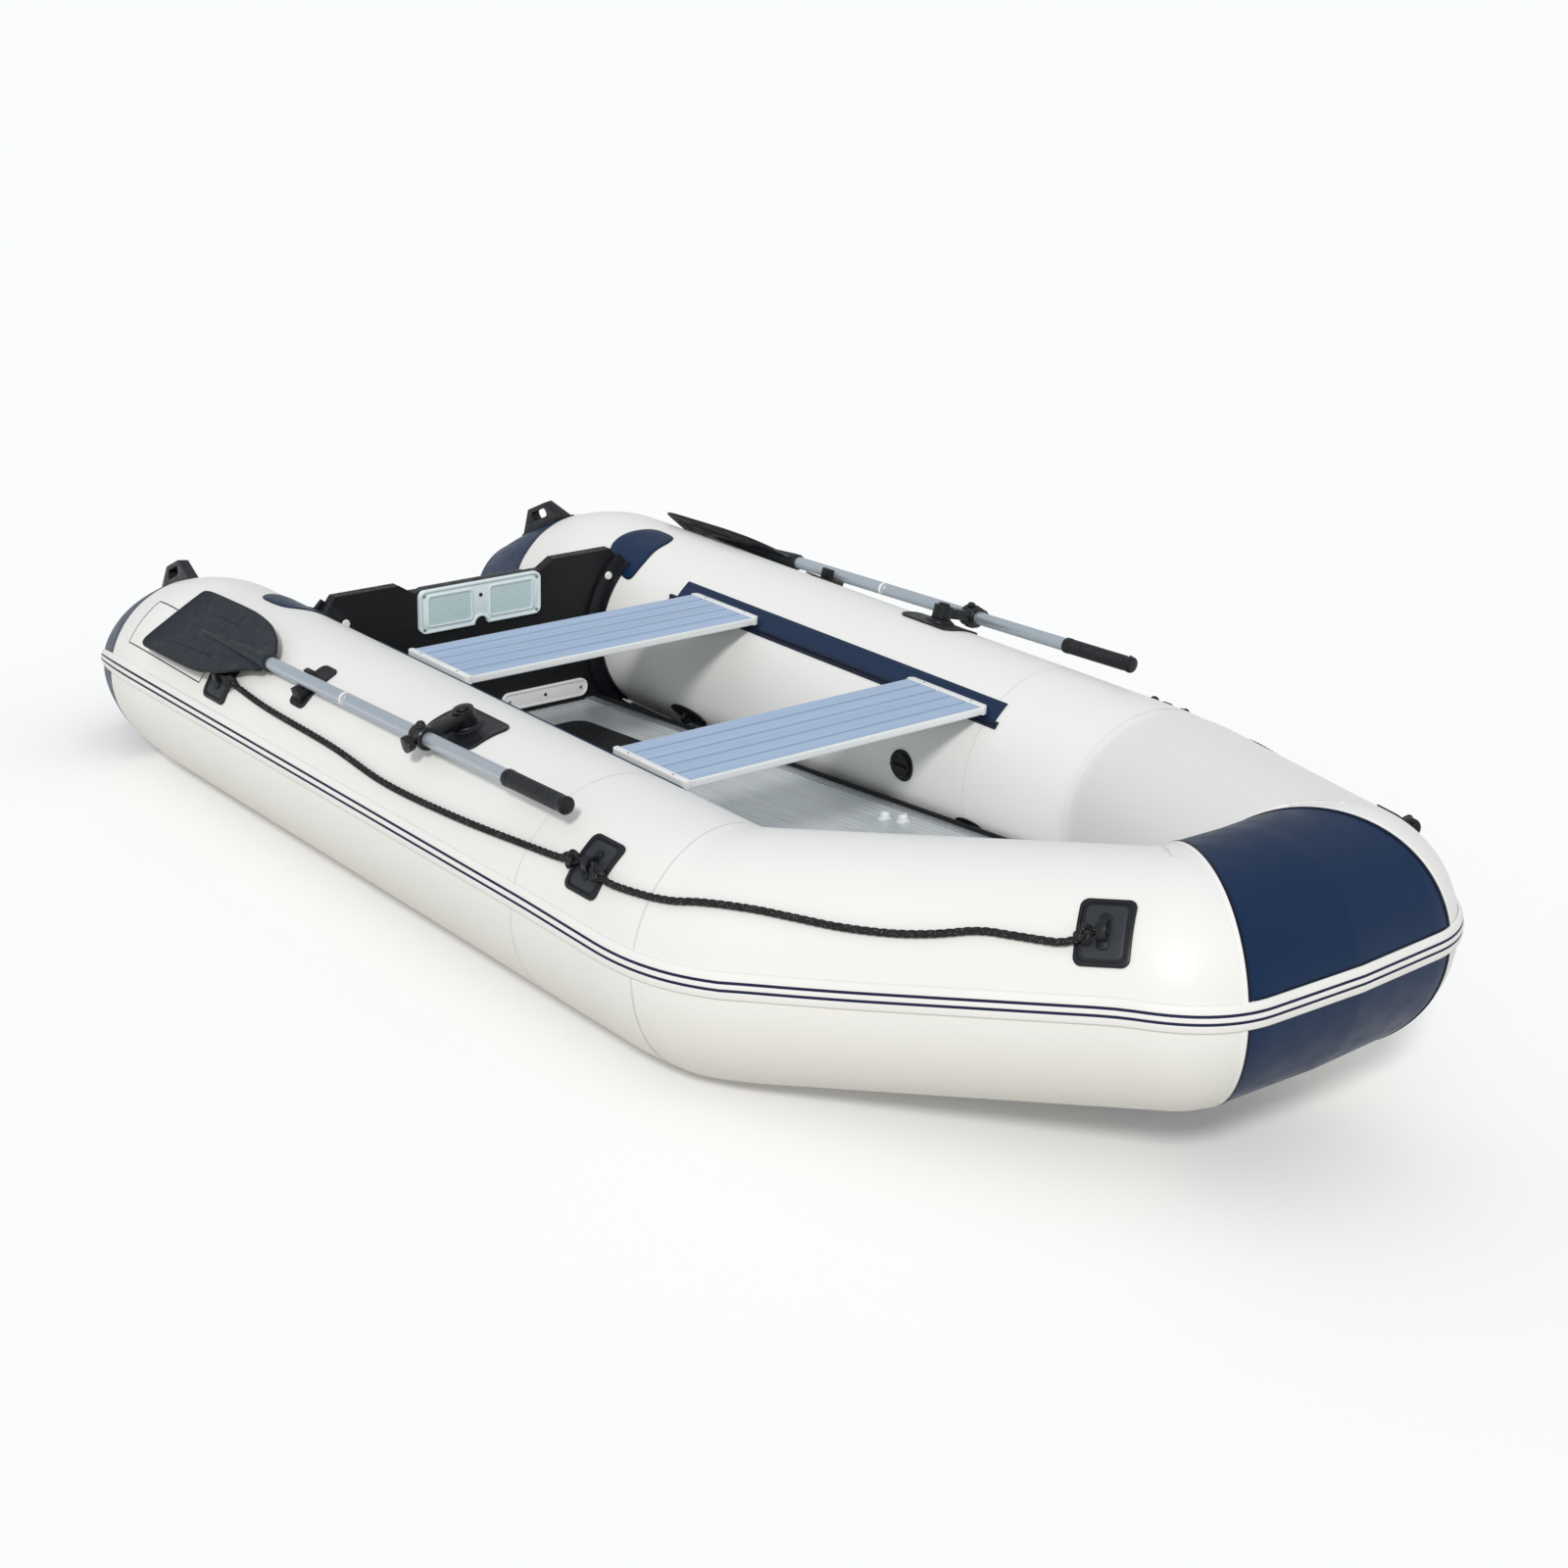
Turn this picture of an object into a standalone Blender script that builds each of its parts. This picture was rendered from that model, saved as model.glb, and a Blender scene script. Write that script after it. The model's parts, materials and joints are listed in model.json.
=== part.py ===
"""Inflatable boat with a transom, an aluminium floor, two bench seats and two oars.

The bow points to +X, port is +Y and +Z is up. The origin is under the middle of the boat, on the
ground that the two tubes lie on. All sizes are metres.
"""

import math

import bmesh
import bpy
from mathutils import Matrix, Vector

# Clearances and the fineness of round pieces
GAP = 0.0003            # between pieces that touch
RUNNING_GAP = 0.00008   # round a pin that turns in its hole
OVERRUN = 0.02          # how far a cutter runs past what it cuts
MERGE = 0.000001        # points closer than this are one
TUBE_SIDES = 48
ROUND_SIDES = 20

# Air tubes, measured along their centrelines
TUBE_RADIUS = 0.218
NOSE_RADIUS = 0.208
TUBE_SPACING = 1.0828
STERN_DOME = 0.035
CONE_LENGTH = 0.4263
CONE_TIP_RADIUS = 0.1234
CONE_TIP_DROP = 0.0675
CONE_TIP_INSET = 0.0271
CONE_CURVE_SHARE = 1.7
STRAIGHT_LENGTH = 1.8146              # from the cone to the corner of the first bend
BOW_LEG_LENGTH = 0.7693
BOW_TURN = math.radians(27.08)
NOSE_HEADING = math.radians(87.15)
BOW_RISE = 0.1194
BEND_RADIUS = 0.358                   # the first bend is an arc, the second a ball-shaped corner
DOME_STEPS = 4
CONE_STEPS = 8
BEND_STEPS = 3
BALL_STEPS = 5
CAP_SEAM_FROM_STERN = 0.276
NOSE_SEAM_OFFSET = 0.040              # from the corner of the second bend to the navy panel's seam
NOSE_SEAM_HEADING = math.radians(65)
NOSE_SEAM_LEAN = math.radians(1.8)    # how far the seam leans back

# Rub strake
STRAKE_WIDTH = 0.046
STRAKE_THICKNESS = 0.008
STRAKE_CHAMFER = 0.003
STRAKE_ANGLE_STERN = math.radians(10.5)
STRAKE_ANGLE_BOW = math.radians(7.8)
STRAKE_START = 0.05
STRAKE_SWAY_LENGTH = 0.60             # the length over which it drops from one angle to the other
STRAKE_STEPS = 4

# Stern handles
HANDLE_FROM_STERN = 0.181
HANDLE_ANGLE = math.radians(97)
HANDLE_LENGTH = 0.172
HANDLE_TOP_LENGTH = 0.075
HANDLE_HEIGHT = 0.052
HANDLE_THICKNESS = 0.024
HANDLE_HOLE_LENGTH = 0.060
HANDLE_HOLE_HEIGHT = 0.022
HANDLE_HOLE_LIFT = 0.019
HANDLE_FOOT_LENGTH = 0.190
HANDLE_FOOT_WIDTH = 0.050
HANDLE_FOOT_THICKNESS = 0.0035
HANDLE_STEPS = 6

# Transom
TRANSOM_FROM_STERN = 0.651            # to the board's forward face
TRANSOM_THICKNESS = 0.027
TRANSOM_BELOW_CROWN = 0.0155          # its top lies this far below the tops of the tubes
TRANSOM_DIP_DEPTH = 0.022
TRANSOM_DIP_HALF_WIDTH = 0.172
TRANSOM_DIP_SLOPE = 0.035
TRANSOM_SHOULDER_WIDTH = 0.026        # its slope beside each tube
TRANSOM_BOTTOM = 0.022
TRANSOM_END_ANGLE = math.radians(131)
HOLDER_START_ANGLE = math.radians(129)
HOLDER_END_ANGLE = math.radians(230)
HOLDER_WIDTH = 0.092
HOLDER_SKIN = 0.004
HOLDER_BASE = 0.006
HOLDER_HEIGHT = 0.030
HOLDER_CHEEK = 0.009
HOLDER_STEPS = 26
BOLT_ANGLE = math.radians(143)
BOLT_LIFT = 0.019
BOLT_RADIUS = 0.004
BOLT_HEAD_RADIUS = 0.010
BOLT_HEAD_HEIGHT = 0.004
BOLT_HEAD_TOP_SHARE = 0.8
MOTOR_PLATE_LENGTH = 0.324
MOTOR_PLATE_HEIGHT = 0.100
MOTOR_PLATE_THICKNESS = 0.012
MOTOR_PLATE_RISE = 0.003              # above the dip
MOTOR_PLATE_CORNER = 0.016
MOTOR_PANEL_LENGTH = 0.112
MOTOR_PANEL_HEIGHT = 0.066
MOTOR_PANEL_DEPTH = 0.003
MOTOR_PANEL_OFFSET = 0.082
MOTOR_NOTCH_RADIUS = 0.018
OUTER_PLATE_LENGTH = 0.300
OUTER_PLATE_HEIGHT = 0.150
OUTER_PLATE_THICKNESS = 0.008
LOWER_PLATE_LENGTH = 0.240
LOWER_PLATE_HEIGHT = 0.043
LOWER_PLATE_THICKNESS = 0.008
LOWER_PLATE_FROM_TUBE = 0.0254
LOWER_PLATE_CORNER = 0.0193
LOWER_PLATE_Z = 0.095
DRAIN_Y = 0.150
DRAIN_Z = 0.075
DRAIN_CAP_RADIUS = 0.024
DRAIN_CAP_HEIGHT = 0.012
DRAIN_SHANK_RADIUS = 0.0155
DRAIN_LUG_WIDTH = 0.008
DRAIN_LUG_HEIGHT = 0.008

# Floor, stringers, keel tube and bottom skin
FLOOR_AFT_HEIGHT = 0.060              # top of the floor where it meets the transom
FLOOR_TILT = math.radians(3.605)      # it rises towards the bow
FLOOR_THICKNESS = 0.012
FLOOR_SIDE_GAP = 0.0054               # from its edge to the tube's inner side, seen from above
FLOOR_BOARD_LENGTH = 0.575
FLOOR_JOINT = 0.0012
FLOOR_SHOULDER_BACK = 0.0722          # its full width ends this far behind the first bend
FLOOR_TIP_BACK = 0.1095               # its tip lies this far behind the nose
FLOOR_BOW_TIP_HALF_WIDTH = 0.120
STRINGER_END_BACK = 0.0746            # behind the first bend
STRINGER_WALL = 0.003
STRINGER_GRIP = 0.022
KEEL_START = 0.09                     # from the transom
KEEL_END_BACK = 0.0827                # behind the floor's tip
KEEL_ROUND = 0.03
KEEL_CLEARANCE = 0.0025
KEEL_STEPS = 5
KEEL_END_SHARES = ((1.0, 0.35), (0.6, 0.75))    # of the rounding's length and of the radius
SKIN_THICKNESS = 0.002
SKIN_DROP = 0.009
SKIN_TOP_ANGLE = math.radians(242)
SKIN_LOW_ANGLE = math.radians(246)
SKIN_CLEARANCE = 0.0006
SKIN_END_BACK = 0.1712                # the skin ends this far behind the second bend

# Seats and the rails that they slide on
RAIL_FROM_STERN = 0.881
RAIL_END_BACK = 0.3099                # behind the first bend
RAIL_OUTBOARD_WIDTH = 0.040           # from the tip of the bench, round the tube
RAIL_INBOARD_WIDTH = 0.021
RAIL_THICKNESS = 0.0025
RAIL_BEAD_FROM_TIP = 0.0095
RAIL_BEAD_RADIUS = 0.004
RAIL_STEPS = 8
SEAT_OVERLAP = 0.0586                 # how far each end lies over its tube
SEAT_WIDTH = 0.225
SEAT_THICKNESS = 0.018
SEAT_GROOVES = 4
SEAT_GROOVE_WIDTH = 0.007
SEAT_GROOVE_DEPTH = 0.0022
SEAT_CAP_LENGTH = 0.016
SEAT_CAP_LIP = 0.0015
SEAT_CAP_CORNER = 0.010
REAR_SEAT_FROM_RAIL_START = 0.202
FRONT_SEAT_FROM_RAIL_END = 0.149

# Oars, oarlocks and oar clips
PIN_FROM_STERN = 1.546
PIN_ANGLE = math.radians(74.5)
OAR_ANGLE = math.radians(53.5)
OAR_LIFT = 0.041                      # shaft centre above the tube at the oarlock
OAR_TILT = math.radians(1.7184)       # the blade lies closer to the tube
SHAFT_RADIUS = 0.014
SHAFT_SIDES = 16
GRIP_END_FROM_PIN = 0.474
GRIP_LENGTH = 0.189
GRIP_RADIUS = 0.0168
GRIP_BORE_DEPTH = 0.100
BLADE_TIP_FROM_PIN = 1.053
BLADE_LENGTH = 0.450
BLADE_WIDTH = 0.180
BLADE_THICKNESS = 0.007
BLADE_SHOULDER = 0.190
BLADE_SLANT = 0.060
BLADE_CORNER = 0.022
# Of the shoulder's length, and of half the width on the blade's outboard and inboard edge.
BLADE_SHOULDER_SHARES = ((0.20, 0.38, 0.62), (0.48, 0.66, 0.86), (0.75, 0.84, 0.95))
BLADE_ROOT_SHARE = 0.8                # of the socket's radius
NECK_LENGTH = 0.015
NECK_RADIUS = 0.0185
NECK_BORE_DEPTH = 0.050
RIB_LENGTH = 0.300
RIB_TIP_RADIUS = 0.0045
LOCK_PATCH_LENGTH = 0.160
LOCK_PATCH_GIRTH = 0.104
LOCK_PATCH_THICKNESS = 0.0035
LOCK_PATCH_CORNER = 0.022
LOCK_BOSS_RADIUS = 0.026
PIN_RADIUS = 0.0070
PIN_HEAD_RADIUS = 0.0130
PIN_HEAD_HEIGHT = 0.0050
PIN_HEAD_TOP_SHARE = 0.7
HUB_RADIUS = 0.0210
HUB_HALF_HEIGHT = 0.0150
ARM_WIDTH = 0.026
ARM_THICKNESS = 0.018
COLLAR_RADIUS = 0.0205
COLLAR_LENGTH = 0.034
KNOB_BOSS_RADIUS = 0.0080
KNOB_BOSS_LENGTH = 0.006
KNOB_RADIUS = 0.0145
KNOB_LENGTH = 0.0130
KNOB_LOBE_RADIUS = 0.0065
KNOB_SHANK_RADIUS = 0.0030
KNOB_SHANK_LENGTH = 0.008
CLIP_FROM_PIN = 0.461
CLIP_ANGLE = math.radians(54)
CLIP_LENGTH = 0.055
CLIP_GIRTH = 0.108
CLIP_CORNER = 0.014
CLIP_BLOCK_LENGTH = 0.030
CLIP_BLOCK_WIDTH = 0.050
CLIP_LUG_WIDTH = 0.012
CLIP_LUG_RISE = 0.024
CLIP_STEPS = 6

# Grab lines and the patches that hold them
PATCH_LENGTH = 0.090
PATCH_GIRTH = 0.110
PATCH_CORNER = 0.014
PATCH_THICKNESS = 0.0035
AFT_PATCH_FROM_STERN = 0.800
AFT_PATCH_ANGLE = math.radians(35.5)            # up the tube from its outboard side
MIDDLE_PATCH_BACK = 0.1699                      # behind the first bend
MIDDLE_PATCH_ANGLE = math.radians(41)
BOW_PATCH_BACK = 0.0544                         # behind the second bend
BOW_PATCH_ANGLE = math.radians(41)
LUG_WIDTH = 0.034
LUG_LENGTH = 0.016
LUG_HEIGHT = 0.020
LUG_HOLE_RADIUS = 0.0063
ROPE_RADIUS = 0.0055
ROPE_LIFT = 0.0016                    # rope above the tube's skin
ROPE_TAIL = 0.011                     # straight part to each side of a lug
ROPE_SPAN_POINTS = 31
ROPE_DROP_START = 0.62                # where it starts down from a patch, in patch lengths
ROPE_DROP_LENGTH = 0.60
ROPE_BEVEL_RESOLUTION = 2
# How a grab line hangs between its patches: share of the span, degrees up the tube
AFT_SPAN = ((0.05, 34.5), (0.16, 32.0), (0.36, 31.0), (0.52, 28.0), (0.70, 30.2), (0.86, 34.5), (0.95, 37.5))
BOW_SPAN = ((0.07, 37.5), (0.18, 40.5), (0.26, 43.2), (0.34, 42.2), (0.43, 39.3), (0.52, 36.4), (0.62, 35.0),
            (0.70, 35.8), (0.78, 38.0), (0.86, 36.4), (0.94, 35.2))

# Small fittings inside
VALVE_FROM_STERN = 1.747
VALVE_ANGLE = math.radians(180)
VALVE_RADIUS = 0.026
VALVE_HEIGHT = 0.009
VALVE_LUG_WIDTH = 0.006
VALVE_LUG_HEIGHT = 0.005
LASHING_FROM_STERN = 0.983
LASHING_ANGLE = math.radians(212)
LASHING_LENGTH = 0.130
LASHING_GIRTH = 0.052
LASHING_CORNER = 0.020
LASHING_LUG_WIDTH = 0.026
LASHING_LUG_LENGTH = 0.010
LASHING_LUG_HEIGHT = 0.020
LASHING_HOLE_RADIUS = 0.0055

# Places that follow from the sizes
HALF_SPACING = TUBE_SPACING / 2
TUBE_CENTRE = TUBE_RADIUS * math.cos(math.pi / TUBE_SIDES)      # the lowest facet lies on the ground
BEND_FROM_STERN = STERN_DOME + CONE_LENGTH + STRAIGHT_LENGTH
NOSE_BEND_Y = HALF_SPACING - BOW_LEG_LENGTH * math.sin(BOW_TURN)
NOSE_LEG_LENGTH = NOSE_BEND_Y / math.sin(NOSE_HEADING)
NOSE_FROM_STERN = (BEND_FROM_STERN + BOW_LEG_LENGTH * math.cos(BOW_TURN)
                   + NOSE_LEG_LENGTH * math.cos(NOSE_HEADING))
OVERALL_LENGTH = NOSE_FROM_STERN + NOSE_RADIUS / math.sin(NOSE_HEADING) + GAP + STRAKE_THICKNESS
BEND_LEAD = BEND_RADIUS * math.tan(BOW_TURN / 2)      # the arc of the first bend starts this far early
BOW_SLOPE = BOW_RISE / (NOSE_FROM_STERN - BEND_FROM_STERN)
STERN_X = -OVERALL_LENGTH / 2
TRANSOM_X = STERN_X + TRANSOM_FROM_STERN
BEND_X = STERN_X + BEND_FROM_STERN
TRANSOM_TOP = TUBE_CENTRE + TUBE_RADIUS - TRANSOM_BELOW_CROWN
TRANSOM_DIP_TOP = TRANSOM_TOP - TRANSOM_DIP_DEPTH
MOTOR_PLATE_TOP = TRANSOM_DIP_TOP + MOTOR_PLATE_RISE
FLOOR_HALF_WIDTH = HALF_SPACING - TUBE_RADIUS - FLOOR_SIDE_GAP
FLOOR_TIP_X = STERN_X + NOSE_FROM_STERN - NOSE_RADIUS - FLOOR_TIP_BACK
SEAT_HALF_LENGTH = HALF_SPACING - TUBE_RADIUS + SEAT_OVERLAP
SEAT_TIP_ANGLE = math.pi - math.acos((HALF_SPACING - SEAT_HALF_LENGTH) / TUBE_RADIUS)
RAIL_OUTER_ANGLE = SEAT_TIP_ANGLE - RAIL_OUTBOARD_WIDTH / TUBE_RADIUS
RAIL_INNER_ANGLE = SEAT_TIP_ANGLE + RAIL_INBOARD_WIDTH / TUBE_RADIUS
RAIL_BEAD_ANGLE = SEAT_TIP_ANGLE + RAIL_BEAD_FROM_TIP / TUBE_RADIUS
RAIL_END_FROM_STERN = BEND_FROM_STERN - RAIL_END_BACK
REAR_SEAT_FROM_STERN = RAIL_FROM_STERN + REAR_SEAT_FROM_RAIL_START
FRONT_SEAT_FROM_STERN = RAIL_END_FROM_STERN - FRONT_SEAT_FROM_RAIL_END
OAR_SLOPE = math.tan(OAR_TILT)
BOW_CORNER_FROM_STERN = BEND_FROM_STERN - 2 * BEND_LEAD + BEND_RADIUS * BOW_TURN + BOW_LEG_LENGTH - 2 * GAP
AFT_PATCH = (AFT_PATCH_FROM_STERN, AFT_PATCH_ANGLE)
MIDDLE_PATCH = (BEND_FROM_STERN - MIDDLE_PATCH_BACK, MIDDLE_PATCH_ANGLE)
BOW_PATCH = (BOW_CORNER_FROM_STERN - BOW_PATCH_BACK, BOW_PATCH_ANGLE)
PORT, STARBOARD = 1, -1
SIDES = ((STARBOARD, "starboard"), (PORT, "port"))

WHITE_FABRIC = ((0.86, 0.86, 0.82), 0.45, 0.0)
NAVY_FABRIC = ((0.020, 0.042, 0.105), 0.45, 0.0)
BLACK_RUBBER = ((0.016, 0.017, 0.020), 0.55, 0.0)
BLACK_PLASTIC = ((0.018, 0.018, 0.020), 0.40, 0.0)
WHITE_PLASTIC = ((0.80, 0.81, 0.80), 0.40, 0.0)
PALE_PLASTIC = ((0.58, 0.69, 0.70), 0.40, 0.0)
ALUMINIUM = ((0.55, 0.62, 0.70), 0.35, 1.0)
BLACK_BOARD = ((0.014, 0.015, 0.017), 0.50, 0.0)
GREY_FABRIC = ((0.30, 0.33, 0.35), 0.55, 0.0)
ROPE_BLACK = ((0.012, 0.012, 0.013), 0.80, 0.0)


# Scene helpers

def clear_scene():
    for thing in list(bpy.context.scene.objects):
        bpy.data.objects.remove(thing, do_unlink=True)


def give_finish(thing, finish):
    colour, roughness, metallic = finish
    material = bpy.data.materials.new(thing.name)
    material.use_nodes = True
    shader = material.node_tree.nodes["Principled BSDF"]
    shader.inputs["Base Color"].default_value = (*colour, 1)
    shader.inputs["Roughness"].default_value = roughness
    shader.inputs["Metallic"].default_value = metallic
    thing.data.materials.append(material)


def add_object(name, shape, finish=None):
    """Turns a bmesh into an object with its faces pointing out."""
    bmesh.ops.remove_doubles(shape, verts=shape.verts, dist=MERGE)
    bmesh.ops.recalc_face_normals(shape, faces=shape.faces)
    mesh = bpy.data.meshes.new(name)
    shape.to_mesh(mesh)
    shape.free()
    mesh.shade_smooth()
    mesh.set_sharp_from_angle(angle=math.radians(35))
    thing = bpy.data.objects.new(name, mesh)
    bpy.context.collection.objects.link(thing)
    if finish:
        give_finish(thing, finish)
    return thing


def as_cutter(thing):
    thing.hide_render = True
    thing.display_type = "WIRE"
    return thing


def combine(thing, other, operation):
    """Adds or cuts another shape, which stays in the file as a guide."""
    modifier = thing.modifiers.new(operation.lower(), "BOOLEAN")
    modifier.operation = operation
    modifier.solver = "EXACT"
    modifier.object = as_cutter(other)


def hang_on(pivot_name, place, things):
    """Parents things to an empty that stands on their joint's axis."""
    pivot = bpy.data.objects.new(pivot_name, None)
    pivot.location = place
    bpy.context.collection.objects.link(pivot)
    for thing in things:
        thing.parent = pivot
        thing.matrix_parent_inverse = Matrix.Translation(place).inverted()


# Shape helpers

def loft(rings):
    """A closed solid through rings of points, with its two ends filled."""
    shape = bmesh.new()
    rows = [[shape.verts.new(point) for point in ring] for ring in rings]
    count = len(rows[0])
    for low, high in zip(rows, rows[1:]):
        for i in range(count):
            j = (i + 1) % count
            shape.faces.new((low[i], low[j], high[j], high[i]))
    shape.faces.new(rows[0])
    shape.faces.new(reversed(rows[-1]))
    return shape


def slab(outline, thickness):
    """A flat plate of an outline in X and Y, from Z = 0 up to its thickness."""
    shape = bmesh.new()
    face = shape.faces.new([shape.verts.new((x, y, 0)) for x, y in outline])
    grown = bmesh.ops.extrude_face_region(shape, geom=[face])["geom"]
    moved = [v for v in grown if isinstance(v, bmesh.types.BMVert)]
    bmesh.ops.translate(shape, verts=moved, vec=(0, 0, thickness))
    return shape


def rounded_outline(length, width, corner, steps=4):
    """A rounded rectangle about the origin."""
    points = []
    for k, (sx, sy) in enumerate(((1, 1), (-1, 1), (-1, -1), (1, -1))):
        cx, cy = sx * (length / 2 - corner), sy * (width / 2 - corner)
        for i in range(steps + 1):
            turn = math.pi / 2 * (k + i / steps)
            points.append((cx + corner * math.cos(turn), cy + corner * math.sin(turn)))
    return points


def circle(radius, sides=ROUND_SIDES):
    return [(radius * math.cos(2 * math.pi * i / sides), radius * math.sin(2 * math.pi * i / sides))
            for i in range(sides)]


def put(shape, frame):
    bmesh.ops.transform(shape, matrix=frame, verts=shape.verts)
    return shape


def frame_of(origin, along, normal):
    """A right-handed frame: X along, Z out."""
    x = Vector(along).normalized()
    z = Vector(normal)
    z = (z - x * z.dot(x)).normalized()
    y = z.cross(x)
    frame = Matrix((x, y, z)).transposed().to_4x4()
    frame.translation = origin
    return frame


def rod(start, end, radius, sides=ROUND_SIDES, end_radius=None):
    """A cylinder or cone between two points."""
    start, end = Vector(start), Vector(end)
    frame = frame_of(start, (end - start).orthogonal(), end - start)
    far = radius if end_radius is None else end_radius
    length = (end - start).length
    rings = [[frame @ Vector((x, y, 0)) for x, y in circle(radius, sides)],
             [frame @ Vector((x, y, length)) for x, y in circle(far, sides)]]
    return loft(rings)


def running_bore(radius):
    """The corner radius of a hole whose flats clear a round pin of this radius."""
    return (radius + RUNNING_GAP) / math.cos(math.pi / ROUND_SIDES)


def smooth_route(points, count):
    """Points at even steps along a Catmull-Rom curve through the given ones."""
    fine = []
    padded = [points[0], *points, points[-1]]
    for a, b, c, d in zip(padded, padded[1:], padded[2:], padded[3:]):
        for i in range(ROUND_SIDES):
            t = i / ROUND_SIDES
            fine.append((b * 2 + (c - a) * t + (a * 2 - b * 5 + c * 4 - d) * t ** 2
                         + (b * 3 - a - c * 3 + d) * t ** 3) / 2)
    fine.append(points[-1])
    travelled = [0.0]
    for a, b in zip(fine, fine[1:]):
        travelled.append(travelled[-1] + (b - a).length)
    route, k = [], 0
    for i in range(count):
        goal = travelled[-1] * i / (count - 1)
        while k < len(fine) - 2 and travelled[k + 1] < goal:
            k += 1
        span = travelled[k + 1] - travelled[k]
        t = (goal - travelled[k]) / span if span else 0
        route.append(fine[k].lerp(fine[k + 1], t))
    return route


# The hull's surface. A station is one ring of the tube: its centre, its radius and the heading of its
# plane. At a corner the outer half of the ring swings round while the inner half stays in the crease.

def rise_at(x):
    return BOW_SLOPE * max(0.0, x - STERN_X - BEND_FROM_STERN)


def station(at, x, y, outer=0.0, inner=None, stretch=1.0, outer_stretch=1.0, slope=0.0):
    rise = rise_at(x)
    radius = TUBE_RADIUS + (NOSE_RADIUS - TUBE_RADIUS) * rise / BOW_RISE
    return {"at": at, "centre": Vector((x, y, TUBE_CENTRE + rise)), "radius": radius,
            "halves": ((outer, outer_stretch), (outer if inner is None else inner, stretch)),
            "slope": slope}


def stern_stations():
    """Rings of the domed tip and the drooping cone."""
    rings = []
    for i in range(1, DOME_STEPS):
        turn = math.pi / 2 * i / DOME_STEPS
        rings.append((STERN_DOME * (1 - math.cos(turn)), 1.0, CONE_TIP_RADIUS * math.sin(turn)))
    for i in range(CONE_STEPS + 1):
        left = (1 - i / CONE_STEPS) ** CONE_CURVE_SHARE
        radius = TUBE_RADIUS - (TUBE_RADIUS - CONE_TIP_RADIUS) * left
        rings.append((STERN_DOME + CONE_LENGTH * i / CONE_STEPS, left, radius))
    stations = []
    for at, left, radius in rings:
        ring = station(at, STERN_X + at, HALF_SPACING - CONE_TIP_INSET * left)
        ring["radius"] = radius
        ring["centre"].z = TUBE_CENTRE - CONE_TIP_DROP * left
        stations.append(ring)
    return stations


def make_stations():
    """The rings from the stern tip to the middle of the nose, port side."""
    rings = stern_stations()
    start = Vector((STERN_X + BEND_FROM_STERN - BEND_LEAD, HALF_SPACING))
    for i in range(BEND_STEPS + 1):
        turn = BOW_TURN * i / BEND_STEPS
        place = start + Vector((math.sin(turn), math.cos(turn) - 1)) * BEND_RADIUS
        at = BEND_FROM_STERN - BEND_LEAD + BEND_RADIUS * turn
        rings.append(station(at, place.x, place.y, turn, slope=BOW_SLOPE * i / BEND_STEPS))
    corner = bow_corner()
    at = rings[-1]["at"] + BOW_LEG_LENGTH - BEND_LEAD
    swing = NOSE_HEADING - BOW_TURN
    crease = (BOW_TURN + NOSE_HEADING) / 2
    for i in range(BALL_STEPS + 1):
        rings.append(station(at, corner.x, corner.y, BOW_TURN + swing * i / BALL_STEPS, crease,
                             1 / math.cos(swing / 2), slope=BOW_SLOPE))
        at += rings[-1]["radius"] * swing / BALL_STEPS
    at = rings[-1]["at"] + NOSE_LEG_LENGTH
    stretch = 1 / math.sin(NOSE_HEADING)
    rings.append(station(at, STERN_X + NOSE_FROM_STERN, 0, math.pi / 2, None, stretch, stretch, BOW_SLOPE))
    return rings


def bow_corner():
    """The corner of the second bend, on the port side."""
    return Vector((STERN_X + BEND_FROM_STERN + BOW_LEG_LENGTH * math.cos(BOW_TURN), NOSE_BEND_Y))


def on_ring(ring, angle, lift=0.0, side=PORT):
    """The point at an angle above the outboard level line, lifted off the skin."""
    reach = (ring["radius"] + lift) * math.cos(angle)
    height = (ring["radius"] + lift) * math.sin(angle)
    plane, stretch = ring["halves"][0 if reach >= 0 else 1]
    slope = ring["slope"] * math.cos(plane)
    upward = Vector((-slope * math.cos(plane), slope * math.sin(plane), 1)).normalized()
    across = Vector((math.sin(plane), math.cos(plane), 0)) * reach * stretch
    point = ring["centre"] + across + upward * height
    return Vector((point.x, point.y * side, point.z))


def on_hull(distance, angle, lift=0.0, side=PORT):
    """The point of the hull at a distance from the stern, measured along the tube's centreline."""
    k = 0
    while k < len(STATIONS) - 2 and STATIONS[k + 1]["at"] < distance:
        k += 1
    low, high = STATIONS[k], STATIONS[k + 1]
    t = (distance - low["at"]) / (high["at"] - low["at"])
    return on_ring(low, angle, lift, side).lerp(on_ring(high, angle, lift, side), t)


def hull_frame(distance, angle, side, lift=0.0):
    """X towards the bow, Z out of the skin."""
    origin = on_hull(distance, angle, lift, side)
    along = on_hull(distance + OVERRUN, angle, lift, side) - on_hull(distance - OVERRUN, angle, lift, side)
    normal = on_hull(distance, angle, lift + OVERRUN, side) - origin
    return frame_of(origin, along, normal)


def facet_angles():
    """The edges between the flat strips that the round tube is made of."""
    turn = 2 * math.pi / TUBE_SIDES
    return [-math.pi / 2 + turn * (i + 0.5) for i in range(TUBE_SIDES)]


def seam_ring(distance, shift, side):
    """The hull's ring at a seam, drawn back along its own leg."""
    ring = min(STATIONS, key=lambda r: abs(r["at"] - distance))
    turn = ring["halves"][0][0]
    step = Vector((math.cos(turn), -math.sin(turn) * side, 0)) * shift
    return [on_hull(distance, angle, 0, side) + step for angle in facet_angles()]


def rings_between(start, end, side):
    return [[on_ring(ring, angle, 0, side) for angle in facet_angles()]
            for ring in STATIONS if start + GAP < ring["at"] < end - GAP]


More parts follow.
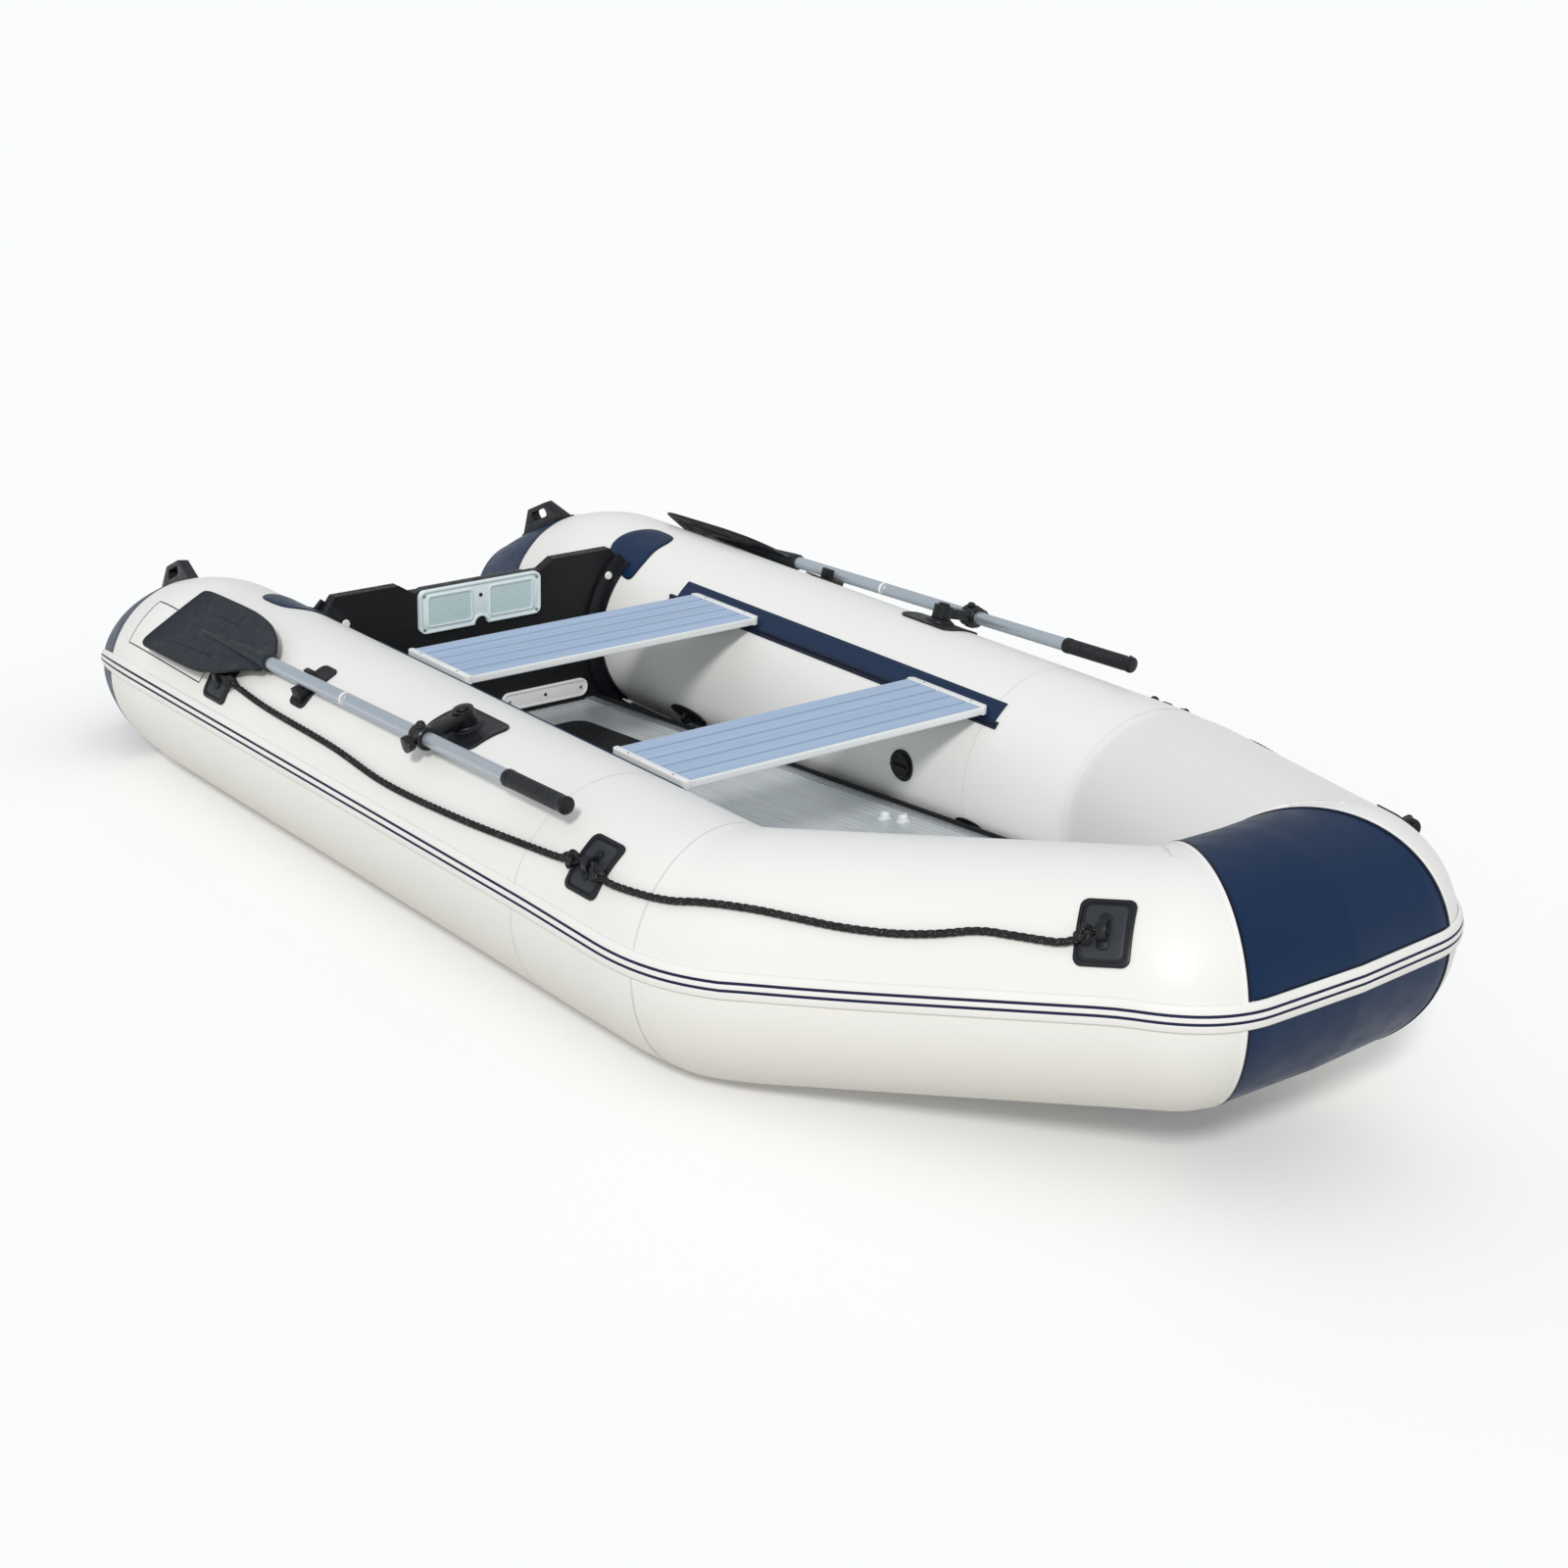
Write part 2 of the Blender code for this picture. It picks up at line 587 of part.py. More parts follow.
def wrapped(outline, distance, angle, thickness, side, lift=GAP):
    """A flat outline glued round the tube: X runs along the hull and Y up round it."""
    turn = OVERRUN / TUBE_RADIUS
    stretch = (on_hull(distance + OVERRUN, angle) - on_hull(distance - OVERRUN, angle)).length / 2 / OVERRUN
    girth = (on_hull(distance, angle + turn) - on_hull(distance, angle - turn)).length / 2 / turn
    shape = slab(outline, thickness)
    places = [((ring["at"] - distance) * stretch, 0) for ring in STATIONS]
    turns = [facet + 2 * math.pi * k for facet in facet_angles() for k in (0, 1)]
    places += [((facet - angle) * girth, 1) for facet in turns]
    for place, axis in places:
        values = [point[axis] for point in outline]
        if min(values) + GAP < place < max(values) - GAP:
            normal = Vector((1 - axis, axis, 0))
            bmesh.ops.bisect_plane(shape, geom=[*shape.verts, *shape.edges, *shape.faces],
                                   plane_co=normal * place, plane_no=normal)
    for vertex in shape.verts:
        along, up, out = vertex.co
        vertex.co = on_hull(distance + along / stretch, angle + up / girth, lift + out, side)
    bmesh.ops.triangulate(shape, faces=shape.faces)
    return shape


# The air tubes

def seam_plane(side):
    """The seam between a bow panel and the nose panel: a point and the normal towards the bow."""
    level = Vector((math.cos(NOSE_SEAM_HEADING), -math.sin(NOSE_SEAM_HEADING)))
    point = bow_corner() + level * NOSE_SEAM_OFFSET
    normal = Vector((level.x, level.y * side, math.tan(NOSE_SEAM_LEAN))).normalized()
    return Vector((point.x, point.y * side, TUBE_CENTRE + rise_at(point.x))), normal


def bisected(shape, point, normal):
    """Keeps what lies behind a plane and closes the cut."""
    bmesh.ops.remove_doubles(shape, verts=shape.verts, dist=MERGE)
    cut = bmesh.ops.bisect_plane(shape, geom=[*shape.verts, *shape.edges, *shape.faces],
                                 plane_co=point, plane_no=normal, clear_outer=True)
    edges = [edge for edge in cut["geom_cut"] if isinstance(edge, bmesh.types.BMEdge)]
    bmesh.ops.contextual_create(shape, geom=edges)
    return shape


def build_tubes():
    first = BEND_FROM_STERN - BEND_LEAD + BEND_RADIUS * BOW_TURN / BEND_STEPS
    last = STATIONS[-1]["at"]
    for side, word in SIDES:
        rings = [*rings_between(0, CAP_SEAM_FROM_STERN, side), seam_ring(CAP_SEAM_FROM_STERN, -GAP / 2, side)]
        add_object(f"stern_cap_{word}", loft(rings), NAVY_FABRIC)
        rings = [seam_ring(CAP_SEAM_FROM_STERN, GAP / 2, side), *rings_between(CAP_SEAM_FROM_STERN, first, side),
                 seam_ring(first, -GAP / 2, side)]
        add_object(f"hull_tube_{word}", loft(rings), WHITE_FABRIC)
        point, normal = seam_plane(side)
        rings = [seam_ring(first, GAP / 2, side), *rings_between(first, last + 1, side)]
        panel = bisected(loft(rings), point - normal * GAP / 2, normal)
        add_object(f"bow_panel_{word}", panel, WHITE_FABRIC)
    corner = BOW_CORNER_FROM_STERN
    rings = rings_between(corner, last + 1, PORT)
    rings += reversed(rings_between(corner, last - GAP, STARBOARD))
    nose = loft(rings)
    for side, _ in SIDES:
        point, normal = seam_plane(side)
        nose = bisected(nose, point + normal * GAP / 2, -normal)
    add_object("bow_nose", nose, NAVY_FABRIC)


def build_rub_strake():
    half = STRAKE_WIDTH / 2 / TUBE_RADIUS
    chamfer = STRAKE_CHAMFER / TUBE_RADIUS
    high = GAP + STRAKE_THICKNESS
    outer = [(half, high - STRAKE_CHAMFER), (half - chamfer, high), (chamfer - half, high),
             (-half, high - STRAKE_CHAMFER)]

    def section(ring, side):
        share = min(1.0, max(0.0, (ring["at"] - BEND_FROM_STERN) / STRAKE_SWAY_LENGTH + 0.5))
        middle = STRAKE_ANGLE_STERN + (STRAKE_ANGLE_BOW - STRAKE_ANGLE_STERN) * share
        inner = [on_ring(ring, middle - half + 2 * half * i / STRAKE_STEPS, GAP, side)
                 for i in range(STRAKE_STEPS + 1)]
        return inner + [on_ring(ring, middle + turn, lift, side) for turn, lift in outer]

    line = [ring for ring in STATIONS if ring["at"] > STRAKE_START]
    rings = [section(ring, STARBOARD) for ring in line]
    rings += [section(ring, PORT) for ring in reversed(line[:-1])]
    add_object("rub_strake", loft(rings), WHITE_PLASTIC)


def build_stern_handles():
    for side, word in SIDES:
        frame = hull_frame(HANDLE_FROM_STERN, HANDLE_ANGLE, side)
        foot = wrapped(rounded_outline(HANDLE_FOOT_LENGTH, HANDLE_FOOT_WIDTH, HANDLE_FOOT_WIDTH / 3),
                       HANDLE_FROM_STERN, HANDLE_ANGLE, HANDLE_FOOT_THICKNESS, side)
        handle = add_object(f"stern_handle_{word}", foot, BLACK_RUBBER)
        root = []
        for i in range(HANDLE_STEPS + 1):
            along = HANDLE_LENGTH * (i / HANDLE_STEPS - 0.5)
            point = on_hull(HANDLE_FROM_STERN + along, HANDLE_ANGLE, GAP + HANDLE_FOOT_THICKNESS / 3, side)
            point = frame.inverted() @ point
            root.append((point.x, point.z))
        top = HANDLE_TOP_LENGTH / 2
        outline = [*root, (top, HANDLE_HEIGHT), (-top, HANDLE_HEIGHT)]
        grip = upright(outline, HANDLE_THICKNESS, frame)
        combine(handle, guide(f"{word}_handle_grip", grip), "UNION")
        hole = rounded_outline(HANDLE_HOLE_LENGTH, HANDLE_HOLE_HEIGHT, HANDLE_HOLE_HEIGHT / 3)
        lift = HANDLE_HOLE_LIFT + HANDLE_HOLE_HEIGHT / 2
        hole = upright([(x, z + lift) for x, z in hole], HANDLE_THICKNESS + OVERRUN, frame)
        combine(handle, guide(f"{word}_handle_hole", hole), "DIFFERENCE")


def upright(outline, thickness, frame):
    """An outline in the frame's X and Z, with its thickness across."""
    shape = slab(outline, thickness)
    bmesh.ops.translate(shape, verts=shape.verts, vec=(0, 0, -thickness / 2))
    turn = Matrix(((1, 0, 0, 0), (0, 0, -1, 0), (0, 1, 0, 0), (0, 0, 0, 1)))
    return put(shape, frame @ turn)


def guide(name, shape):
    return as_cutter(add_object(name, shape))


# The transom and what is fixed to it

def arc_point(angle, lift, side, x):
    """A point beside a straight tube, at a lift over its skin."""
    reach = TUBE_RADIUS + lift
    return Vector((x, side * (HALF_SPACING + reach * math.cos(angle)), TUBE_CENTRE + reach * math.sin(angle)))


def plate_on_transom(outline, x, thickness):
    """An outline in Y and Z as a plate that reaches from x towards the bow."""
    shape = slab(outline, thickness)
    turn = Matrix(((0, 0, 1, x), (1, 0, 0, 0), (0, 1, 0, 0), (0, 0, 0, 1)))
    return put(shape, turn)


def transom_outline():
    """Starboard half first, from the dip down to the keel, then its mirror image."""
    lift = HOLDER_BASE + 2 * GAP
    shoulder = arc_point(TRANSOM_END_ANGLE, lift, PORT, 0).y - TRANSOM_SHOULDER_WIDTH
    half = [(TRANSOM_DIP_HALF_WIDTH, TRANSOM_DIP_TOP),
            (TRANSOM_DIP_HALF_WIDTH + TRANSOM_DIP_SLOPE, TRANSOM_TOP),
            (shoulder, TRANSOM_TOP)]
    lowest = math.pi + math.asin((TUBE_CENTRE - TRANSOM_BOTTOM) / (TUBE_RADIUS + lift))
    for i in range(HOLDER_STEPS + 1):
        angle = TRANSOM_END_ANGLE + (lowest - TRANSOM_END_ANGLE) * i / HOLDER_STEPS
        point = arc_point(angle, lift, PORT, 0)
        half.append((point.y, point.z))
    return half + [(-y, z) for y, z in reversed(half)]


def bolt_axis(side):
    return arc_point(BOLT_ANGLE, BOLT_LIFT, side, TRANSOM_X)


def build_transom():
    board = add_object("transom_board",
                       plate_on_transom(transom_outline(), TRANSOM_X - TRANSOM_THICKNESS, TRANSOM_THICKNESS),
                       BLACK_BOARD)
    middle = TRANSOM_X - TRANSOM_THICKNESS / 2
    slot = TRANSOM_THICKNESS / 2 + GAP
    outer = slot + HOLDER_CHEEK
    profile = [(-HOLDER_WIDTH / 2, GAP), (HOLDER_WIDTH / 2, GAP), (HOLDER_WIDTH / 2, HOLDER_SKIN),
               (outer + HOLDER_CHEEK / 2, HOLDER_SKIN + HOLDER_SKIN / 2), (outer, HOLDER_HEIGHT),
               (slot, HOLDER_HEIGHT), (slot, HOLDER_BASE + GAP), (-slot, HOLDER_BASE + GAP),
               (-slot, HOLDER_HEIGHT), (-outer, HOLDER_HEIGHT),
               (-outer - HOLDER_CHEEK / 2, HOLDER_SKIN + HOLDER_SKIN / 2), (-HOLDER_WIDTH / 2, HOLDER_SKIN)]
    holes = []
    for side, word in SIDES:
        rings = []
        for i in range(HOLDER_STEPS + 1):
            angle = HOLDER_START_ANGLE + (HOLDER_END_ANGLE - HOLDER_START_ANGLE) * i / HOLDER_STEPS
            rings.append([arc_point(angle, lift, side, middle + x) for x, lift in profile])
        holder = add_object(f"transom_holder_{word}", loft(rings), BLACK_RUBBER)
        axis = bolt_axis(side)
        front = middle + outer + HOLDER_CHEEK / 2
        back = middle - outer - HOLDER_CHEEK / 2
        start, end = (back - OVERRUN, axis.y, axis.z), (front + OVERRUN, axis.y, axis.z)
        hole = guide(f"{word}_bolt_hole", rod(start, end, BOLT_RADIUS + GAP))
        combine(holder, hole, "DIFFERENCE")
        holes.append(hole)
        shank = rod((back, axis.y, axis.z), (front + GAP, axis.y, axis.z), BOLT_RADIUS)
        bolt = add_object(f"holder_bolt_{word}", shank, ALUMINIUM)
        head_start = (front + GAP - GAP / 3, axis.y, axis.z)
        head_end = (front + GAP + BOLT_HEAD_HEIGHT, axis.y, axis.z)
        head = rod(head_start, head_end, BOLT_HEAD_RADIUS, ROUND_SIDES, BOLT_HEAD_RADIUS * BOLT_HEAD_TOP_SHARE)
        combine(bolt, guide(f"{word}_bolt_head", head), "UNION")
    for hole in holes:
        combine(board, hole, "DIFFERENCE")
    build_transom_plates(board)


def build_transom_plates(board):
    middle = MOTOR_PLATE_TOP - MOTOR_PLATE_HEIGHT / 2
    outline = rounded_outline(MOTOR_PLATE_LENGTH, MOTOR_PLATE_HEIGHT, MOTOR_PLATE_CORNER)
    outline = [(y, z + middle) for y, z in outline]
    plate = add_object("motor_plate_inner",
                       plate_on_transom(outline, TRANSOM_X + GAP, MOTOR_PLATE_THICKNESS), PALE_PLASTIC)
    front = TRANSOM_X + GAP + MOTOR_PLATE_THICKNESS
    corner = MOTOR_PLATE_CORNER / 3
    for k, y in enumerate((-MOTOR_PANEL_OFFSET, MOTOR_PANEL_OFFSET)):
        panel = rounded_outline(MOTOR_PANEL_LENGTH, MOTOR_PANEL_HEIGHT, corner)
        panel = [(v + y, z + middle) for v, z in panel]
        recess = plate_on_transom(panel, front - MOTOR_PANEL_DEPTH, OVERRUN)
        combine(plate, guide(f"motor_panel_{k}", recess), "DIFFERENCE")
    low = MOTOR_PLATE_TOP - MOTOR_PLATE_HEIGHT
    notch = rod((TRANSOM_X - OVERRUN, 0, low), (front + OVERRUN, 0, low), MOTOR_NOTCH_RADIUS)
    combine(plate, guide("motor_notch", notch), "DIFFERENCE")

    outline = rounded_outline(OUTER_PLATE_LENGTH, OUTER_PLATE_HEIGHT, MOTOR_PLATE_CORNER)
    outline = [(y, z + TRANSOM_DIP_TOP - OUTER_PLATE_HEIGHT / 2) for y, z in outline]
    back = TRANSOM_X - TRANSOM_THICKNESS - GAP - OUTER_PLATE_THICKNESS
    add_object("motor_plate_outer", plate_on_transom(outline, back, OUTER_PLATE_THICKNESS), PALE_PLASTIC)

    outline = rounded_outline(LOWER_PLATE_LENGTH, LOWER_PLATE_HEIGHT, LOWER_PLATE_CORNER)
    middle = HALF_SPACING - TUBE_RADIUS - LOWER_PLATE_FROM_TUBE - LOWER_PLATE_LENGTH / 2
    outline = [(y + middle, z + LOWER_PLATE_Z) for y, z in outline]
    add_object("transom_lower_plate",
               plate_on_transom(outline, TRANSOM_X + GAP, LOWER_PLATE_THICKNESS), WHITE_PLASTIC)

    centre = Vector((TRANSOM_X - TRANSOM_THICKNESS, -DRAIN_Y, DRAIN_Z))
    ahead = Vector((1, 0, 0))
    hole = rod(centre - ahead * OVERRUN, centre + ahead * (TRANSOM_THICKNESS + OVERRUN),
               running_bore(DRAIN_SHANK_RADIUS))
    combine(board, guide("drain_hole", hole), "DIFFERENCE")
    cap_face = centre - ahead * GAP
    plug = add_object("drain_plug", rod(cap_face - ahead * DRAIN_CAP_HEIGHT, cap_face, DRAIN_CAP_RADIUS),
                      BLACK_PLASTIC)
    shank = rod(cap_face - ahead * GAP, centre + ahead * (TRANSOM_THICKNESS - GAP), DRAIN_SHANK_RADIUS)
    combine(plug, guide("drain_shank", shank), "UNION")
    lug = slab([(y - DRAIN_Y, z + DRAIN_Z) for y, z in
                rounded_outline(2 * DRAIN_CAP_RADIUS - DRAIN_LUG_WIDTH, DRAIN_LUG_WIDTH, DRAIN_LUG_WIDTH / 3)],
               DRAIN_LUG_HEIGHT + GAP)
    start = cap_face.x - DRAIN_CAP_HEIGHT - DRAIN_LUG_HEIGHT
    turn = Matrix(((0, 0, 1, start), (1, 0, 0, 0), (0, 1, 0, 0), (0, 0, 0, 1)))
    combine(plug, guide("drain_lug", put(lug, turn)), "UNION")
    hang_on("drain_plug_axis", centre, [plug])


# The floor, its stringers, the keel tube and the bottom skin

def floor_top(x):
    return FLOOR_AFT_HEIGHT + math.tan(FLOOR_TILT) * (x - TRANSOM_X)


def sloped(outline, low, high):
    """A plate that follows the floor's slope between two heights over its top."""
    shape = slab(outline, 1.0)
    for vertex in shape.verts:
        lift = high if vertex.co.z > 0.5 else low
        vertex.co.z = floor_top(vertex.co.x) + lift
    return shape


def build_floor():
    start = TRANSOM_X + GAP
    for k, word in enumerate(("aft", "middle")):
        x0 = start + k * (FLOOR_BOARD_LENGTH + FLOOR_JOINT)
        x1 = x0 + FLOOR_BOARD_LENGTH
        outline = [(x0, -FLOOR_HALF_WIDTH), (x1, -FLOOR_HALF_WIDTH), (x1, FLOOR_HALF_WIDTH),
                   (x0, FLOOR_HALF_WIDTH)]
        add_object(f"floor_board_{word}", sloped(outline, -FLOOR_THICKNESS, 0), ALUMINIUM)
    x0 = start + 2 * (FLOOR_BOARD_LENGTH + FLOOR_JOINT)
    x1, x2 = BEND_X - FLOOR_SHOULDER_BACK, FLOOR_TIP_X
    half, tip = FLOOR_HALF_WIDTH, FLOOR_BOW_TIP_HALF_WIDTH
    outline = [(x0, -half), (x1, -half), (x2, -tip), (x2, tip), (x1, half), (x0, half)]
    add_object("floor_board_bow", sloped(outline, -FLOOR_THICKNESS, 0), ALUMINIUM)
    for side, word in SIDES:
        inner, edge = FLOOR_HALF_WIDTH - STRINGER_GRIP, FLOOR_HALF_WIDTH + GAP
        outer, wall = edge + STRINGER_WALL, STRINGER_WALL
        top, low = GAP, -FLOOR_THICKNESS - GAP
        profile = [(inner, top), (edge, top), (edge, low), (inner, low), (inner, low - wall),
                   (outer, low - wall), (outer, top + wall), (inner, top + wall)]
        rings = []
        for x in (start, BEND_X - STRINGER_END_BACK):
            rings.append([Vector((x, y * side, floor_top(x) + z)) for y, z in profile])
        add_object(f"floor_stringer_{word}", loft(rings), ALUMINIUM)


def skin_sections():
    """Each section: the port edge's two points and the middle's height."""
    reach = BOW_CORNER_FROM_STERN - SKIN_END_BACK
    first = TRANSOM_FROM_STERN + GAP * 2
    places = [first] + [r["at"] for r in STATIONS if first < r["at"] < reach] + [reach]
    places = [p for i, p in enumerate(places) if i == 0 or p - places[i - 1] > GAP]
    for place in places:
        top = on_hull(place, SKIN_TOP_ANGLE, SKIN_CLEARANCE)
        low = on_hull(place, SKIN_LOW_ANGLE, SKIN_CLEARANCE)
        yield top, low


def skin_middle(x):
    """Top of the skin over the keel line."""
    edge = arc_point(SKIN_TOP_ANGLE, SKIN_CLEARANCE, PORT, x)
    return edge.z + rise_at(x) - SKIN_DROP


def build_bottom():
    rings = []
    for top, low in skin_sections():
        middle = skin_middle(top.x)
        rings.append([Vector((top.x, -top.y, top.z)), Vector((top.x, 0, middle)), top,
                      Vector((top.x, low.y, low.z)), Vector((top.x, 0, middle - SKIN_THICKNESS)),
                      Vector((top.x, -low.y, low.z))])
    add_object("bottom_skin", loft(rings), GREY_FABRIC)

    rings = []
    start, end = TRANSOM_X + KEEL_START, FLOOR_TIP_X - KEEL_END_BACK
    places = [start + (end - start) * i / KEEL_STEPS for i in range(KEEL_STEPS + 1)]
    ends = [(start - KEEL_ROUND * along, size) for along, size in KEEL_END_SHARES]
    others = [(end + KEEL_ROUND * along, size) for along, size in reversed(KEEL_END_SHARES)]
    for x, share in ends + [(x, 1.0) for x in places] + others:
        low = skin_middle(x) + KEEL_CLEARANCE
        high = floor_top(x) - FLOOR_THICKNESS - GAP
        radius = (high - low) / 2 * share
        centre = Vector((x, 0, (high + low) / 2))
        rings.append([centre + Vector((0, u, v)) for u, v in circle(radius, ROUND_SIDES)])
    add_object("keel_tube", loft(rings), GREY_FABRIC)


# Seats on their rails

def rail_profile():
    """Angle and lift of the rail's outline, skin side first."""
    span = RAIL_INNER_ANGLE - RAIL_OUTER_ANGLE
    inner = [(RAIL_OUTER_ANGLE + span * i / RAIL_STEPS, GAP) for i in range(RAIL_STEPS + 1)]
    high = GAP + RAIL_THICKNESS
    reach = TUBE_RADIUS + high
    bead = []
    for i in range(5):
        turn = math.pi * i / 4
        bead.append((RAIL_BEAD_ANGLE + RAIL_BEAD_RADIUS * math.cos(turn) / reach,
                     high + RAIL_BEAD_RADIUS * math.sin(turn)))
    outer = [(RAIL_INNER_ANGLE, high), *bead,
             *[(RAIL_OUTER_ANGLE + span * i / RAIL_STEPS, high) for i in (4, 2, 0)]]
    return inner + outer


def seat_underside():
    """Height at which a seat's ends just clear the rails."""
    reach = TUBE_RADIUS + GAP + RAIL_THICKNESS
    inset = HALF_SPACING - SEAT_HALF_LENGTH
    return TUBE_CENTRE + math.sqrt(reach ** 2 - inset ** 2) + GAP


def seat_profile(width, bottom, top, corner):
    """Section of a seat plank in X and Z, with rounded edges."""
    points = []
    for k, (sx, sz) in enumerate(((1, 1), (-1, 1), (-1, -1), (1, -1))):
        cx = sx * (width / 2 - corner)
        cz = (top - corner) if sz > 0 else (bottom + corner)
        for i in range(4):
            turn = math.pi / 2 * (k + i / 3)
            points.append((cx + corner * math.cos(turn), cz + corner * math.sin(turn)))
        if k == 0:
            pitch = width / (SEAT_GROOVES + 1)
            for g in range(SEAT_GROOVES):
                x = width / 2 - pitch * (g + 1)
                w, d = SEAT_GROOVE_WIDTH / 2, SEAT_GROOVE_DEPTH
                points += [(x + w, top), (x + w / 2, top - d), (x - w / 2, top - d), (x - w, top)]
    return points


def build_seats():
    for side, word in SIDES:
        rings = [[arc_point(angle, lift, side, STERN_X + x) for angle, lift in rail_profile()]
                 for x in (RAIL_FROM_STERN, RAIL_END_FROM_STERN)]
        add_object(f"seat_rail_{word}", loft(rings), NAVY_FABRIC)
    bottom = seat_underside()
    top = bottom + SEAT_THICKNESS
    for word, place in (("rear", REAR_SEAT_FROM_STERN), ("front", FRONT_SEAT_FROM_STERN)):
        x0 = STERN_X + place
        edge = SEAT_HALF_LENGTH - SEAT_CAP_LENGTH - GAP
        profile = seat_profile(SEAT_WIDTH, bottom, top - SEAT_CAP_LIP, SEAT_THICKNESS / 5)
        rings = [[Vector((x0 + x, y, z)) for x, z in profile] for y in (-edge, edge)]
        pieces = [add_object(f"seat_board_{word}", loft(rings), ALUMINIUM)]
        for side, name in SIDES:
            cap = rounded_cap(x0, side, bottom, top)
            pieces.append(add_object(f"seat_cap_{word}_{name}", cap, WHITE_PLASTIC))
        hang_on(f"seat_{word}_slide", Vector((x0, 0, bottom)), pieces)


def rounded_cap(x0, side, bottom, top):
    """End cap of a seat plank, with its outer corners rounded in plan."""
    inner, outer = SEAT_HALF_LENGTH - SEAT_CAP_LENGTH, SEAT_HALF_LENGTH
    half, corner = SEAT_WIDTH / 2 + SEAT_CAP_LIP, SEAT_CAP_CORNER
    outline = [(x0 - half, inner * side), (x0 + half, inner * side)]
    for k, sign in ((0, 1), (1, -1)):
        for i in range(5):
            turn = math.pi / 2 * (k + i / 4)
            outline.append((x0 + sign * (half - corner) + corner * math.cos(turn),
                            side * (outer - corner + corner * math.sin(turn))))
    shape = slab(outline, top - bottom)
    bmesh.ops.translate(shape, verts=shape.verts, vec=(0, 0, bottom))
    return shape


# Oars. They swing about the oarlock pin, so they are laid out in the pin's own frame: X forward,
# Y outboard and Z out along the pin, from the middle of the tube.

def swing_frame(side):
    out = Vector((0, side * math.cos(PIN_ANGLE), math.sin(PIN_ANGLE)))
    across = Vector((0, side * math.sin(PIN_ANGLE), -math.cos(PIN_ANGLE)))
    frame = Matrix((Vector((1, 0, 0)), across, out)).transposed().to_4x4()
    frame.translation = (STERN_X + PIN_FROM_STERN, side * HALF_SPACING, TUBE_CENTRE)
    return frame


def shaft_place():
    """How far the shaft's centre lies outboard of the pin, and its height on the pin."""
    reach = TUBE_RADIUS + OAR_LIFT
    turn = PIN_ANGLE - OAR_ANGLE
    return reach * math.sin(turn), reach * math.cos(turn)


def build_oars():
    offset, height = shaft_place()
    x_grip = GRIP_END_FROM_PIN
    x_blade = -BLADE_TIP_FROM_PIN
    x_neck = x_blade + BLADE_LENGTH + NECK_LENGTH
    for side, word in SIDES:
        frame = swing_frame(side)

        def at(x):
            return frame @ Vector((x, offset, height + OAR_SLOPE * x))

        start = x_neck - NECK_BORE_DEPTH + GAP
        end = x_grip - GRIP_LENGTH + GRIP_BORE_DEPTH - GAP
        shaft = add_object(f"oar_shaft_{word}", rod(at(start), at(end), SHAFT_RADIUS, SHAFT_SIDES), ALUMINIUM)
        grip = add_object(f"oar_grip_{word}", oar_grip(at, x_grip), BLACK_RUBBER)
        bore = rod(at(x_grip - GRIP_LENGTH - OVERRUN), at(end + GAP), SHAFT_RADIUS + GAP, SHAFT_SIDES)
        combine(grip, guide(f"{word}_grip_bore", bore), "DIFFERENCE")
        blade = build_blade(frame, word, x_blade, x_neck)
        swivel = build_swivel(frame, word, offset, height)
        knob = build_knob(frame, word, offset, height)
        pin = frame @ Vector((0, 0, TUBE_RADIUS))
        hang_on(f"oar_swing_{word}", pin, [shaft, grip, blade, swivel])
        hang_on(f"knob_turn_{word}", frame @ Vector((0, offset + COLLAR_RADIUS, height)), [knob])
        build_oarlock_patch(frame, word, side)
        build_oar_clip(frame, word, side, offset, height)


def oar_grip(at, x_end):
    """A moulded grip with a raised collar and a rounded end."""
    length, radius = GRIP_LENGTH, GRIP_RADIUS
    shares = ((1.0, 0.90), (0.985, 1.0), (0.93, 1.0), (0.91, 0.93), (0.08, 0.93), (0.05, 1.0),
              (0.02, 1.0), (0.0, 0.70))
    rings = []
    for along, size in shares:
        centre = at(x_end - length * along)
        frame = frame_of(centre, (0, 0, 1), (1, 0, 0))
        rings.append([frame @ Vector((u, v, 0)) for u, v in circle(radius * size, SHAFT_SIDES)])
    return loft(rings)


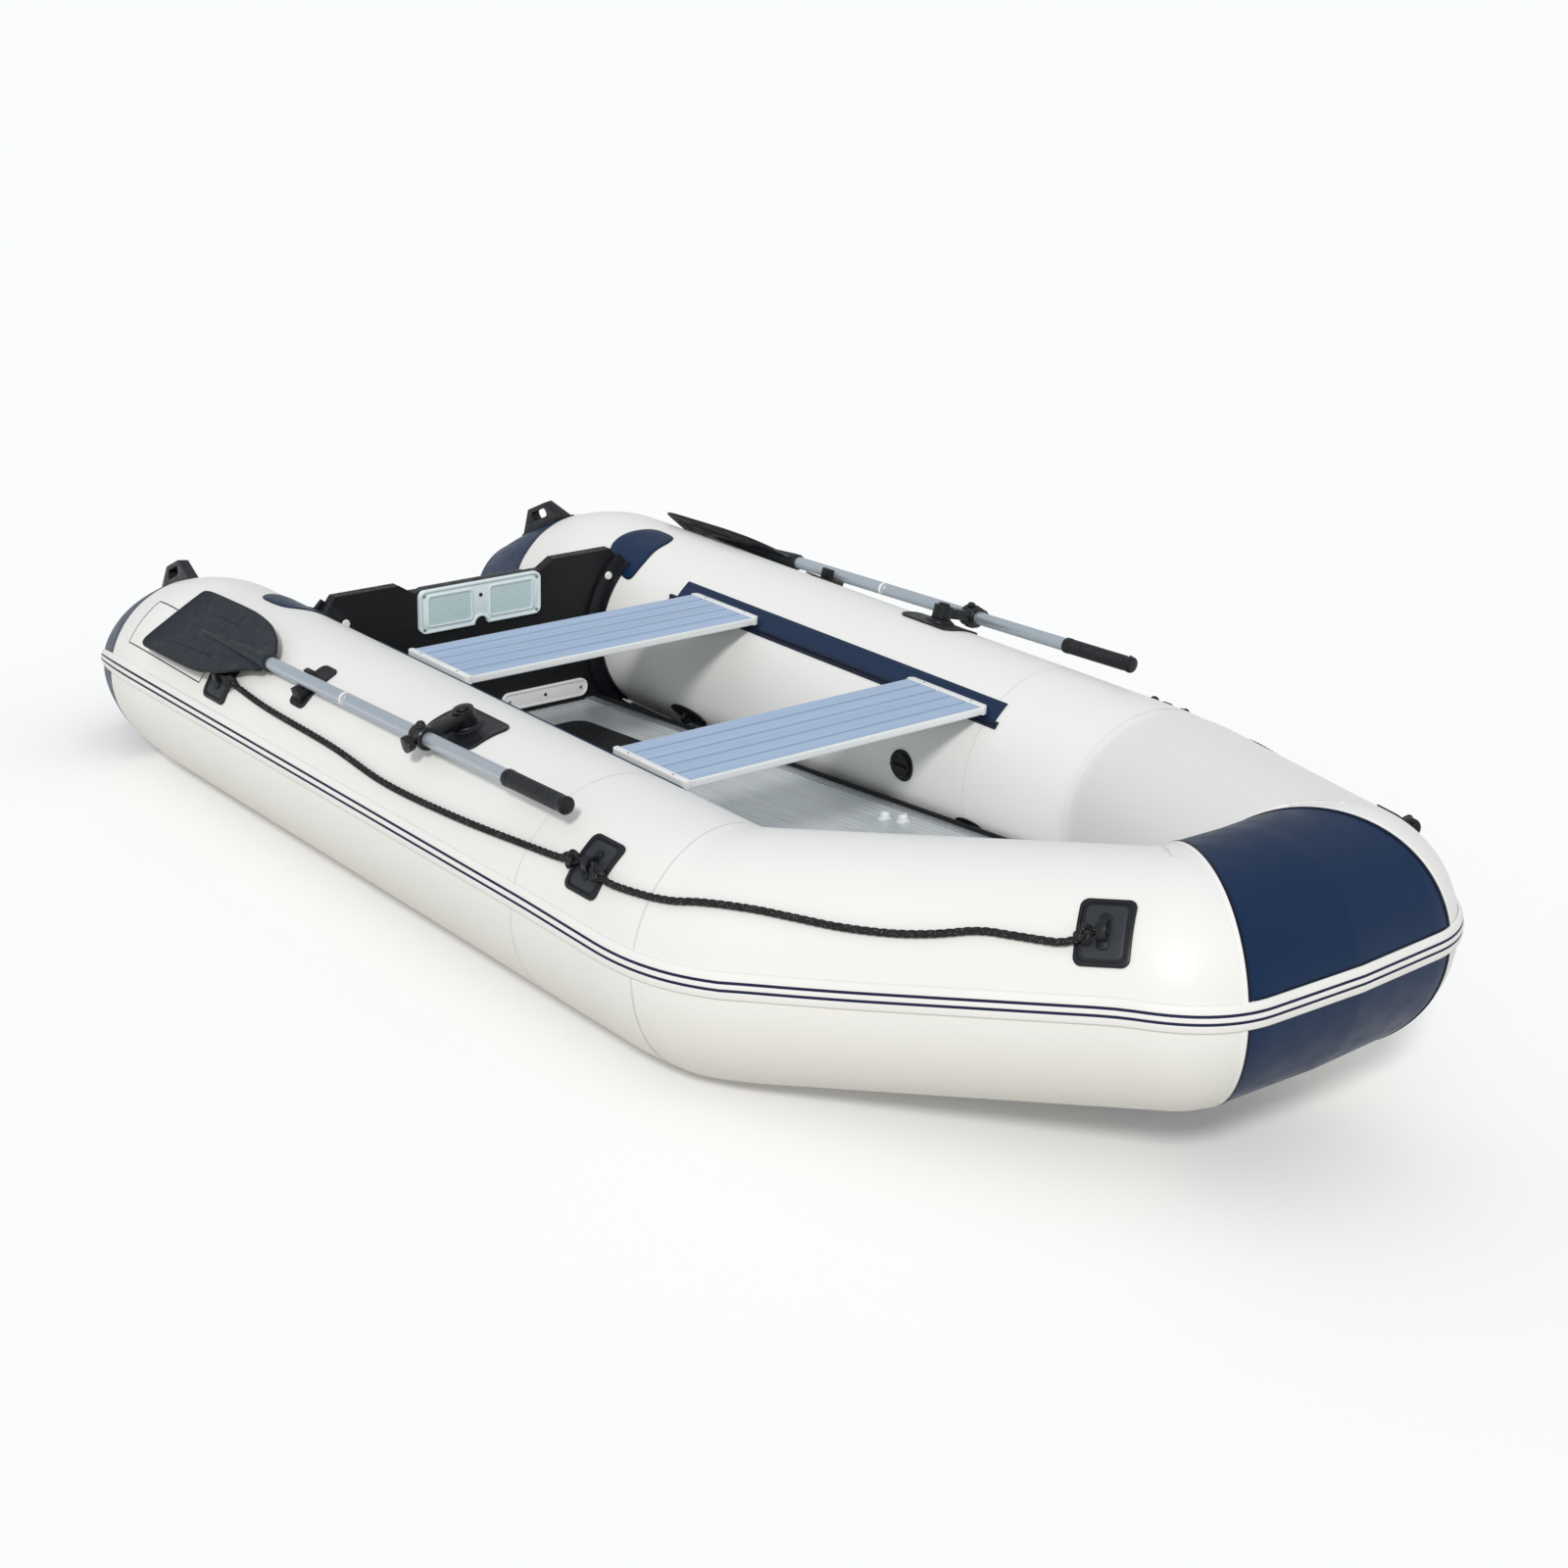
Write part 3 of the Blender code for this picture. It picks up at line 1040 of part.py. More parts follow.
def build_blade(frame, word, x_tip, x_neck):
    """A flat blade that lies square to the tube under it, with a socket and a middle rib."""
    offset, height = shaft_place()
    turn = Matrix.Rotation(-OAR_TILT, 4, "Y") @ Matrix.Rotation(OAR_ANGLE - PIN_ANGLE, 4, "X")
    own = frame @ Matrix.Translation((0, offset, height)) @ turn
    half = BLADE_WIDTH / 2
    start = x_neck - NECK_LENGTH
    root = NECK_RADIUS * BLADE_ROOT_SHARE
    outer = [(start - BLADE_SHOULDER * along, half * wide) for along, wide, _ in BLADE_SHOULDER_SHARES]
    inner = [(start - BLADE_SHOULDER * along, -half * wide) for along, _, wide in BLADE_SHOULDER_SHARES]
    outline = [(start + NECK_LENGTH / 2, -root), (start + NECK_LENGTH / 2, root), *outer,
               (start - BLADE_SHOULDER, half), (x_tip + BLADE_CORNER, half), (x_tip, half - BLADE_CORNER),
               (x_tip + BLADE_SLANT - BLADE_CORNER, -half + BLADE_CORNER / 2),
               (x_tip + BLADE_SLANT + BLADE_CORNER, -half), (start - BLADE_SHOULDER, -half),
               *reversed(inner)]
    plate = slab(outline, BLADE_THICKNESS)
    bmesh.ops.translate(plate, verts=plate.verts, vec=(0, 0, -BLADE_THICKNESS / 2))
    blade = add_object(f"oar_blade_{word}", put(plate, own), BLACK_PLASTIC)
    rings = []
    for x, radius in ((start - RIB_LENGTH, RIB_TIP_RADIUS), (start, NECK_RADIUS), (x_neck, NECK_RADIUS)):
        rings.append([own @ Vector((x, u, v)) for u, v in circle(radius, SHAFT_SIDES)])
    combine(blade, guide(f"{word}_blade_core", loft(rings)), "UNION")
    bore = rod(own @ Vector((x_neck - NECK_BORE_DEPTH, 0, 0)), own @ Vector((x_neck + OVERRUN, 0, 0)),
               SHAFT_RADIUS + GAP, SHAFT_SIDES)
    combine(blade, guide(f"{word}_blade_bore", bore), "DIFFERENCE")
    return blade


def build_swivel(frame, word, offset, height):
    """Hub on the pin, an arm, and the collar that clamps the shaft."""
    def at(x, y, z):
        return frame @ Vector((x, y, z))

    hub = rod(at(0, 0, height - HUB_HALF_HEIGHT), at(0, 0, height + HUB_HALF_HEIGHT), HUB_RADIUS)
    swivel = add_object(f"oarlock_swivel_{word}", hub, BLACK_PLASTIC)
    arm = slab([(-ARM_WIDTH / 2, 0), (ARM_WIDTH / 2, 0), (ARM_WIDTH / 2, offset), (-ARM_WIDTH / 2, offset)],
               ARM_THICKNESS)
    lift = Matrix.Translation((0, 0, height - ARM_THICKNESS / 2))
    combine(swivel, guide(f"{word}_swivel_arm", put(arm, frame @ lift)), "UNION")
    half = COLLAR_LENGTH / 2
    low, high = height - OAR_SLOPE * half, height + OAR_SLOPE * half
    collar = rod(at(-half, offset, low), at(half, offset, high), COLLAR_RADIUS)
    combine(swivel, guide(f"{word}_swivel_collar", collar), "UNION")
    outer = offset + COLLAR_RADIUS + KNOB_BOSS_LENGTH
    boss = rod(at(0, offset, height), at(0, outer, height), KNOB_BOSS_RADIUS)
    combine(swivel, guide(f"{word}_swivel_boss", boss), "UNION")
    pin_hole = rod(at(0, 0, height - HUB_HALF_HEIGHT - OVERRUN), at(0, 0, height + HUB_HALF_HEIGHT + OVERRUN),
                   running_bore(PIN_RADIUS))
    combine(swivel, guide(f"{word}_swivel_pin_hole", pin_hole), "DIFFERENCE")
    reach = half + OVERRUN
    shaft_hole = rod(at(-reach, offset, height - OAR_SLOPE * reach), at(reach, offset, height + OAR_SLOPE * reach),
                     SHAFT_RADIUS + GAP, SHAFT_SIDES)
    combine(swivel, guide(f"{word}_swivel_shaft_hole", shaft_hole), "DIFFERENCE")
    screw_hole = rod(at(0, offset + SHAFT_RADIUS, height), at(0, outer + OVERRUN, height),
                     running_bore(KNOB_SHANK_RADIUS))
    combine(swivel, guide(f"{word}_swivel_screw_hole", screw_hole), "DIFFERENCE")
    return swivel


def build_knob(frame, word, offset, height):
    """A three-lobed clamp knob with its screw."""
    def at(x, y, z):
        return frame @ Vector((x, y, z))

    face = offset + COLLAR_RADIUS + KNOB_BOSS_LENGTH + GAP
    shank = rod(at(0, face - KNOB_SHANK_LENGTH, height), at(0, face + GAP, height), KNOB_SHANK_RADIUS)
    knob = add_object(f"oarlock_knob_{word}", shank, BLACK_PLASTIC)
    outline = []
    for i in range(18):
        turn = 2 * math.pi * i / 18
        size = KNOB_RADIUS - KNOB_LOBE_RADIUS / 2 * (1 - math.cos(3 * turn)) / 2
        outline.append((size * math.cos(turn), size * math.sin(turn)))
    head = slab(outline, KNOB_LENGTH)
    turn = Matrix.Rotation(-math.pi / 2, 4, "X")
    combine(knob, guide(f"{word}_knob_head", put(head, frame @ Matrix.Translation((0, face, height))
                                                       @ turn)), "UNION")
    return knob


def build_oarlock_patch(frame, word, side):
    """A rubber patch with the boss and headed pin that the swivel turns on."""
    _, height = shaft_place()
    outline = rounded_outline(LOCK_PATCH_LENGTH, LOCK_PATCH_GIRTH, LOCK_PATCH_CORNER)
    patch = add_object(f"oarlock_patch_{word}",
                       wrapped(outline, PIN_FROM_STERN, PIN_ANGLE, LOCK_PATCH_THICKNESS, side), BLACK_RUBBER)
    low = TUBE_RADIUS + GAP + LOCK_PATCH_THICKNESS / 3
    boss_top = height - HUB_HALF_HEIGHT - GAP
    head_low = height + HUB_HALF_HEIGHT + GAP

    def at(z):
        return frame @ Vector((0, 0, z))

    boss = rod(at(low), at(boss_top), LOCK_BOSS_RADIUS)
    combine(patch, guide(f"{word}_lock_boss", boss), "UNION")
    pin = rod(at(low), at(head_low + GAP), PIN_RADIUS)
    combine(patch, guide(f"{word}_lock_pin", pin), "UNION")
    head = rod(at(head_low), at(head_low + PIN_HEAD_HEIGHT), PIN_HEAD_RADIUS, ROUND_SIDES,
               PIN_HEAD_RADIUS * PIN_HEAD_TOP_SHARE)
    combine(patch, guide(f"{word}_lock_head", head), "UNION")


def build_oar_clip(frame, word, side, offset, height):
    """A patch with an open saddle: the shaft lies on it and swings off it outboard."""
    outline = rounded_outline(CLIP_LENGTH, CLIP_GIRTH, CLIP_CORNER)
    clip = add_object(f"oar_clip_{word}",
                      wrapped(outline, PIN_FROM_STERN - CLIP_FROM_PIN, CLIP_ANGLE, PATCH_THICKNESS, side), BLACK_RUBBER)
    x = -CLIP_FROM_PIN - CLIP_BLOCK_LENGTH / 2
    floor = height + OAR_SLOPE * x - SHAFT_RADIUS - 2 * GAP
    inner = offset - SHAFT_RADIUS - GAP - CLIP_LUG_WIDTH
    stop = inner + CLIP_LUG_WIDTH
    low = TUBE_RADIUS + GAP + PATCH_THICKNESS / 2
    outer = inner + CLIP_BLOCK_WIDTH
    outline = [(outer, floor), (stop, floor), (stop, floor + CLIP_LUG_RISE), (inner, floor + CLIP_LUG_RISE)]
    for i in range(CLIP_STEPS + 1):
        y = inner + (outer - inner) * i / CLIP_STEPS
        outline.append((y, math.sqrt(low ** 2 - y ** 2)))
    block = slab(outline, CLIP_BLOCK_LENGTH)
    turn = Matrix(((0, 0, 1, x), (1, 0, 0, 0), (0, 1, 0, 0), (0, 0, 0, 1)))
    combine(clip, guide(f"{word}_clip_block", put(block, frame @ turn)), "UNION")


# Grab lines and small fittings

def build_lug_patch(name, side, place, size, lug, hole_radius, hole_lift):
    """A rubber patch with one upright lug, and a hole through it along the hull."""
    distance, angle = place
    length, girth, corner = size
    width, thickness, rise = lug
    patch = add_object(name, wrapped(rounded_outline(length, girth, corner), distance, angle,
                                     PATCH_THICKNESS, side), BLACK_RUBBER)
    frame = hull_frame(distance, angle, side, GAP)
    root = PATCH_THICKNESS / 3
    straight = rise - width / 2
    outline = [(width / 2, root), (width / 2, PATCH_THICKNESS + straight)]
    for i in range(1, 9):
        turn = math.pi * i / 9
        outline.append((width / 2 * math.cos(turn), PATCH_THICKNESS + straight + width / 2 * math.sin(turn)))
    outline += [(-width / 2, PATCH_THICKNESS + straight), (-width / 2, root)]
    block = slab(outline, thickness)
    turn = Matrix(((0, 0, 1, -thickness / 2), (1, 0, 0, 0), (0, 1, 0, 0), (0, 0, 0, 1)))
    combine(patch, guide(f"{name}_lug", put(block, frame @ turn)), "UNION")
    hole = rod(frame @ Vector((-thickness, 0, hole_lift)), frame @ Vector((thickness, 0, hole_lift)),
               hole_radius)
    combine(patch, guide(f"{name}_hole", hole), "DIFFERENCE")
    return patch


def rope_height():
    """Rope centre over the skin where it crosses a patch."""
    return GAP + PATCH_THICKNESS + GAP + LUG_HOLE_RADIUS


def rope_route(side):
    """The rope lies along the tube, climbs over each patch and runs straight through its lug."""
    route = []
    patches = (AFT_PATCH, MIDDLE_PATCH, BOW_PATCH)
    for start, end, span in zip(patches, patches[1:], (AFT_SPAN, BOW_SPAN)):
        points = [(start[0] + ROPE_TAIL, start[1])]
        points += [(start[0] + (end[0] - start[0]) * share, math.radians(degrees)) for share, degrees in span]
        points.append((end[0] - ROPE_TAIL, end[1]))
        if not route:
            route.append((start[0] - ROPE_TAIL, start[1]))
        line = smooth_route([Vector((place, angle * TUBE_RADIUS, 0)) for place, angle in points],
                            ROPE_SPAN_POINTS)
        route += [(point.x, point.y / TUBE_RADIUS) for point in line]
    route.append((BOW_PATCH[0] + ROPE_TAIL, BOW_PATCH[1]))
    low, high = ROPE_RADIUS + ROPE_LIFT, rope_height()
    places = []
    for place, angle in route:
        near = min(abs(place - patch[0]) for patch in patches)
        share = min(1.0, max(0.0, near / PATCH_LENGTH - ROPE_DROP_START) / ROPE_DROP_LENGTH)
        places.append(on_hull(place, angle, high + (low - high) * share, side))
    return places


def build_grab_lines():
    lug = (LUG_WIDTH, LUG_LENGTH, LUG_HEIGHT)
    size = (PATCH_LENGTH, PATCH_GIRTH, PATCH_CORNER)
    for side, word in SIDES:
        for name, place in (("aft", AFT_PATCH), ("middle", MIDDLE_PATCH), ("bow", BOW_PATCH)):
            build_lug_patch(f"grab_patch_{name}_{word}", side, place, size, lug, LUG_HOLE_RADIUS,
                            rope_height() - GAP)
        curve = bpy.data.curves.new(f"grab_line_{word}", "CURVE")
        curve.dimensions = "3D"
        curve.bevel_depth = ROPE_RADIUS
        curve.bevel_resolution = ROPE_BEVEL_RESOLUTION
        curve.use_fill_caps = True
        line = curve.splines.new("POLY")
        route = rope_route(side)
        line.points.add(len(route) - 1)
        for point, place in zip(line.points, route):
            point.co = (*place, 1)
        rope = bpy.data.objects.new(f"grab_line_{word}", curve)
        bpy.context.collection.objects.link(rope)
        give_finish(rope, ROPE_BLACK)


def build_inner_fittings():
    lug = (LASHING_LUG_WIDTH, LASHING_LUG_LENGTH, LASHING_LUG_HEIGHT)
    size = (LASHING_LENGTH, LASHING_GIRTH, LASHING_CORNER)
    lift = PATCH_THICKNESS + LASHING_HOLE_RADIUS + 2 * GAP
    for side, word in SIDES:
        build_lug_patch(f"lashing_patch_{word}", side, (LASHING_FROM_STERN, LASHING_ANGLE), size, lug,
                        LASHING_HOLE_RADIUS, lift)
        frame = hull_frame(VALVE_FROM_STERN, VALVE_ANGLE, side, TUBE_CENTRE - TUBE_RADIUS + GAP)
        cap = add_object(f"valve_cap_{word}", put(slab(circle(VALVE_RADIUS, 24), VALVE_HEIGHT), frame),
                         BLACK_PLASTIC)
        bar = slab(rounded_outline(2 * VALVE_RADIUS - VALVE_LUG_WIDTH, VALVE_LUG_WIDTH, VALVE_LUG_WIDTH / 3),
                   VALVE_LUG_HEIGHT + GAP)
        lifted = frame @ Matrix.Translation((0, 0, VALVE_HEIGHT - GAP))
        combine(cap, guide(f"{word}_valve_bar", put(bar, lifted)), "UNION")
        hang_on(f"valve_turn_{word}", frame.translation, [cap])


clear_scene()
STATIONS = make_stations()
build_tubes()
build_rub_strake()
build_stern_handles()
build_transom()
build_floor()
build_bottom()
build_seats()
build_oars()
build_grab_lines()
build_inner_fittings()
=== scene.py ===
"""Looks of the inflatable boat: fabric tubes with their seams, trim and fittings, benches, floor and oars.

Every place here is in the frame of the CAD model: the bow points to +X, port is +Y and Z is up.
Angles on a tube count up from its outboard side, and distances run along it from the stern tip.
Lengths are in metres.
"""

import json
import math

import bmesh
import bpy
from mathutils import Matrix, Vector, noise


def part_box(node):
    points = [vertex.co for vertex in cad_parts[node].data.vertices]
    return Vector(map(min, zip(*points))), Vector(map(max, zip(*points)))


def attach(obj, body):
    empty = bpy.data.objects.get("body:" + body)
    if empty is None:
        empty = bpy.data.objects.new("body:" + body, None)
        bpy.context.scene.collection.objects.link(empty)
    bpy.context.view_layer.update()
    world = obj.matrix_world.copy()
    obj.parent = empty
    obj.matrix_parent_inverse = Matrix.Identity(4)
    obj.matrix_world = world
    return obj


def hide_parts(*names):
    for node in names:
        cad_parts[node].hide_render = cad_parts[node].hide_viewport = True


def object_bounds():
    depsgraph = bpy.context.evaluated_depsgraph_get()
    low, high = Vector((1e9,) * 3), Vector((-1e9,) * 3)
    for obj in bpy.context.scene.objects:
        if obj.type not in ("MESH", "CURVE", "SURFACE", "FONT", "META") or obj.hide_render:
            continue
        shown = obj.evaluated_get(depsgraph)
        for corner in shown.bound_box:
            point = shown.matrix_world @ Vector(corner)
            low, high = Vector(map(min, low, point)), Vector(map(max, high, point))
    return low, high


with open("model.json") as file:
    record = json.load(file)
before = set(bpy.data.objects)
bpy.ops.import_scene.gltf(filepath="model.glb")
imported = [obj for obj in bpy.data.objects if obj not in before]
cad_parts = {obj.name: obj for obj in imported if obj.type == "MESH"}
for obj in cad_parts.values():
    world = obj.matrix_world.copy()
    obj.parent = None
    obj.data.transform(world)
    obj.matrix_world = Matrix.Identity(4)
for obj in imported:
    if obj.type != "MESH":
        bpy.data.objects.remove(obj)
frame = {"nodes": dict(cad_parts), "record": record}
CAD_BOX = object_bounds()
scene = bpy.context.scene
SIDES = ((-1, "starboard"), (1, "port"))


# Camera
# It stands two metres up, off the starboard bow, and repeats the photograph's place, turn and lens.

YAW, PITCH, ROLL = 2.4457, 0.3592, 0.0323
CAMERA_PLACE = (3.7467, -2.9927, 2.0020)
SENSOR_WIDTH, PHOTO_WIDTH, FOCAL_PIXELS = 36.0, 1600, 2571.88
ahead = Vector((math.cos(PITCH) * math.cos(YAW), math.cos(PITCH) * math.sin(YAW), -math.sin(PITCH)))
right = Vector((math.sin(YAW), -math.cos(YAW), 0))
up = right.cross(ahead)
turned_right = math.cos(ROLL) * right + math.sin(ROLL) * up
turned_up = math.cos(ROLL) * up - math.sin(ROLL) * right
lens = bpy.data.cameras.new("camera")
lens.sensor_width = SENSOR_WIDTH
lens.lens = SENSOR_WIDTH * FOCAL_PIXELS / PHOTO_WIDTH
lens.clip_end = 100
camera = bpy.data.objects.new("camera", lens)
scene.collection.objects.link(camera)
camera.matrix_world = (Matrix.Translation(CAMERA_PLACE)
                       @ Matrix((turned_right, turned_up, -ahead)).transposed().to_4x4())
scene.camera = camera


# Grab lines
# One black laid rope on each side runs through the eyes of three rubber lugs, knotted beside them. It lies
# on the tube, so the tube's shape comes first: rings of fabric from the stern tip, round the bend and up
# the bow to the middle of the nose, as in the CAD source but with finer steps.

TUBE_RADIUS, NOSE_RADIUS, TUBE_SPACING, TUBE_SIDES = 0.218, 0.208, 1.0828, 48
STERN_DOME, CONE_LENGTH, CONE_TIP_RADIUS = 0.035, 0.4263, 0.1234
CONE_TIP_DROP, CONE_TIP_INSET, CONE_CURVE = 0.0675, 0.0271, 1.7
STRAIGHT_LENGTH, BOW_LEG_LENGTH, BEND_RADIUS = 1.8146, 0.7693, 0.358
BOW_TURN, NOSE_HEADING, BOW_RISE, NOSE_LEAD = math.radians(27.08), math.radians(87.15), 0.1194, 0.0083
DOME_RINGS, CONE_RINGS, STRAIGHT_RINGS, BEND_RINGS = 9, 28, 60, 12
LEG_RINGS, CORNER_RINGS, NOSE_RINGS = 24, 20, 8
HALF_SPACING = TUBE_SPACING / 2
TUBE_CENTRE = TUBE_RADIUS * math.cos(math.pi / TUBE_SIDES)
BEND = STERN_DOME + CONE_LENGTH + STRAIGHT_LENGTH
NOSE_BEND_Y = HALF_SPACING - BOW_LEG_LENGTH * math.sin(BOW_TURN)
NOSE_LEG_LENGTH = NOSE_BEND_Y / math.sin(NOSE_HEADING)
NOSE_AT = BEND + BOW_LEG_LENGTH * math.cos(BOW_TURN) + NOSE_LEG_LENGTH * math.cos(NOSE_HEADING)
STERN_X = -(NOSE_AT + NOSE_RADIUS / math.sin(NOSE_HEADING) + NOSE_LEAD) / 2
BEND_LEAD = BEND_RADIUS * math.tan(BOW_TURN / 2)
BOW_SLOPE = BOW_RISE / (NOSE_AT - BEND)
CORNER = Vector((STERN_X + BEND + BOW_LEG_LENGTH * math.cos(BOW_TURN), NOSE_BEND_Y))


def station(at, x, y, outer=0.0, inner=None, stretch=1.0, outer_stretch=1.0, slope=0.0):
    """One ring of the port tube. Its outboard and inboard halves can lie in planes of their own."""
    rise = BOW_SLOPE * max(0.0, x - STERN_X - BEND)
    radius = TUBE_RADIUS + (NOSE_RADIUS - TUBE_RADIUS) * rise / BOW_RISE
    return {"at": at, "centre": Vector((x, y, TUBE_CENTRE + rise)), "radius": radius,
            "halves": ((outer, outer_stretch), (outer if inner is None else inner, stretch)), "slope": slope}


def stern_rings():
    """The domed tip and the cone, which narrows, drops and leans outboard towards the tip."""
    rings = []
    for i in range(1, DOME_RINGS):
        turn = math.pi / 2 * i / DOME_RINGS
        rings.append((STERN_DOME * (1 - math.cos(turn)), 1.0, CONE_TIP_RADIUS * math.sin(turn)))
    for i in range(CONE_RINGS + 1):
        left = (1 - i / CONE_RINGS) ** CONE_CURVE
        radius = TUBE_RADIUS - (TUBE_RADIUS - CONE_TIP_RADIUS) * left
        rings.append((STERN_DOME + CONE_LENGTH * i / CONE_RINGS, left, radius))
    made = []
    for at, left, radius in rings:
        ring = station(at, STERN_X + at, HALF_SPACING - CONE_TIP_INSET * left)
        ring["radius"], ring["centre"].z = radius, TUBE_CENTRE - CONE_TIP_DROP * left
        made.append(ring)
    return made


def part_way(a, b, t):
    return [a[k] + (b[k] - a[k]) * t for k in (0, 1)]


def tube_rings():
    """The port tube's rings: stern, straight stretch, bend, bow leg, corner and on to the nose's middle."""
    made = stern_rings()
    aft, fore = made[-1]["at"], BEND - BEND_LEAD
    for i in range(1, STRAIGHT_RINGS):
        at = aft + (fore - aft) * i / STRAIGHT_RINGS
        made.append(station(at, STERN_X + at, HALF_SPACING))
    start = Vector((STERN_X + fore, HALF_SPACING))
    for i in range(BEND_RINGS + 1):
        turn = BOW_TURN * i / BEND_RINGS
        place = start + Vector((math.sin(turn), math.cos(turn) - 1)) * BEND_RADIUS
        made.append(station(fore + BEND_RADIUS * turn, *place, turn, slope=BOW_SLOPE * i / BEND_RINGS))
    first, low = made[-1]["at"], made[-1]["centre"].to_2d()
    span = BOW_LEG_LENGTH - BEND_LEAD
    for i in range(1, LEG_RINGS):
        t = i / LEG_RINGS
        made.append(station(first + span * t, *part_way(low, CORNER, t), BOW_TURN, slope=BOW_SLOPE))
    swing, crease = NOSE_HEADING - BOW_TURN, (BOW_TURN + NOSE_HEADING) / 2
    at = first + span
    for i in range(CORNER_RINGS + 1):
        heading = BOW_TURN + swing * i / CORNER_RINGS
        made.append(station(at, *CORNER, heading, crease, 1 / math.cos(swing / 2), slope=BOW_SLOPE))
        at += made[-1]["radius"] * swing / CORNER_RINGS
    last, end = made[-1]["at"], Vector((STERN_X + NOSE_AT, 0))
    for i in range(1, NOSE_RINGS + 1):
        t = i / NOSE_RINGS
        heading = NOSE_HEADING + (math.pi / 2 - NOSE_HEADING) * t
        wide = 1 + (1 / math.sin(NOSE_HEADING) - 1) * t
        place = part_way(CORNER, end, t)
        made.append(station(last + NOSE_LEG_LENGTH * t, *place, heading, None, wide, wide, BOW_SLOPE))
    return made


STATIONS = tube_rings()
LAST = STATIONS[-1]["at"]


def on_ring(ring, angle, lift=0.0, side=1):
    """The place at an angle round one ring, or a lift above it."""
    reach = (ring["radius"] + lift) * math.cos(angle)
    height = (ring["radius"] + lift) * math.sin(angle)
    plane, stretch = ring["halves"][0 if reach >= 0 else 1]
    slope = ring["slope"] * math.cos(plane)
    upward = Vector((-slope * math.cos(plane), slope * math.sin(plane), 1)).normalized()
    point = ring["centre"] + Vector((math.sin(plane), math.cos(plane), 0)) * reach * stretch + upward * height
    return Vector((point.x, point.y * side, point.z))


def on_hull(distance, angle, lift=0.0, side=1):
    """The place on the fabric at a distance and an angle, or a lift above it."""
    low, high = 0, len(STATIONS) - 1
    while high - low > 1:
        k = (low + high) // 2
        if STATIONS[k]["at"] < distance:
            low = k
        else:
            high = k
    a, b = STATIONS[low], STATIONS[high]
    t = (distance - a["at"]) / (b["at"] - a["at"])
    return on_ring(a, angle, lift, side).lerp(on_ring(b, angle, lift, side), t)


def frame_of(origin, along, normal):
    """A frame at a place, with X along one direction and Z near another."""
    x = Vector(along).normalized()
    z = Vector(normal)
    z = (z - x * z.dot(x)).normalized()
    made = Matrix((x, z.cross(x), z)).transposed().to_4x4()
    made.translation = origin
    return made


class Shade:
    """A socket of a node tree. A product adds its Math node, and every other node comes from node()."""

    def __init__(self, tree, socket=None):
        self.tree, self.socket = tree, socket

    def feed(self, entry, value):
        if isinstance(value, Shade):
            self.tree.links.new(value.socket, entry)
        else:
            entry.default_value = value

    def node(self, kind, output, settings, values):
        made = self.tree.nodes.new(f"ShaderNode{kind}")
        for name, setting in settings.items():
            setattr(made, name, setting)
        for name, value in values.items():
            self.feed(made.inputs[name], value)
        return Shade(self.tree, made.outputs[output])

    def __mul__(self, other):
        return self.node("Math", 0, {"operation": "MULTIPLY"}, {0: self, 1: other})

    __rmul__ = __mul__


def blank(name):
    made = bpy.data.materials.new(name)
    made.use_nodes = True
    return made, Shade(made.node_tree)


def filled(made, values):
    """Feeds the sockets of a material's shader."""
    shader = made.node_tree.nodes["Principled BSDF"]
    for name, value in values.items():
        Shade(made.node_tree).feed(shader.inputs[name], value)
    return made


def coordinates(tree, scale=(1, 1, 1), hull=False):
    """Object places in metres, or places along and round the hull."""
    if hull:
        along, around = (tree.node("Attribute", "Fac", {"attribute_name": word}, {})
                         for word in ("along", "around"))
        place = tree.node("CombineXYZ", 0, {}, {0: along, 1: around})
    else:
        place = tree.node("TexCoord", "Object", {}, {})
    return tree.node("Mapping", "Vector", {}, {"Scale": scale, "Vector": place})


def texture(where, scale, detail=3.0, rough=0.5):
    values = {"Scale": scale, "Detail": detail, "Roughness": rough, "Vector": where}
    return where.node("TexNoise", "Fac", {}, values)


def ranged(value, low, high, start=0.3, end=0.7):
    values = {"From Min": start, "From Max": end, "To Min": low, "To Max": high, "Value": value}
    return value.node("MapRange", "Result", {}, values)


def mixed(share, a, b):
    a, b = (colour if isinstance(colour, Shade) else (*colour, 1) for colour in (a, b))
    return share.node("Mix", 2, {"data_type": "RGBA"}, {0: share, 6: a, 7: b})


def bumped(height, strength, distance, before=None):
    values = {"Strength": strength, "Distance": distance, "Height": height}
    return height.node("Bump", "Normal", {}, values | ({"Normal": before} if before else {}))


def darker(colour, share):
    return tuple(c * share for c in colour)


def laid_rope(name, dark, light):
    """Twisted yarn, dark with a few pale specks between the strands."""
    made, tree = blank(name)
    where = coordinates(tree)
    specks = texture(where, 420, 2)
    tone = mixed(ranged(specks, 0, 0.8, 0.60, 0.66), dark, light)
    worn = ranged(texture(where, 60, 3), 0, 0.4)
    return filled(made, {"Base Color": mixed(worn, tone, darker(dark, 0.5)),
                         "Roughness": ranged(specks, 0.55, 0.8),
                         "Specular IOR Level": 0.3, "Normal": bumped(texture(where, 900, 4, 0.6), 0.6,
                                                                     0.0006)})


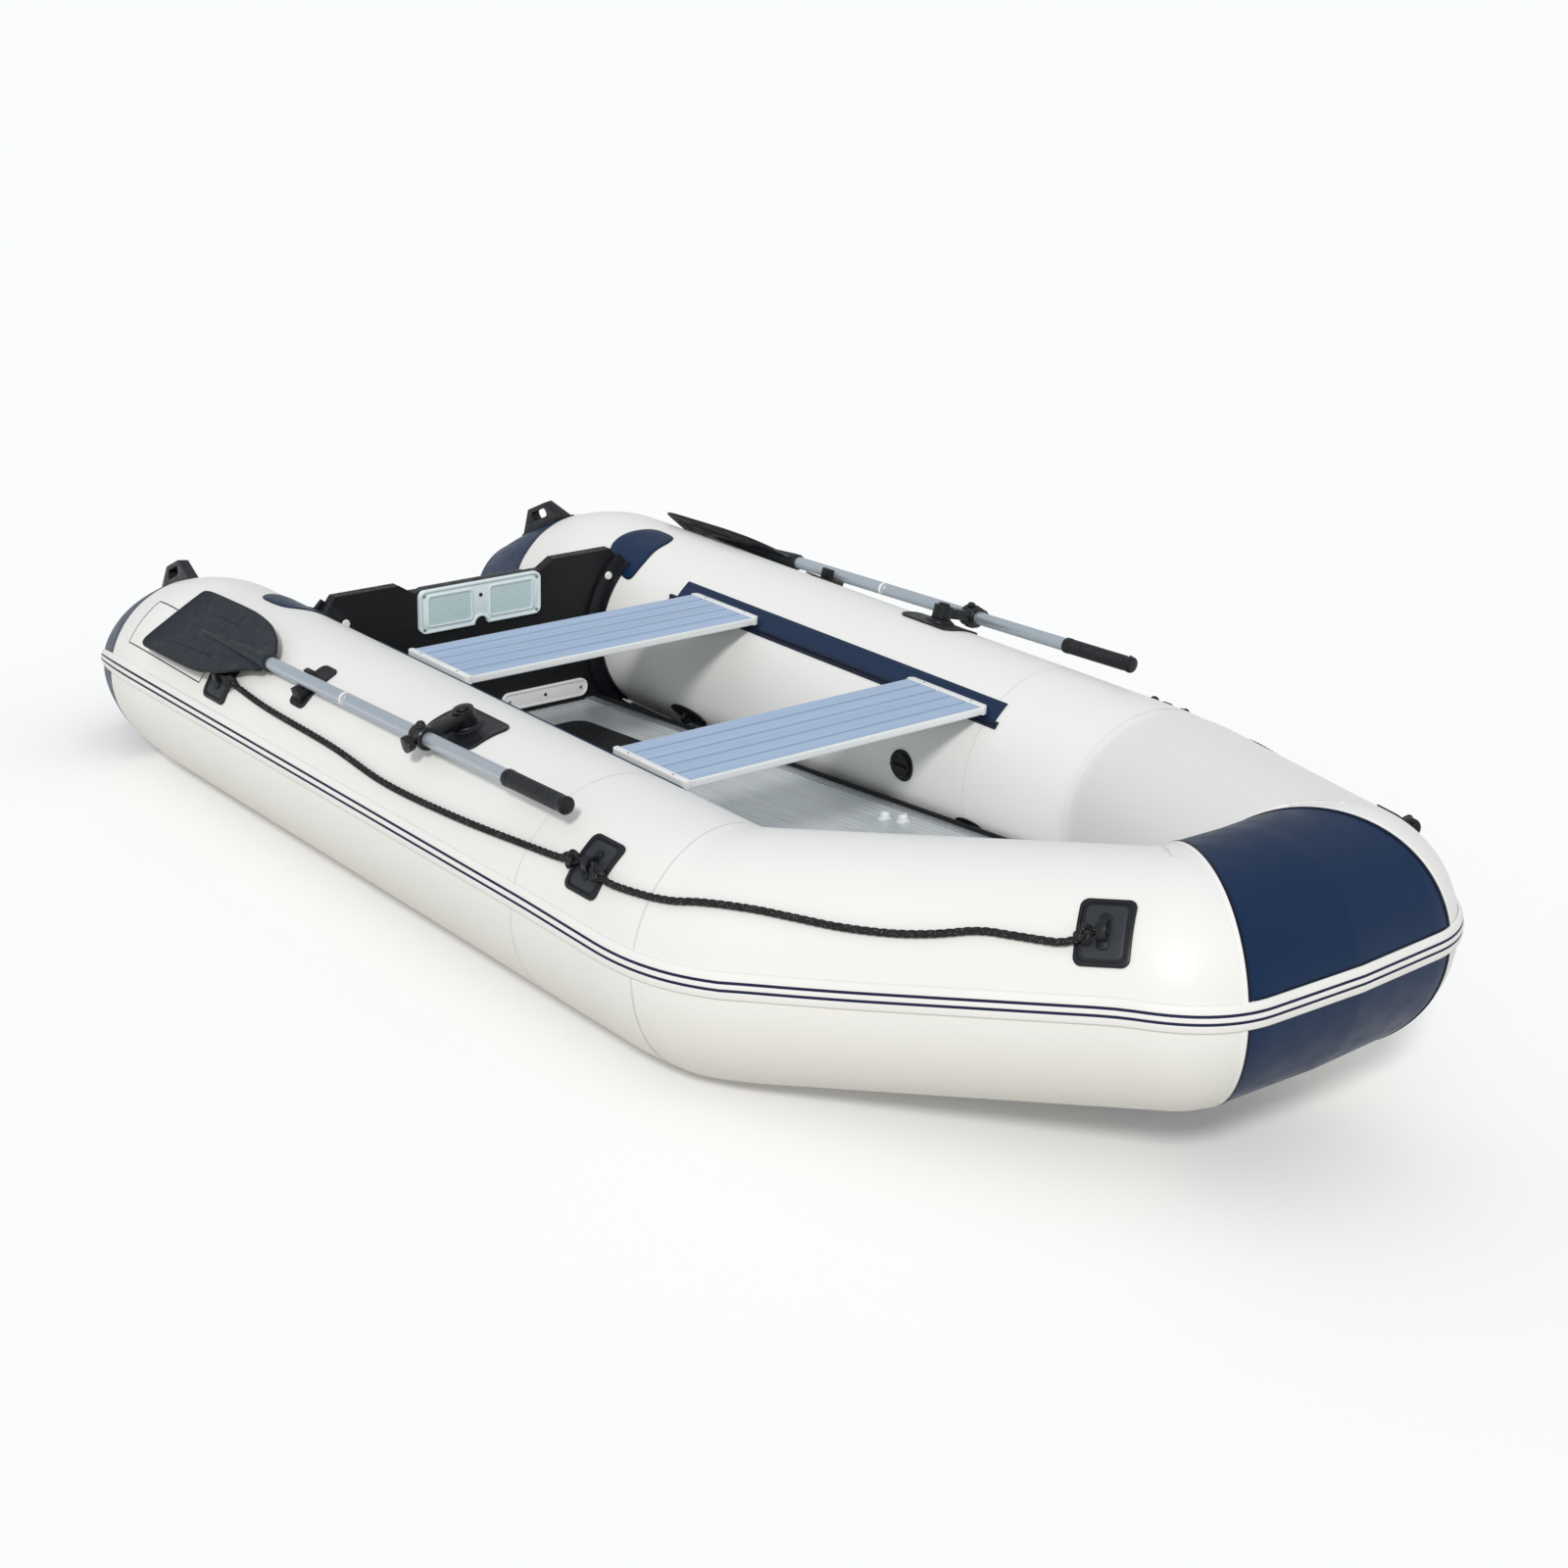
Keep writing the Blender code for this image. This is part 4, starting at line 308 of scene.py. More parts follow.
def finished(shape, name, materials, smooth=35.0, closed=False):
    """The object of a finished bmesh, shaded smooth except over edges sharper than an angle."""
    if closed:
        bmesh.ops.recalc_face_normals(shape, faces=shape.faces)
    mesh = bpy.data.meshes.new(name)
    shape.to_mesh(mesh)
    shape.free()
    for material in materials if isinstance(materials, (list, tuple)) else [materials]:
        mesh.materials.append(material)
    mesh.shade_smooth()
    if smooth < 180:
        mesh.set_sharp_from_angle(angle=math.radians(smooth))
    made = bpy.data.objects.new(name, mesh)
    scene.collection.objects.link(made)
    return made


def surface(name, rows, materials, ring=False, caps=True, smooth=35.0, places=None, tone=None, cap_tone=0,
            flip=False, pole=None):
    """A grid moved to rows of points: a sheet, or a body where each row is a ring.

    places says where each point lies along and round the hull, for the fabric's own pattern, and tone
    gives the number of the material for a row and a column. A pole closes the first ring to a point.
    """
    shape = bmesh.new()
    layers = [shape.verts.layers.float.new(word) for word in ("along", "around")] if places else []
    count = len(rows[0])
    wide = count + ring
    bmesh.ops.create_grid(shape, x_segments=wide - 1, y_segments=len(rows) - 1, size=1)
    points = list(shape.verts)
    for k, point in enumerate(points):
        row, column = k // wide, k % wide % count
        point.co = rows[row][column]
        for layer, value in zip(layers, places[row][column] if places else ()):
            point[layer] = value
    if tone:
        for k, face in enumerate(shape.faces):
            face.material_index = tone(*divmod(k, wide - 1))
    if pole:
        tip = shape.verts.new(pole[0])
        for layer, value in zip(layers, pole[1]):
            tip[layer] = value
        for a, b in zip(points, points[1:wide]):
            shape.faces.new((b, a, tip))
    if ring:
        ends = {points[k + count]: points[k] for k in range(0, len(points), wide)}
        bmesh.ops.weld_verts(shape, targetmap=ends)
        for start in (0, len(points) - wide) if caps else ():
            shape.faces.new(points[start:start + count]).material_index = cap_tone
    if flip:
        bmesh.ops.reverse_faces(shape, faces=shape.faces)
    return finished(shape, name, materials, smooth, ring)


BODY_OF = {node: body for body, held in frame["record"]["behaviour"]["bodies"].items() for node in held}


def trim(made, node):
    """A small piece that goes with a CAD node."""
    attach(made, BODY_OF[node])
    return made


def give(made, node):
    """The piece stands for its CAD node, which is hidden, and rides on its body."""
    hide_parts(node)
    return trim(made, node)


def curve_point(a, b, c, d, t):
    """A place between b and c on the smooth curve through all four."""
    return (b * 2 + (c - a) * t + (a * 2 - b * 5 + c * 4 - d) * t ** 2 + (b * 3 - a - c * 3 + d) * t ** 3) / 2


def even_places(line, count, steps):
    """The first places of even steps along a line."""
    travelled = [0.0]
    for a, b in zip(line, line[1:]):
        travelled.append(travelled[-1] + (b - a).length)
    made, k = [], 0
    for i in range(count):
        goal = travelled[-1] * i / steps
        while k < len(line) - 2 and travelled[k + 1] < goal:
            k += 1
        span = travelled[k + 1] - travelled[k]
        made.append(line[k].lerp(line[k + 1], (goal - travelled[k]) / span if span else 0))
    return made


def smooth_route(points, count, fine=20):
    """Points at even steps along a smooth curve through the given ones."""
    padded = [points[0], *points, points[-1]]
    line = [curve_point(*four, i / fine) for four in zip(padded, padded[1:], padded[2:], padded[3:])
            for i in range(fine)]
    return even_places([*line, points[-1]], count, count - 1)


PATCH_LENGTH, PATCH_GIRTH, PATCH_THICKNESS, PATCH_CORNER = 0.090, 0.110, 0.0035, 0.014
GAP = 0.0003                 # glued and seated pieces keep this much clear
SKIN_INSET = 0.0005          # the smooth skin lies just under the faceted CAD one
ROPE_RADIUS, STRAND_CROWN, ROPE_TAIL, ROPE_STEPS = 0.0055, 1.22, 0.011, 560
ROPE_CLEARANCE, LUG_HOLE_RADIUS = 0.0016, 0.0063
STRANDS, STRAND_PITCH, STRAND_SIDES, STRAND_SINK = 3, 0.046, 21, 0.24
KNOT_STEPS, KNOT_LIFT, KNOT_ROPE = 60, 0.006, 0.0058
BOW_CORNER_AT = STATIONS[-(CORNER_RINGS + 1 + NOSE_RINGS)]["at"] - 2 * GAP
PATCHES = ((0.800, math.radians(35.5)), (BEND - 0.1699, math.radians(41)),
           (BOW_CORNER_AT - 0.0544, math.radians(41)))
# Between two lugs, as shares of the way and degrees round the tube
AFT_SPAN = ((0.05, 34.5), (0.16, 32.0), (0.36, 31.0), (0.52, 28.0), (0.70, 30.2), (0.86, 34.5), (0.95, 37.5))
BOW_SPAN = ((0.07, 37.5), (0.18, 40.5), (0.26, 43.2), (0.34, 42.2), (0.43, 39.3), (0.52, 36.4), (0.62, 35.0),
            (0.70, 35.8), (0.78, 38.0), (0.86, 36.4), (0.94, 35.2))
# Lug, distance from it and size of each knot
KNOTS = ((0, 0.060, 0.0190), (1, -0.042, 0.0205), (1, 0.040, 0.0190), (2, -0.034, 0.0190))
ROPE = laid_rope("rope_black", (0.0075, 0.0080, 0.0095), (0.22, 0.22, 0.21))


def rope_route(side):
    """From eye to eye, and down on to the fabric between them."""
    route = [(PATCHES[0][0] - ROPE_TAIL, PATCHES[0][1])]
    for start, end, span in zip(PATCHES, PATCHES[1:], (AFT_SPAN, BOW_SPAN)):
        points = [(start[0] + ROPE_TAIL, start[1])]
        points += [(start[0] + (end[0] - start[0]) * share, math.radians(degrees)) for share, degrees in span]
        points.append((end[0] - ROPE_TAIL, end[1]))
        line = smooth_route([Vector((place, angle * TUBE_RADIUS, 0)) for place, angle in points], 31)
        route += [(point.x, point.y / TUBE_RADIUS) for point in line]
    route.append((PATCHES[2][0] + ROPE_TAIL, PATCHES[2][1]))
    low, high = ROPE_RADIUS + ROPE_CLEARANCE, GAP + PATCH_THICKNESS + GAP + LUG_HOLE_RADIUS
    places = []
    for place, angle in route:
        near = min(abs(place - patch[0]) for patch in PATCHES)
        share = min(1.0, max(0.0, near / PATCH_LENGTH - 0.62) / 0.60)
        places.append(on_hull(place, angle, high + (low - high) * share, side))
    return places


def twisted(name, path, radius):
    """A laid rope: strands that wind round the path."""
    rings, normal, turn = [], None, 0.0
    for k, point in enumerate(path):
        way = (path[min(k + 1, len(path) - 1)] - path[max(k - 1, 0)]).normalized()
        if normal is None:
            normal = way.orthogonal().normalized()
        normal = (normal - way * normal.dot(way)).normalized()
        other = way.cross(normal)
        if k:
            turn += 2 * math.pi * (point - path[k - 1]).length / STRAND_PITCH
        ring = []
        for i in range(STRAND_SIDES):
            a = 2 * math.pi * i / STRAND_SIDES
            size = radius * (1 - STRAND_SINK * (1 - abs(math.cos(STRANDS / 2 * a))) ** 1.4)
            ring.append(point + (normal * math.cos(a + turn) + other * math.sin(a + turn)) * size)
        rings.append(ring)
    return surface(name, rings, ROPE, ring=True, smooth=70)


def knot(name, centre, along, out, size):
    """An overhand knot pulled tight round the rope's line."""
    place, wide, points = frame_of(centre, along, out), size * 0.42 / 2, []
    for i in range(KNOT_STEPS):
        t = 2 * math.pi * i / KNOT_STEPS
        points.append(place @ Vector((wide * (math.sin(t) + 2 * math.sin(2 * t)),
                                      wide * (math.cos(t) - 2 * math.cos(2 * t)),
                                      -size * 0.30 * math.sin(3 * t))))
    return twisted(name, [*points, points[0]], KNOT_ROPE)


for side, word in SIDES:
    path = smooth_route(rope_route(side), ROPE_STEPS, 12)
    rope = twisted(f"grab_line_{word}_rope", path, ROPE_RADIUS * STRAND_CROWN)
    give(rope, f"grab_line_{word}")
    for k, (patch, shift, size) in enumerate(KNOTS):
        goal, angle = PATCHES[patch][0] + shift, PATCHES[patch][1]
        centre = min(path, key=lambda p: abs((p - on_hull(goal, angle, 0.01, side)).length))
        i = path.index(centre)
        out = centre - on_hull(goal, angle, -TUBE_RADIUS * 0.9, side)
        tie = knot(f"grab_knot_{k}_{word}", centre + out.normalized() * KNOT_LIFT, path[i + 2] - path[i - 2],
                   out, size)
        trim(tie, f"grab_line_{word}")
    sum((b - a).length for a, b in zip(path, path[1:]))


# Tubes, bow panels, nose and stern caps
# Skins of coated fabric, cut as panels and welded into two tubes that meet at the nose. They're blown up
# hard, so the fabric is smooth but for small puckers at the seams. Nose and stern caps are navy, the rest
# is white, and each cap's edge is glued over the white tube.

SKIN_SIDES, CAP_SEAM, CAP_LAP, LAP_WIDTH, LAP_FADE = 160, 0.276, 0.0007, 0.030, 0.02
BEND_SEAM = BEND - BEND_LEAD + BEND_RADIUS * BOW_TURN / 3
NOSE_SEAM_OFFSET, NOSE_SEAM_HEADING = 0.040, math.radians(65)
NOSE_SEAM_LEAN = math.tan(math.radians(1.8))
PUCKER, PUCKER_REACH, UNEVEN = 0.0007, 0.035, 0.0003
ROUND = [-math.pi / 2 + 2 * math.pi * i / SKIN_SIDES for i in range(SKIN_SIDES + 1)]


def finish(name, colour, rough, metal=0.0, wear=0.9, patchy=3.0, grain=None, spread=0.12, hull=False,
           weave=0.0, coat=0.0, scale=(1, 1, 1), shine=0.32):
    """Slow changes of colour, an uneven gloss, and a fine bump of threads and of grain."""
    made, tree = blank(name)
    where = coordinates(tree, scale, hull)
    values = {"Base Color": mixed(ranged(texture(where, patchy, 4), 0, 1), darker(colour, wear), colour),
              "Roughness": ranged(texture(where, patchy * 9, 5), rough - spread, rough + spread),
              "Metallic": metal, "Specular IOR Level": shine, "Coat Weight": coat, "Coat Roughness": 0.25}
    if weave:
        warp, weft = (where.node("TexWave", "Fac", {"bands_direction": axis}, {"Scale": 320, "Vector": where})
                      for axis in "XY")
        values["Normal"] = bumped(warp * weft, weave, 0.0003)
    if grain:
        size, strength, depth = grain
        values["Normal"] = bumped(texture(where, size, 6, 0.6), strength, depth, values.get("Normal"))
    return filled(made, values)


WHITE = finish("pvc_white", (0.86, 0.855, 0.83), 0.40, wear=0.975, patchy=1.4, hull=True, weave=0.05,
               coat=0.08, grain=(420, 0.03, 0.0003), spread=0.06)
NAVY = finish("pvc_navy", (0.0022, 0.0200, 0.068), 0.44, wear=0.90, patchy=2.2, hull=True, weave=0.07,
              grain=(420, 0.06, 0.0003), shine=0.22, spread=0.06)


def ripple(distance, angle, side, seams):
    """Small puckers in the fabric close to a seam."""
    near = sum(math.exp(-abs(distance - seam) / PUCKER_REACH) for seam in seams)
    wave = noise.noise(Vector((angle * 7, distance * 9, side * 3.7)))
    slow = noise.noise(Vector((angle * 1.3, distance * 2.3, side * 9.1)))
    return PUCKER * near * wave + UNEVEN * slow


def hull_sheet(name, rows, material, smooth=60, pole=None):
    """A sheet on the hull; rows hold places as distance, angle, height and side."""
    points = [[on_hull(d, a, height - SKIN_INSET, side) for d, a, height, side in row] for row in rows]
    places = [[(d, a * TUBE_RADIUS) for d, a, _, _ in row] for row in rows]
    return surface(name, points, material, smooth=smooth, places=places, flip=rows[0][0][3] > 0, pole=pole)


def skin(name, rows, material, seams=(), lift=None, tip=None):
    """A panel of the tube; rows hold places as distance, angle and side."""
    rows = [[(d, a, ripple(d, a, side, seams) + (lift(d) if lift else 0.0), side) for d, a, side in row]
            for row in rows]
    return hull_sheet(name, rows, material, 180, (tip, (0.0, 0.0)) if tip else None)


def spread(start, end, step):
    count = max(2, round((end - start) / step))
    return [start + (end - start) * i / count for i in range(count + 1)]


def seam_place(angle, offset=0.0):
    """Distance at which the skin crosses the nose seam's plane, moved along its normal."""
    level = Vector((math.cos(NOSE_SEAM_HEADING), -math.sin(NOSE_SEAM_HEADING)))
    flat = CORNER + level * NOSE_SEAM_OFFSET
    point = Vector((flat.x, flat.y, TUBE_CENTRE + BOW_SLOPE * (flat.x - STERN_X - BEND)))
    normal = Vector((level.x, level.y, NOSE_SEAM_LEAN)).normalized()
    low, high = BEND, LAST
    for _ in range(26):
        middle = (low + high) / 2
        if (on_hull(middle, angle) - point).dot(normal) < offset:
            low = middle
        else:
            high = middle
    return low


def lap(distance):
    """The navy cap's edge lies on the white tube, and its swell fades out aft of that."""
    return CAP_LAP * min(1.0, max(0.0, 1 - (CAP_SEAM - LAP_WIDTH - distance) / LAP_FADE))


def tube_panel(node, places, material, side, seams, lift=None, tip=None):
    rows = [[(place, angle, side) for angle in ROUND] for place in places]
    give(skin(f"{node}_skin", rows, material, seams, lift, tip), node)


nose_seam = [seam_place(angle) for angle in ROUND]
for side, word in SIDES:
    tip = STATIONS[0]["centre"]
    places = [ring["at"] for ring in STATIONS if ring["at"] < 0.05] + spread(0.055, CAP_SEAM, 0.008)
    tube_panel(f"stern_cap_{word}", places, NAVY, side, (CAP_SEAM,), lap,
               Vector((STERN_X + SKIN_INSET, tip.y * side, tip.z)))
    tube_panel(f"hull_tube_{word}", spread(CAP_SEAM - 0.01, BEND_SEAM, 0.012), WHITE, side,
               (CAP_SEAM, BEND_SEAM))
    rows = [[(BEND_SEAM + (seam - BEND_SEAM) * i / 72, angle, side) for seam, angle in zip(nose_seam, ROUND)]
            for i in range(73)]
    give(skin(f"bow_panel_{word}_skin", rows, WHITE, (BEND_SEAM,)), f"bow_panel_{word}")

half = [[(seam + (LAST - seam) * i / 40, angle) for seam, angle in zip(nose_seam, ROUND)] for i in range(41)]
rows = [[(d, a, 1) for d, a in row] for row in half]
rows += [[(d, a, -1) for d, a in row] for row in reversed(half[:-1])]
give(skin("bow_nose_skin", rows, NAVY), "bow_nose")


# Seam tapes
# The nose's seams are covered by a white tape and a dark one, glued round the bow panels' ends. Where two
# white panels overlap, the edge of the upper one shows as a fine grey line.

TAPE_EDGES = (-0.0150, -0.0056, 0.0004)      # across the seam
TAPE_RISE, DARK_TAPE_RISE = 0.0011, 0.0015
TUBE_SEAM = 1.930
TAPE = finish("seam_tape_white", (0.90, 0.90, 0.885), 0.42, wear=0.96, patchy=5, hull=True, weave=0.08,
              grain=(300, 0.05, 0.0004))
DARK_TAPE = finish("seam_line_dark", (0.006, 0.009, 0.020), 0.48, wear=0.8, patchy=8, hull=True, weave=0.1,
                   grain=(300, 0.1, 0.0005), shine=0.2)
SEAM = finish("seam_edge_grey", (0.70, 0.71, 0.71), 0.45, wear=0.94, patchy=5, hull=True,
              grain=(300, 0.05, 0.0004))
tape_edges = [[seam_place(angle, offset) for angle in ROUND] for offset in TAPE_EDGES]


def seam_tape(name, first, second, rise, side, material):
    rows = [[(d, angle, height, side) for d, angle in zip(edge, ROUND)]
            for edge, height in ((first, 0.0), (first, rise), (second, rise), (second, 0.0))]
    trim(hull_sheet(name, rows, material, 40), "bow_nose")


def lap_line(name, distance, width, rise, side, node):
    rows = [[(distance + half, angle, rise, side) for angle in ROUND] for half in (-width / 2, width / 2)]
    trim(hull_sheet(name, rows, SEAM), node)


for side, word in SIDES:
    seam_tape(f"nose_seam_tape_{word}", *tape_edges[0:2], TAPE_RISE, side, TAPE)
    seam_tape(f"nose_seam_line_{word}", *tape_edges[1:3], DARK_TAPE_RISE, side, DARK_TAPE)
    lap_line(f"bend_seam_lap_{word}", BEND_SEAM, 0.0022, 0.0006, side, f"bow_panel_{word}")
    lap_line(f"tube_seam_lap_{word}", TUBE_SEAM, 0.0016, 0.0003, side, f"hull_tube_{word}")


# Rub strake
# A white rubber moulding, glued once round the boat at its widest, with a navy stripe in each of its two
# grooves. It's stiff, so it takes the tubes' two bends in a smooth sweep. On the navy panels a dark bead of
# glue shows along both of its edges, and its dark colour is also painted shade at the strake's foot.

STRAKE_ANGLE, STRAKE_BOW_ANGLE, STRAKE_FALL = math.radians(10.5), math.radians(7.8), 0.60
STRAKE_SWEEP, STRAKE_LIFT, MILLIMETRE = 0.062, 0.0002, 0.001
GLUE_AND_SHADE_EDGES = ((0.0222, 0.0252), (-0.0222, -0.0252))
# Half of the section in millimetres: across, up, and 1 where a stripe lies
STRAKE_HALF = ((-23, 0.3, 0), (-22.5, 3, 0), (-20.5, 5, 0), (-16, 6.1, 0), (-12, 6.5, 0), (-9.6, 6.6, 0),
               (-8.9, 6.2, 1), (-8.3, 5.2, 1), (-4.7, 5.2, 1), (-4.1, 6.4, 1), (-3.5, 7.3, 0), (0, 8.0, 0))
STRAKE_PROFILE = [*STRAKE_HALF, *[(-x, z, stripe) for x, z, stripe in reversed(STRAKE_HALF[:-1])]]
STRAKE = finish("strake_rubber_white", (0.87, 0.87, 0.85), 0.44, wear=0.96, patchy=4, hull=True,
                grain=(420, 0.06, 0.0004))
STRAKE_LINE = finish("strake_line_navy", (0.012, 0.016, 0.062), 0.50, wear=0.8, patchy=6, hull=True,
                     grain=(420, 0.1, 0.0005), shine=0.2)


def strake_start(ring):
    share = min(1.0, max(0.0, (ring["at"] - BEND) / STRAKE_FALL + 0.5))
    return STRAKE_ANGLE + (STRAKE_BOW_ANGLE - STRAKE_ANGLE) * share


line = [ring for ring in STATIONS if ring["at"] > 0.05]
heights = [on_ring(ring, strake_start(ring)).z for ring in line]
STRAKE_MIDDLE = {}
for ring in line:
    near = [math.exp(-((other["at"] - ring["at"]) / STRAKE_SWEEP) ** 2) * (other["at"] - before["at"])
            for before, other in zip(line, line[1:])]
    swept = sum(w * z for w, z in zip(near, heights[1:])) / sum(near)
    free = min(1.0, max(0.0, (ring["at"] - BEND + 0.4) / 0.2))
    angle = strake_start(ring)
    STRAKE_MIDDLE[ring["at"]] = angle + free * (swept - on_ring(ring, angle).z) / TUBE_RADIUS


def strake_place(ring, across, height, side):
    return on_ring(ring, STRAKE_MIDDLE[ring["at"]] + across / TUBE_RADIUS, height, side)


def strake_tone(row, column):
    return STRAKE_PROFILE[column][2] * STRAKE_PROFILE[(column + 1) % len(STRAKE_PROFILE)][2]


round_boat = [(ring, -1) for ring in line] + [(ring, 1) for ring in reversed(line[:-1])]
rings = [[strake_place(ring, x * MILLIMETRE, z * MILLIMETRE + STRAKE_LIFT, side)
          for x, z, _ in STRAKE_PROFILE]
         for ring, side in round_boat]
places = [[(ring["at"] if side < 0 else 2 * LAST - ring["at"], x * MILLIMETRE) for x, _, _ in STRAKE_PROFILE]
          for ring, side in round_boat]
give(surface("rub_strake_moulding", rings, [STRAKE, STRAKE_LINE], ring=True, smooth=28, places=places,
             tone=strake_tone), "rub_strake")


def joined(name, parts):
    """One object from several, with their modifiers applied and their materials kept."""
    graph = bpy.context.evaluated_depsgraph_get()
    shape, materials = bmesh.new(), []
    for part in parts:
        seen = part.evaluated_get(graph)
        own = list(part.data.materials)
        materials += [material for material in own if material not in materials]
        done = len(shape.faces)
        shape.from_mesh(seen.to_mesh())
        seen.to_mesh_clear()
        for face in shape.faces[done:]:
            face.material_index = materials.index(own[face.material_index])
    for part in parts:
        data = part.data
        bpy.data.objects.remove(part, do_unlink=True)
        bpy.data.meshes.remove(data)
    return finished(shape, name, materials)


# A dark glue bead along both edges of the strake; its dark colour is partly painted shade at the strake's
# foot
def strake_glue_and_shade(name, stops, side, node):
    parts = []
    for edge, outer in GLUE_AND_SHADE_EDGES:
        rings = [[strake_place(ring, across, height, side) for across, height in
                  ((edge, 0.0001), (edge, 0.0016), (outer, 0.0009), (outer, 0.0001))] for ring in stops]
        parts.append(surface("glue_and_shade", rings, DARK_TAPE, ring=True))
    trim(joined(name, parts), node)


nose_stops = [ring for ring in STATIONS if ring["at"] > seam_place(math.radians(8), 0.002)]
cap_stops = [ring for ring in STATIONS if 0.05 < ring["at"] < CAP_SEAM]
for side, word in SIDES:
    strake_glue_and_shade(f"nose_strake_glue_and_shade_{word}", nose_stops, side, "bow_nose")
    strake_glue_and_shade(f"stern_strake_glue_and_shade_{word}", cap_stops, side, f"stern_cap_{word}")


# Seat rails
# A navy bolt rope in a fabric flap is glued along the inside of each tube, and the bench caps slide on it.
# The dark welt over the rope is the rail's inner part, and a fold runs along the flap's outboard edge.

RAIL_FROM, RAIL_TO, RAIL_THICKNESS = 0.881, BEND - 0.3099, 0.0025
RAIL_HIGH, RAIL_FOOT, RAIL_STEP = GAP + RAIL_THICKNESS, 0.0002, 0.02
FLAP_INSET, WELT_HALF, WELT_RADIUS = 0.022, 0.0225, 0.004
seat_half = HALF_SPACING - TUBE_RADIUS + 0.0586
tip_angle = math.pi - math.acos((HALF_SPACING - seat_half) / TUBE_RADIUS)
rail_outer, rail_inner = tip_angle - 0.040 / TUBE_RADIUS, tip_angle + 0.021 / TUBE_RADIUS
welt_angle = tip_angle + 0.0095 / TUBE_RADIUS
welt_edge = welt_angle - WELT_HALF
RAIL = finish("rail_navy", (0.0060, 0.0235, 0.072), 0.46, wear=0.8, patchy=5, hull=True, weave=0.15,
              grain=(240, 0.12, 0.0005), shine=0.3)
RAIL_DARK = finish("rail_welt_navy", (0.0045, 0.0095, 0.030), 0.40, wear=0.8, patchy=7, hull=True, weave=0.15,
                   grain=(240, 0.12, 0.0005), shine=0.3)


def on_tube(x, angle, lift, side):
    """The place at an angle round the tube's straight stretch, or its line carried on."""
    reach = TUBE_RADIUS + lift
    return Vector((x, side * (HALF_SPACING + reach * math.cos(angle)), TUBE_CENTRE + reach * math.sin(angle)))


def rail_flap():
    points = [(rail_outer, RAIL_FOOT), (rail_outer, RAIL_HIGH - 0.0012), (rail_outer + 0.004, RAIL_HIGH)]
    start = rail_outer + 0.012
    points += [(start + (welt_edge - start) * i / 10, RAIL_HIGH) for i in range(11)]
    return [*points, (welt_edge, RAIL_FOOT)]


def rail_welt():
    points = [(welt_edge, RAIL_FOOT), (welt_edge, RAIL_HIGH)]
    for i in range(9):
        turn = math.pi * (1 - i / 8)
        points.append((welt_angle + WELT_RADIUS * math.cos(turn) / (TUBE_RADIUS + RAIL_HIGH),
                       RAIL_HIGH + WELT_RADIUS * math.sin(turn)))
    return points + [(welt_angle + WELT_HALF, RAIL_HIGH), (rail_inner - 0.004, RAIL_HIGH),
                     (rail_inner, RAIL_HIGH - 0.0012), (rail_inner, RAIL_FOOT)]


def rail_strip(name, section, from_aft, from_fore, side, material, places=False):
    xs = spread(STERN_X + RAIL_FROM + from_aft, STERN_X + RAIL_TO - from_fore, RAIL_STEP)
    rings = [[on_tube(x, angle, lift, side) for angle, lift in section] for x in xs]
    laid = [[(x - STERN_X, u) for u in range(len(section))] for x in xs] if places else None
    return surface(name, rings, material, ring=True, smooth=30, places=laid)


fold_angle = rail_outer + 0.010 / TUBE_RADIUS
FOLD = [(fold_angle + u, RAIL_HIGH + h) for u, h in ((0, -0.0002), (0.001, 0.0005), (0.006, 0.0005),
                                                     (0.007, -0.0002))]
for side, word in SIDES:
    tracks = [rail_strip("flap", rail_flap(), FLAP_INSET, FLAP_INSET / 2, side, RAIL),
              rail_strip("welt", rail_welt(), 0.0, 0.0, side, RAIL_DARK)]
    give(joined(f"seat_rail_{word}_track", tracks), f"seat_rail_{word}")
    trim(rail_strip(f"seat_rail_{word}_fold", FOLD, 0.024, 0.013, side, RAIL, True), f"seat_rail_{word}")


# Flaps and label frame on the tubes
# The transom's rubber holders are glued to the tubes under navy leaf-shaped flaps with a dark edge. Further
# aft a thin dark frame for a label is printed on each tube, and it's empty here.

LEAF_MIDDLE, LEAF_EDGE_SHARE = (0.648, math.radians(114)), 1.035
LEAF = ((0.689, 96), (0.618, 95), (0.583, 104), (0.572, 115), (0.587, 125), (0.640, 134), (0.712, 139),
        (0.722, 128), (0.714, 114), (0.712, 103))
LABEL_FRAME = ((0.378, 27), (0.390, 57), (0.755, 55), (0.724, 26), (0.378, 27))
LABEL_LINE, LABEL_RISE, LABEL_STEP = 0.0026, 0.0006, 0.006
PATCH_POINTS, PROBE = 160, 0.02


def hull_scales(distance, angle):
    """Metres of fabric for a metre of distance and for a radian, because bends stretch both."""
    turn = PROBE / TUBE_RADIUS
    along = (on_hull(distance + PROBE, angle) - on_hull(distance - PROBE, angle)).length / (2 * PROBE)
    return along, (on_hull(distance, angle + turn) - on_hull(distance, angle - turn)).length / 2 / turn


def smooth_outline(points, steps=6):
    """A closed curve through the points."""
    n = len(points)
    corners = [[Vector(points[(i + k) % n]) for k in (-1, 0, 1, 2)] for i in range(n)]
    return [tuple(curve_point(*four, s / steps)) for four in corners for s in range(steps)]


def resampled(outline, count):
    """As many points as asked for, evenly round a closed outline, from its rightmost one."""
    points = [Vector(p) for p in outline]
    start = max(range(len(points)), key=lambda i: (round(points[i].x, 5), -abs(points[i].y)))
    return [tuple(p) for p in even_places(points[start:] + points[:start + 1], count, count)]


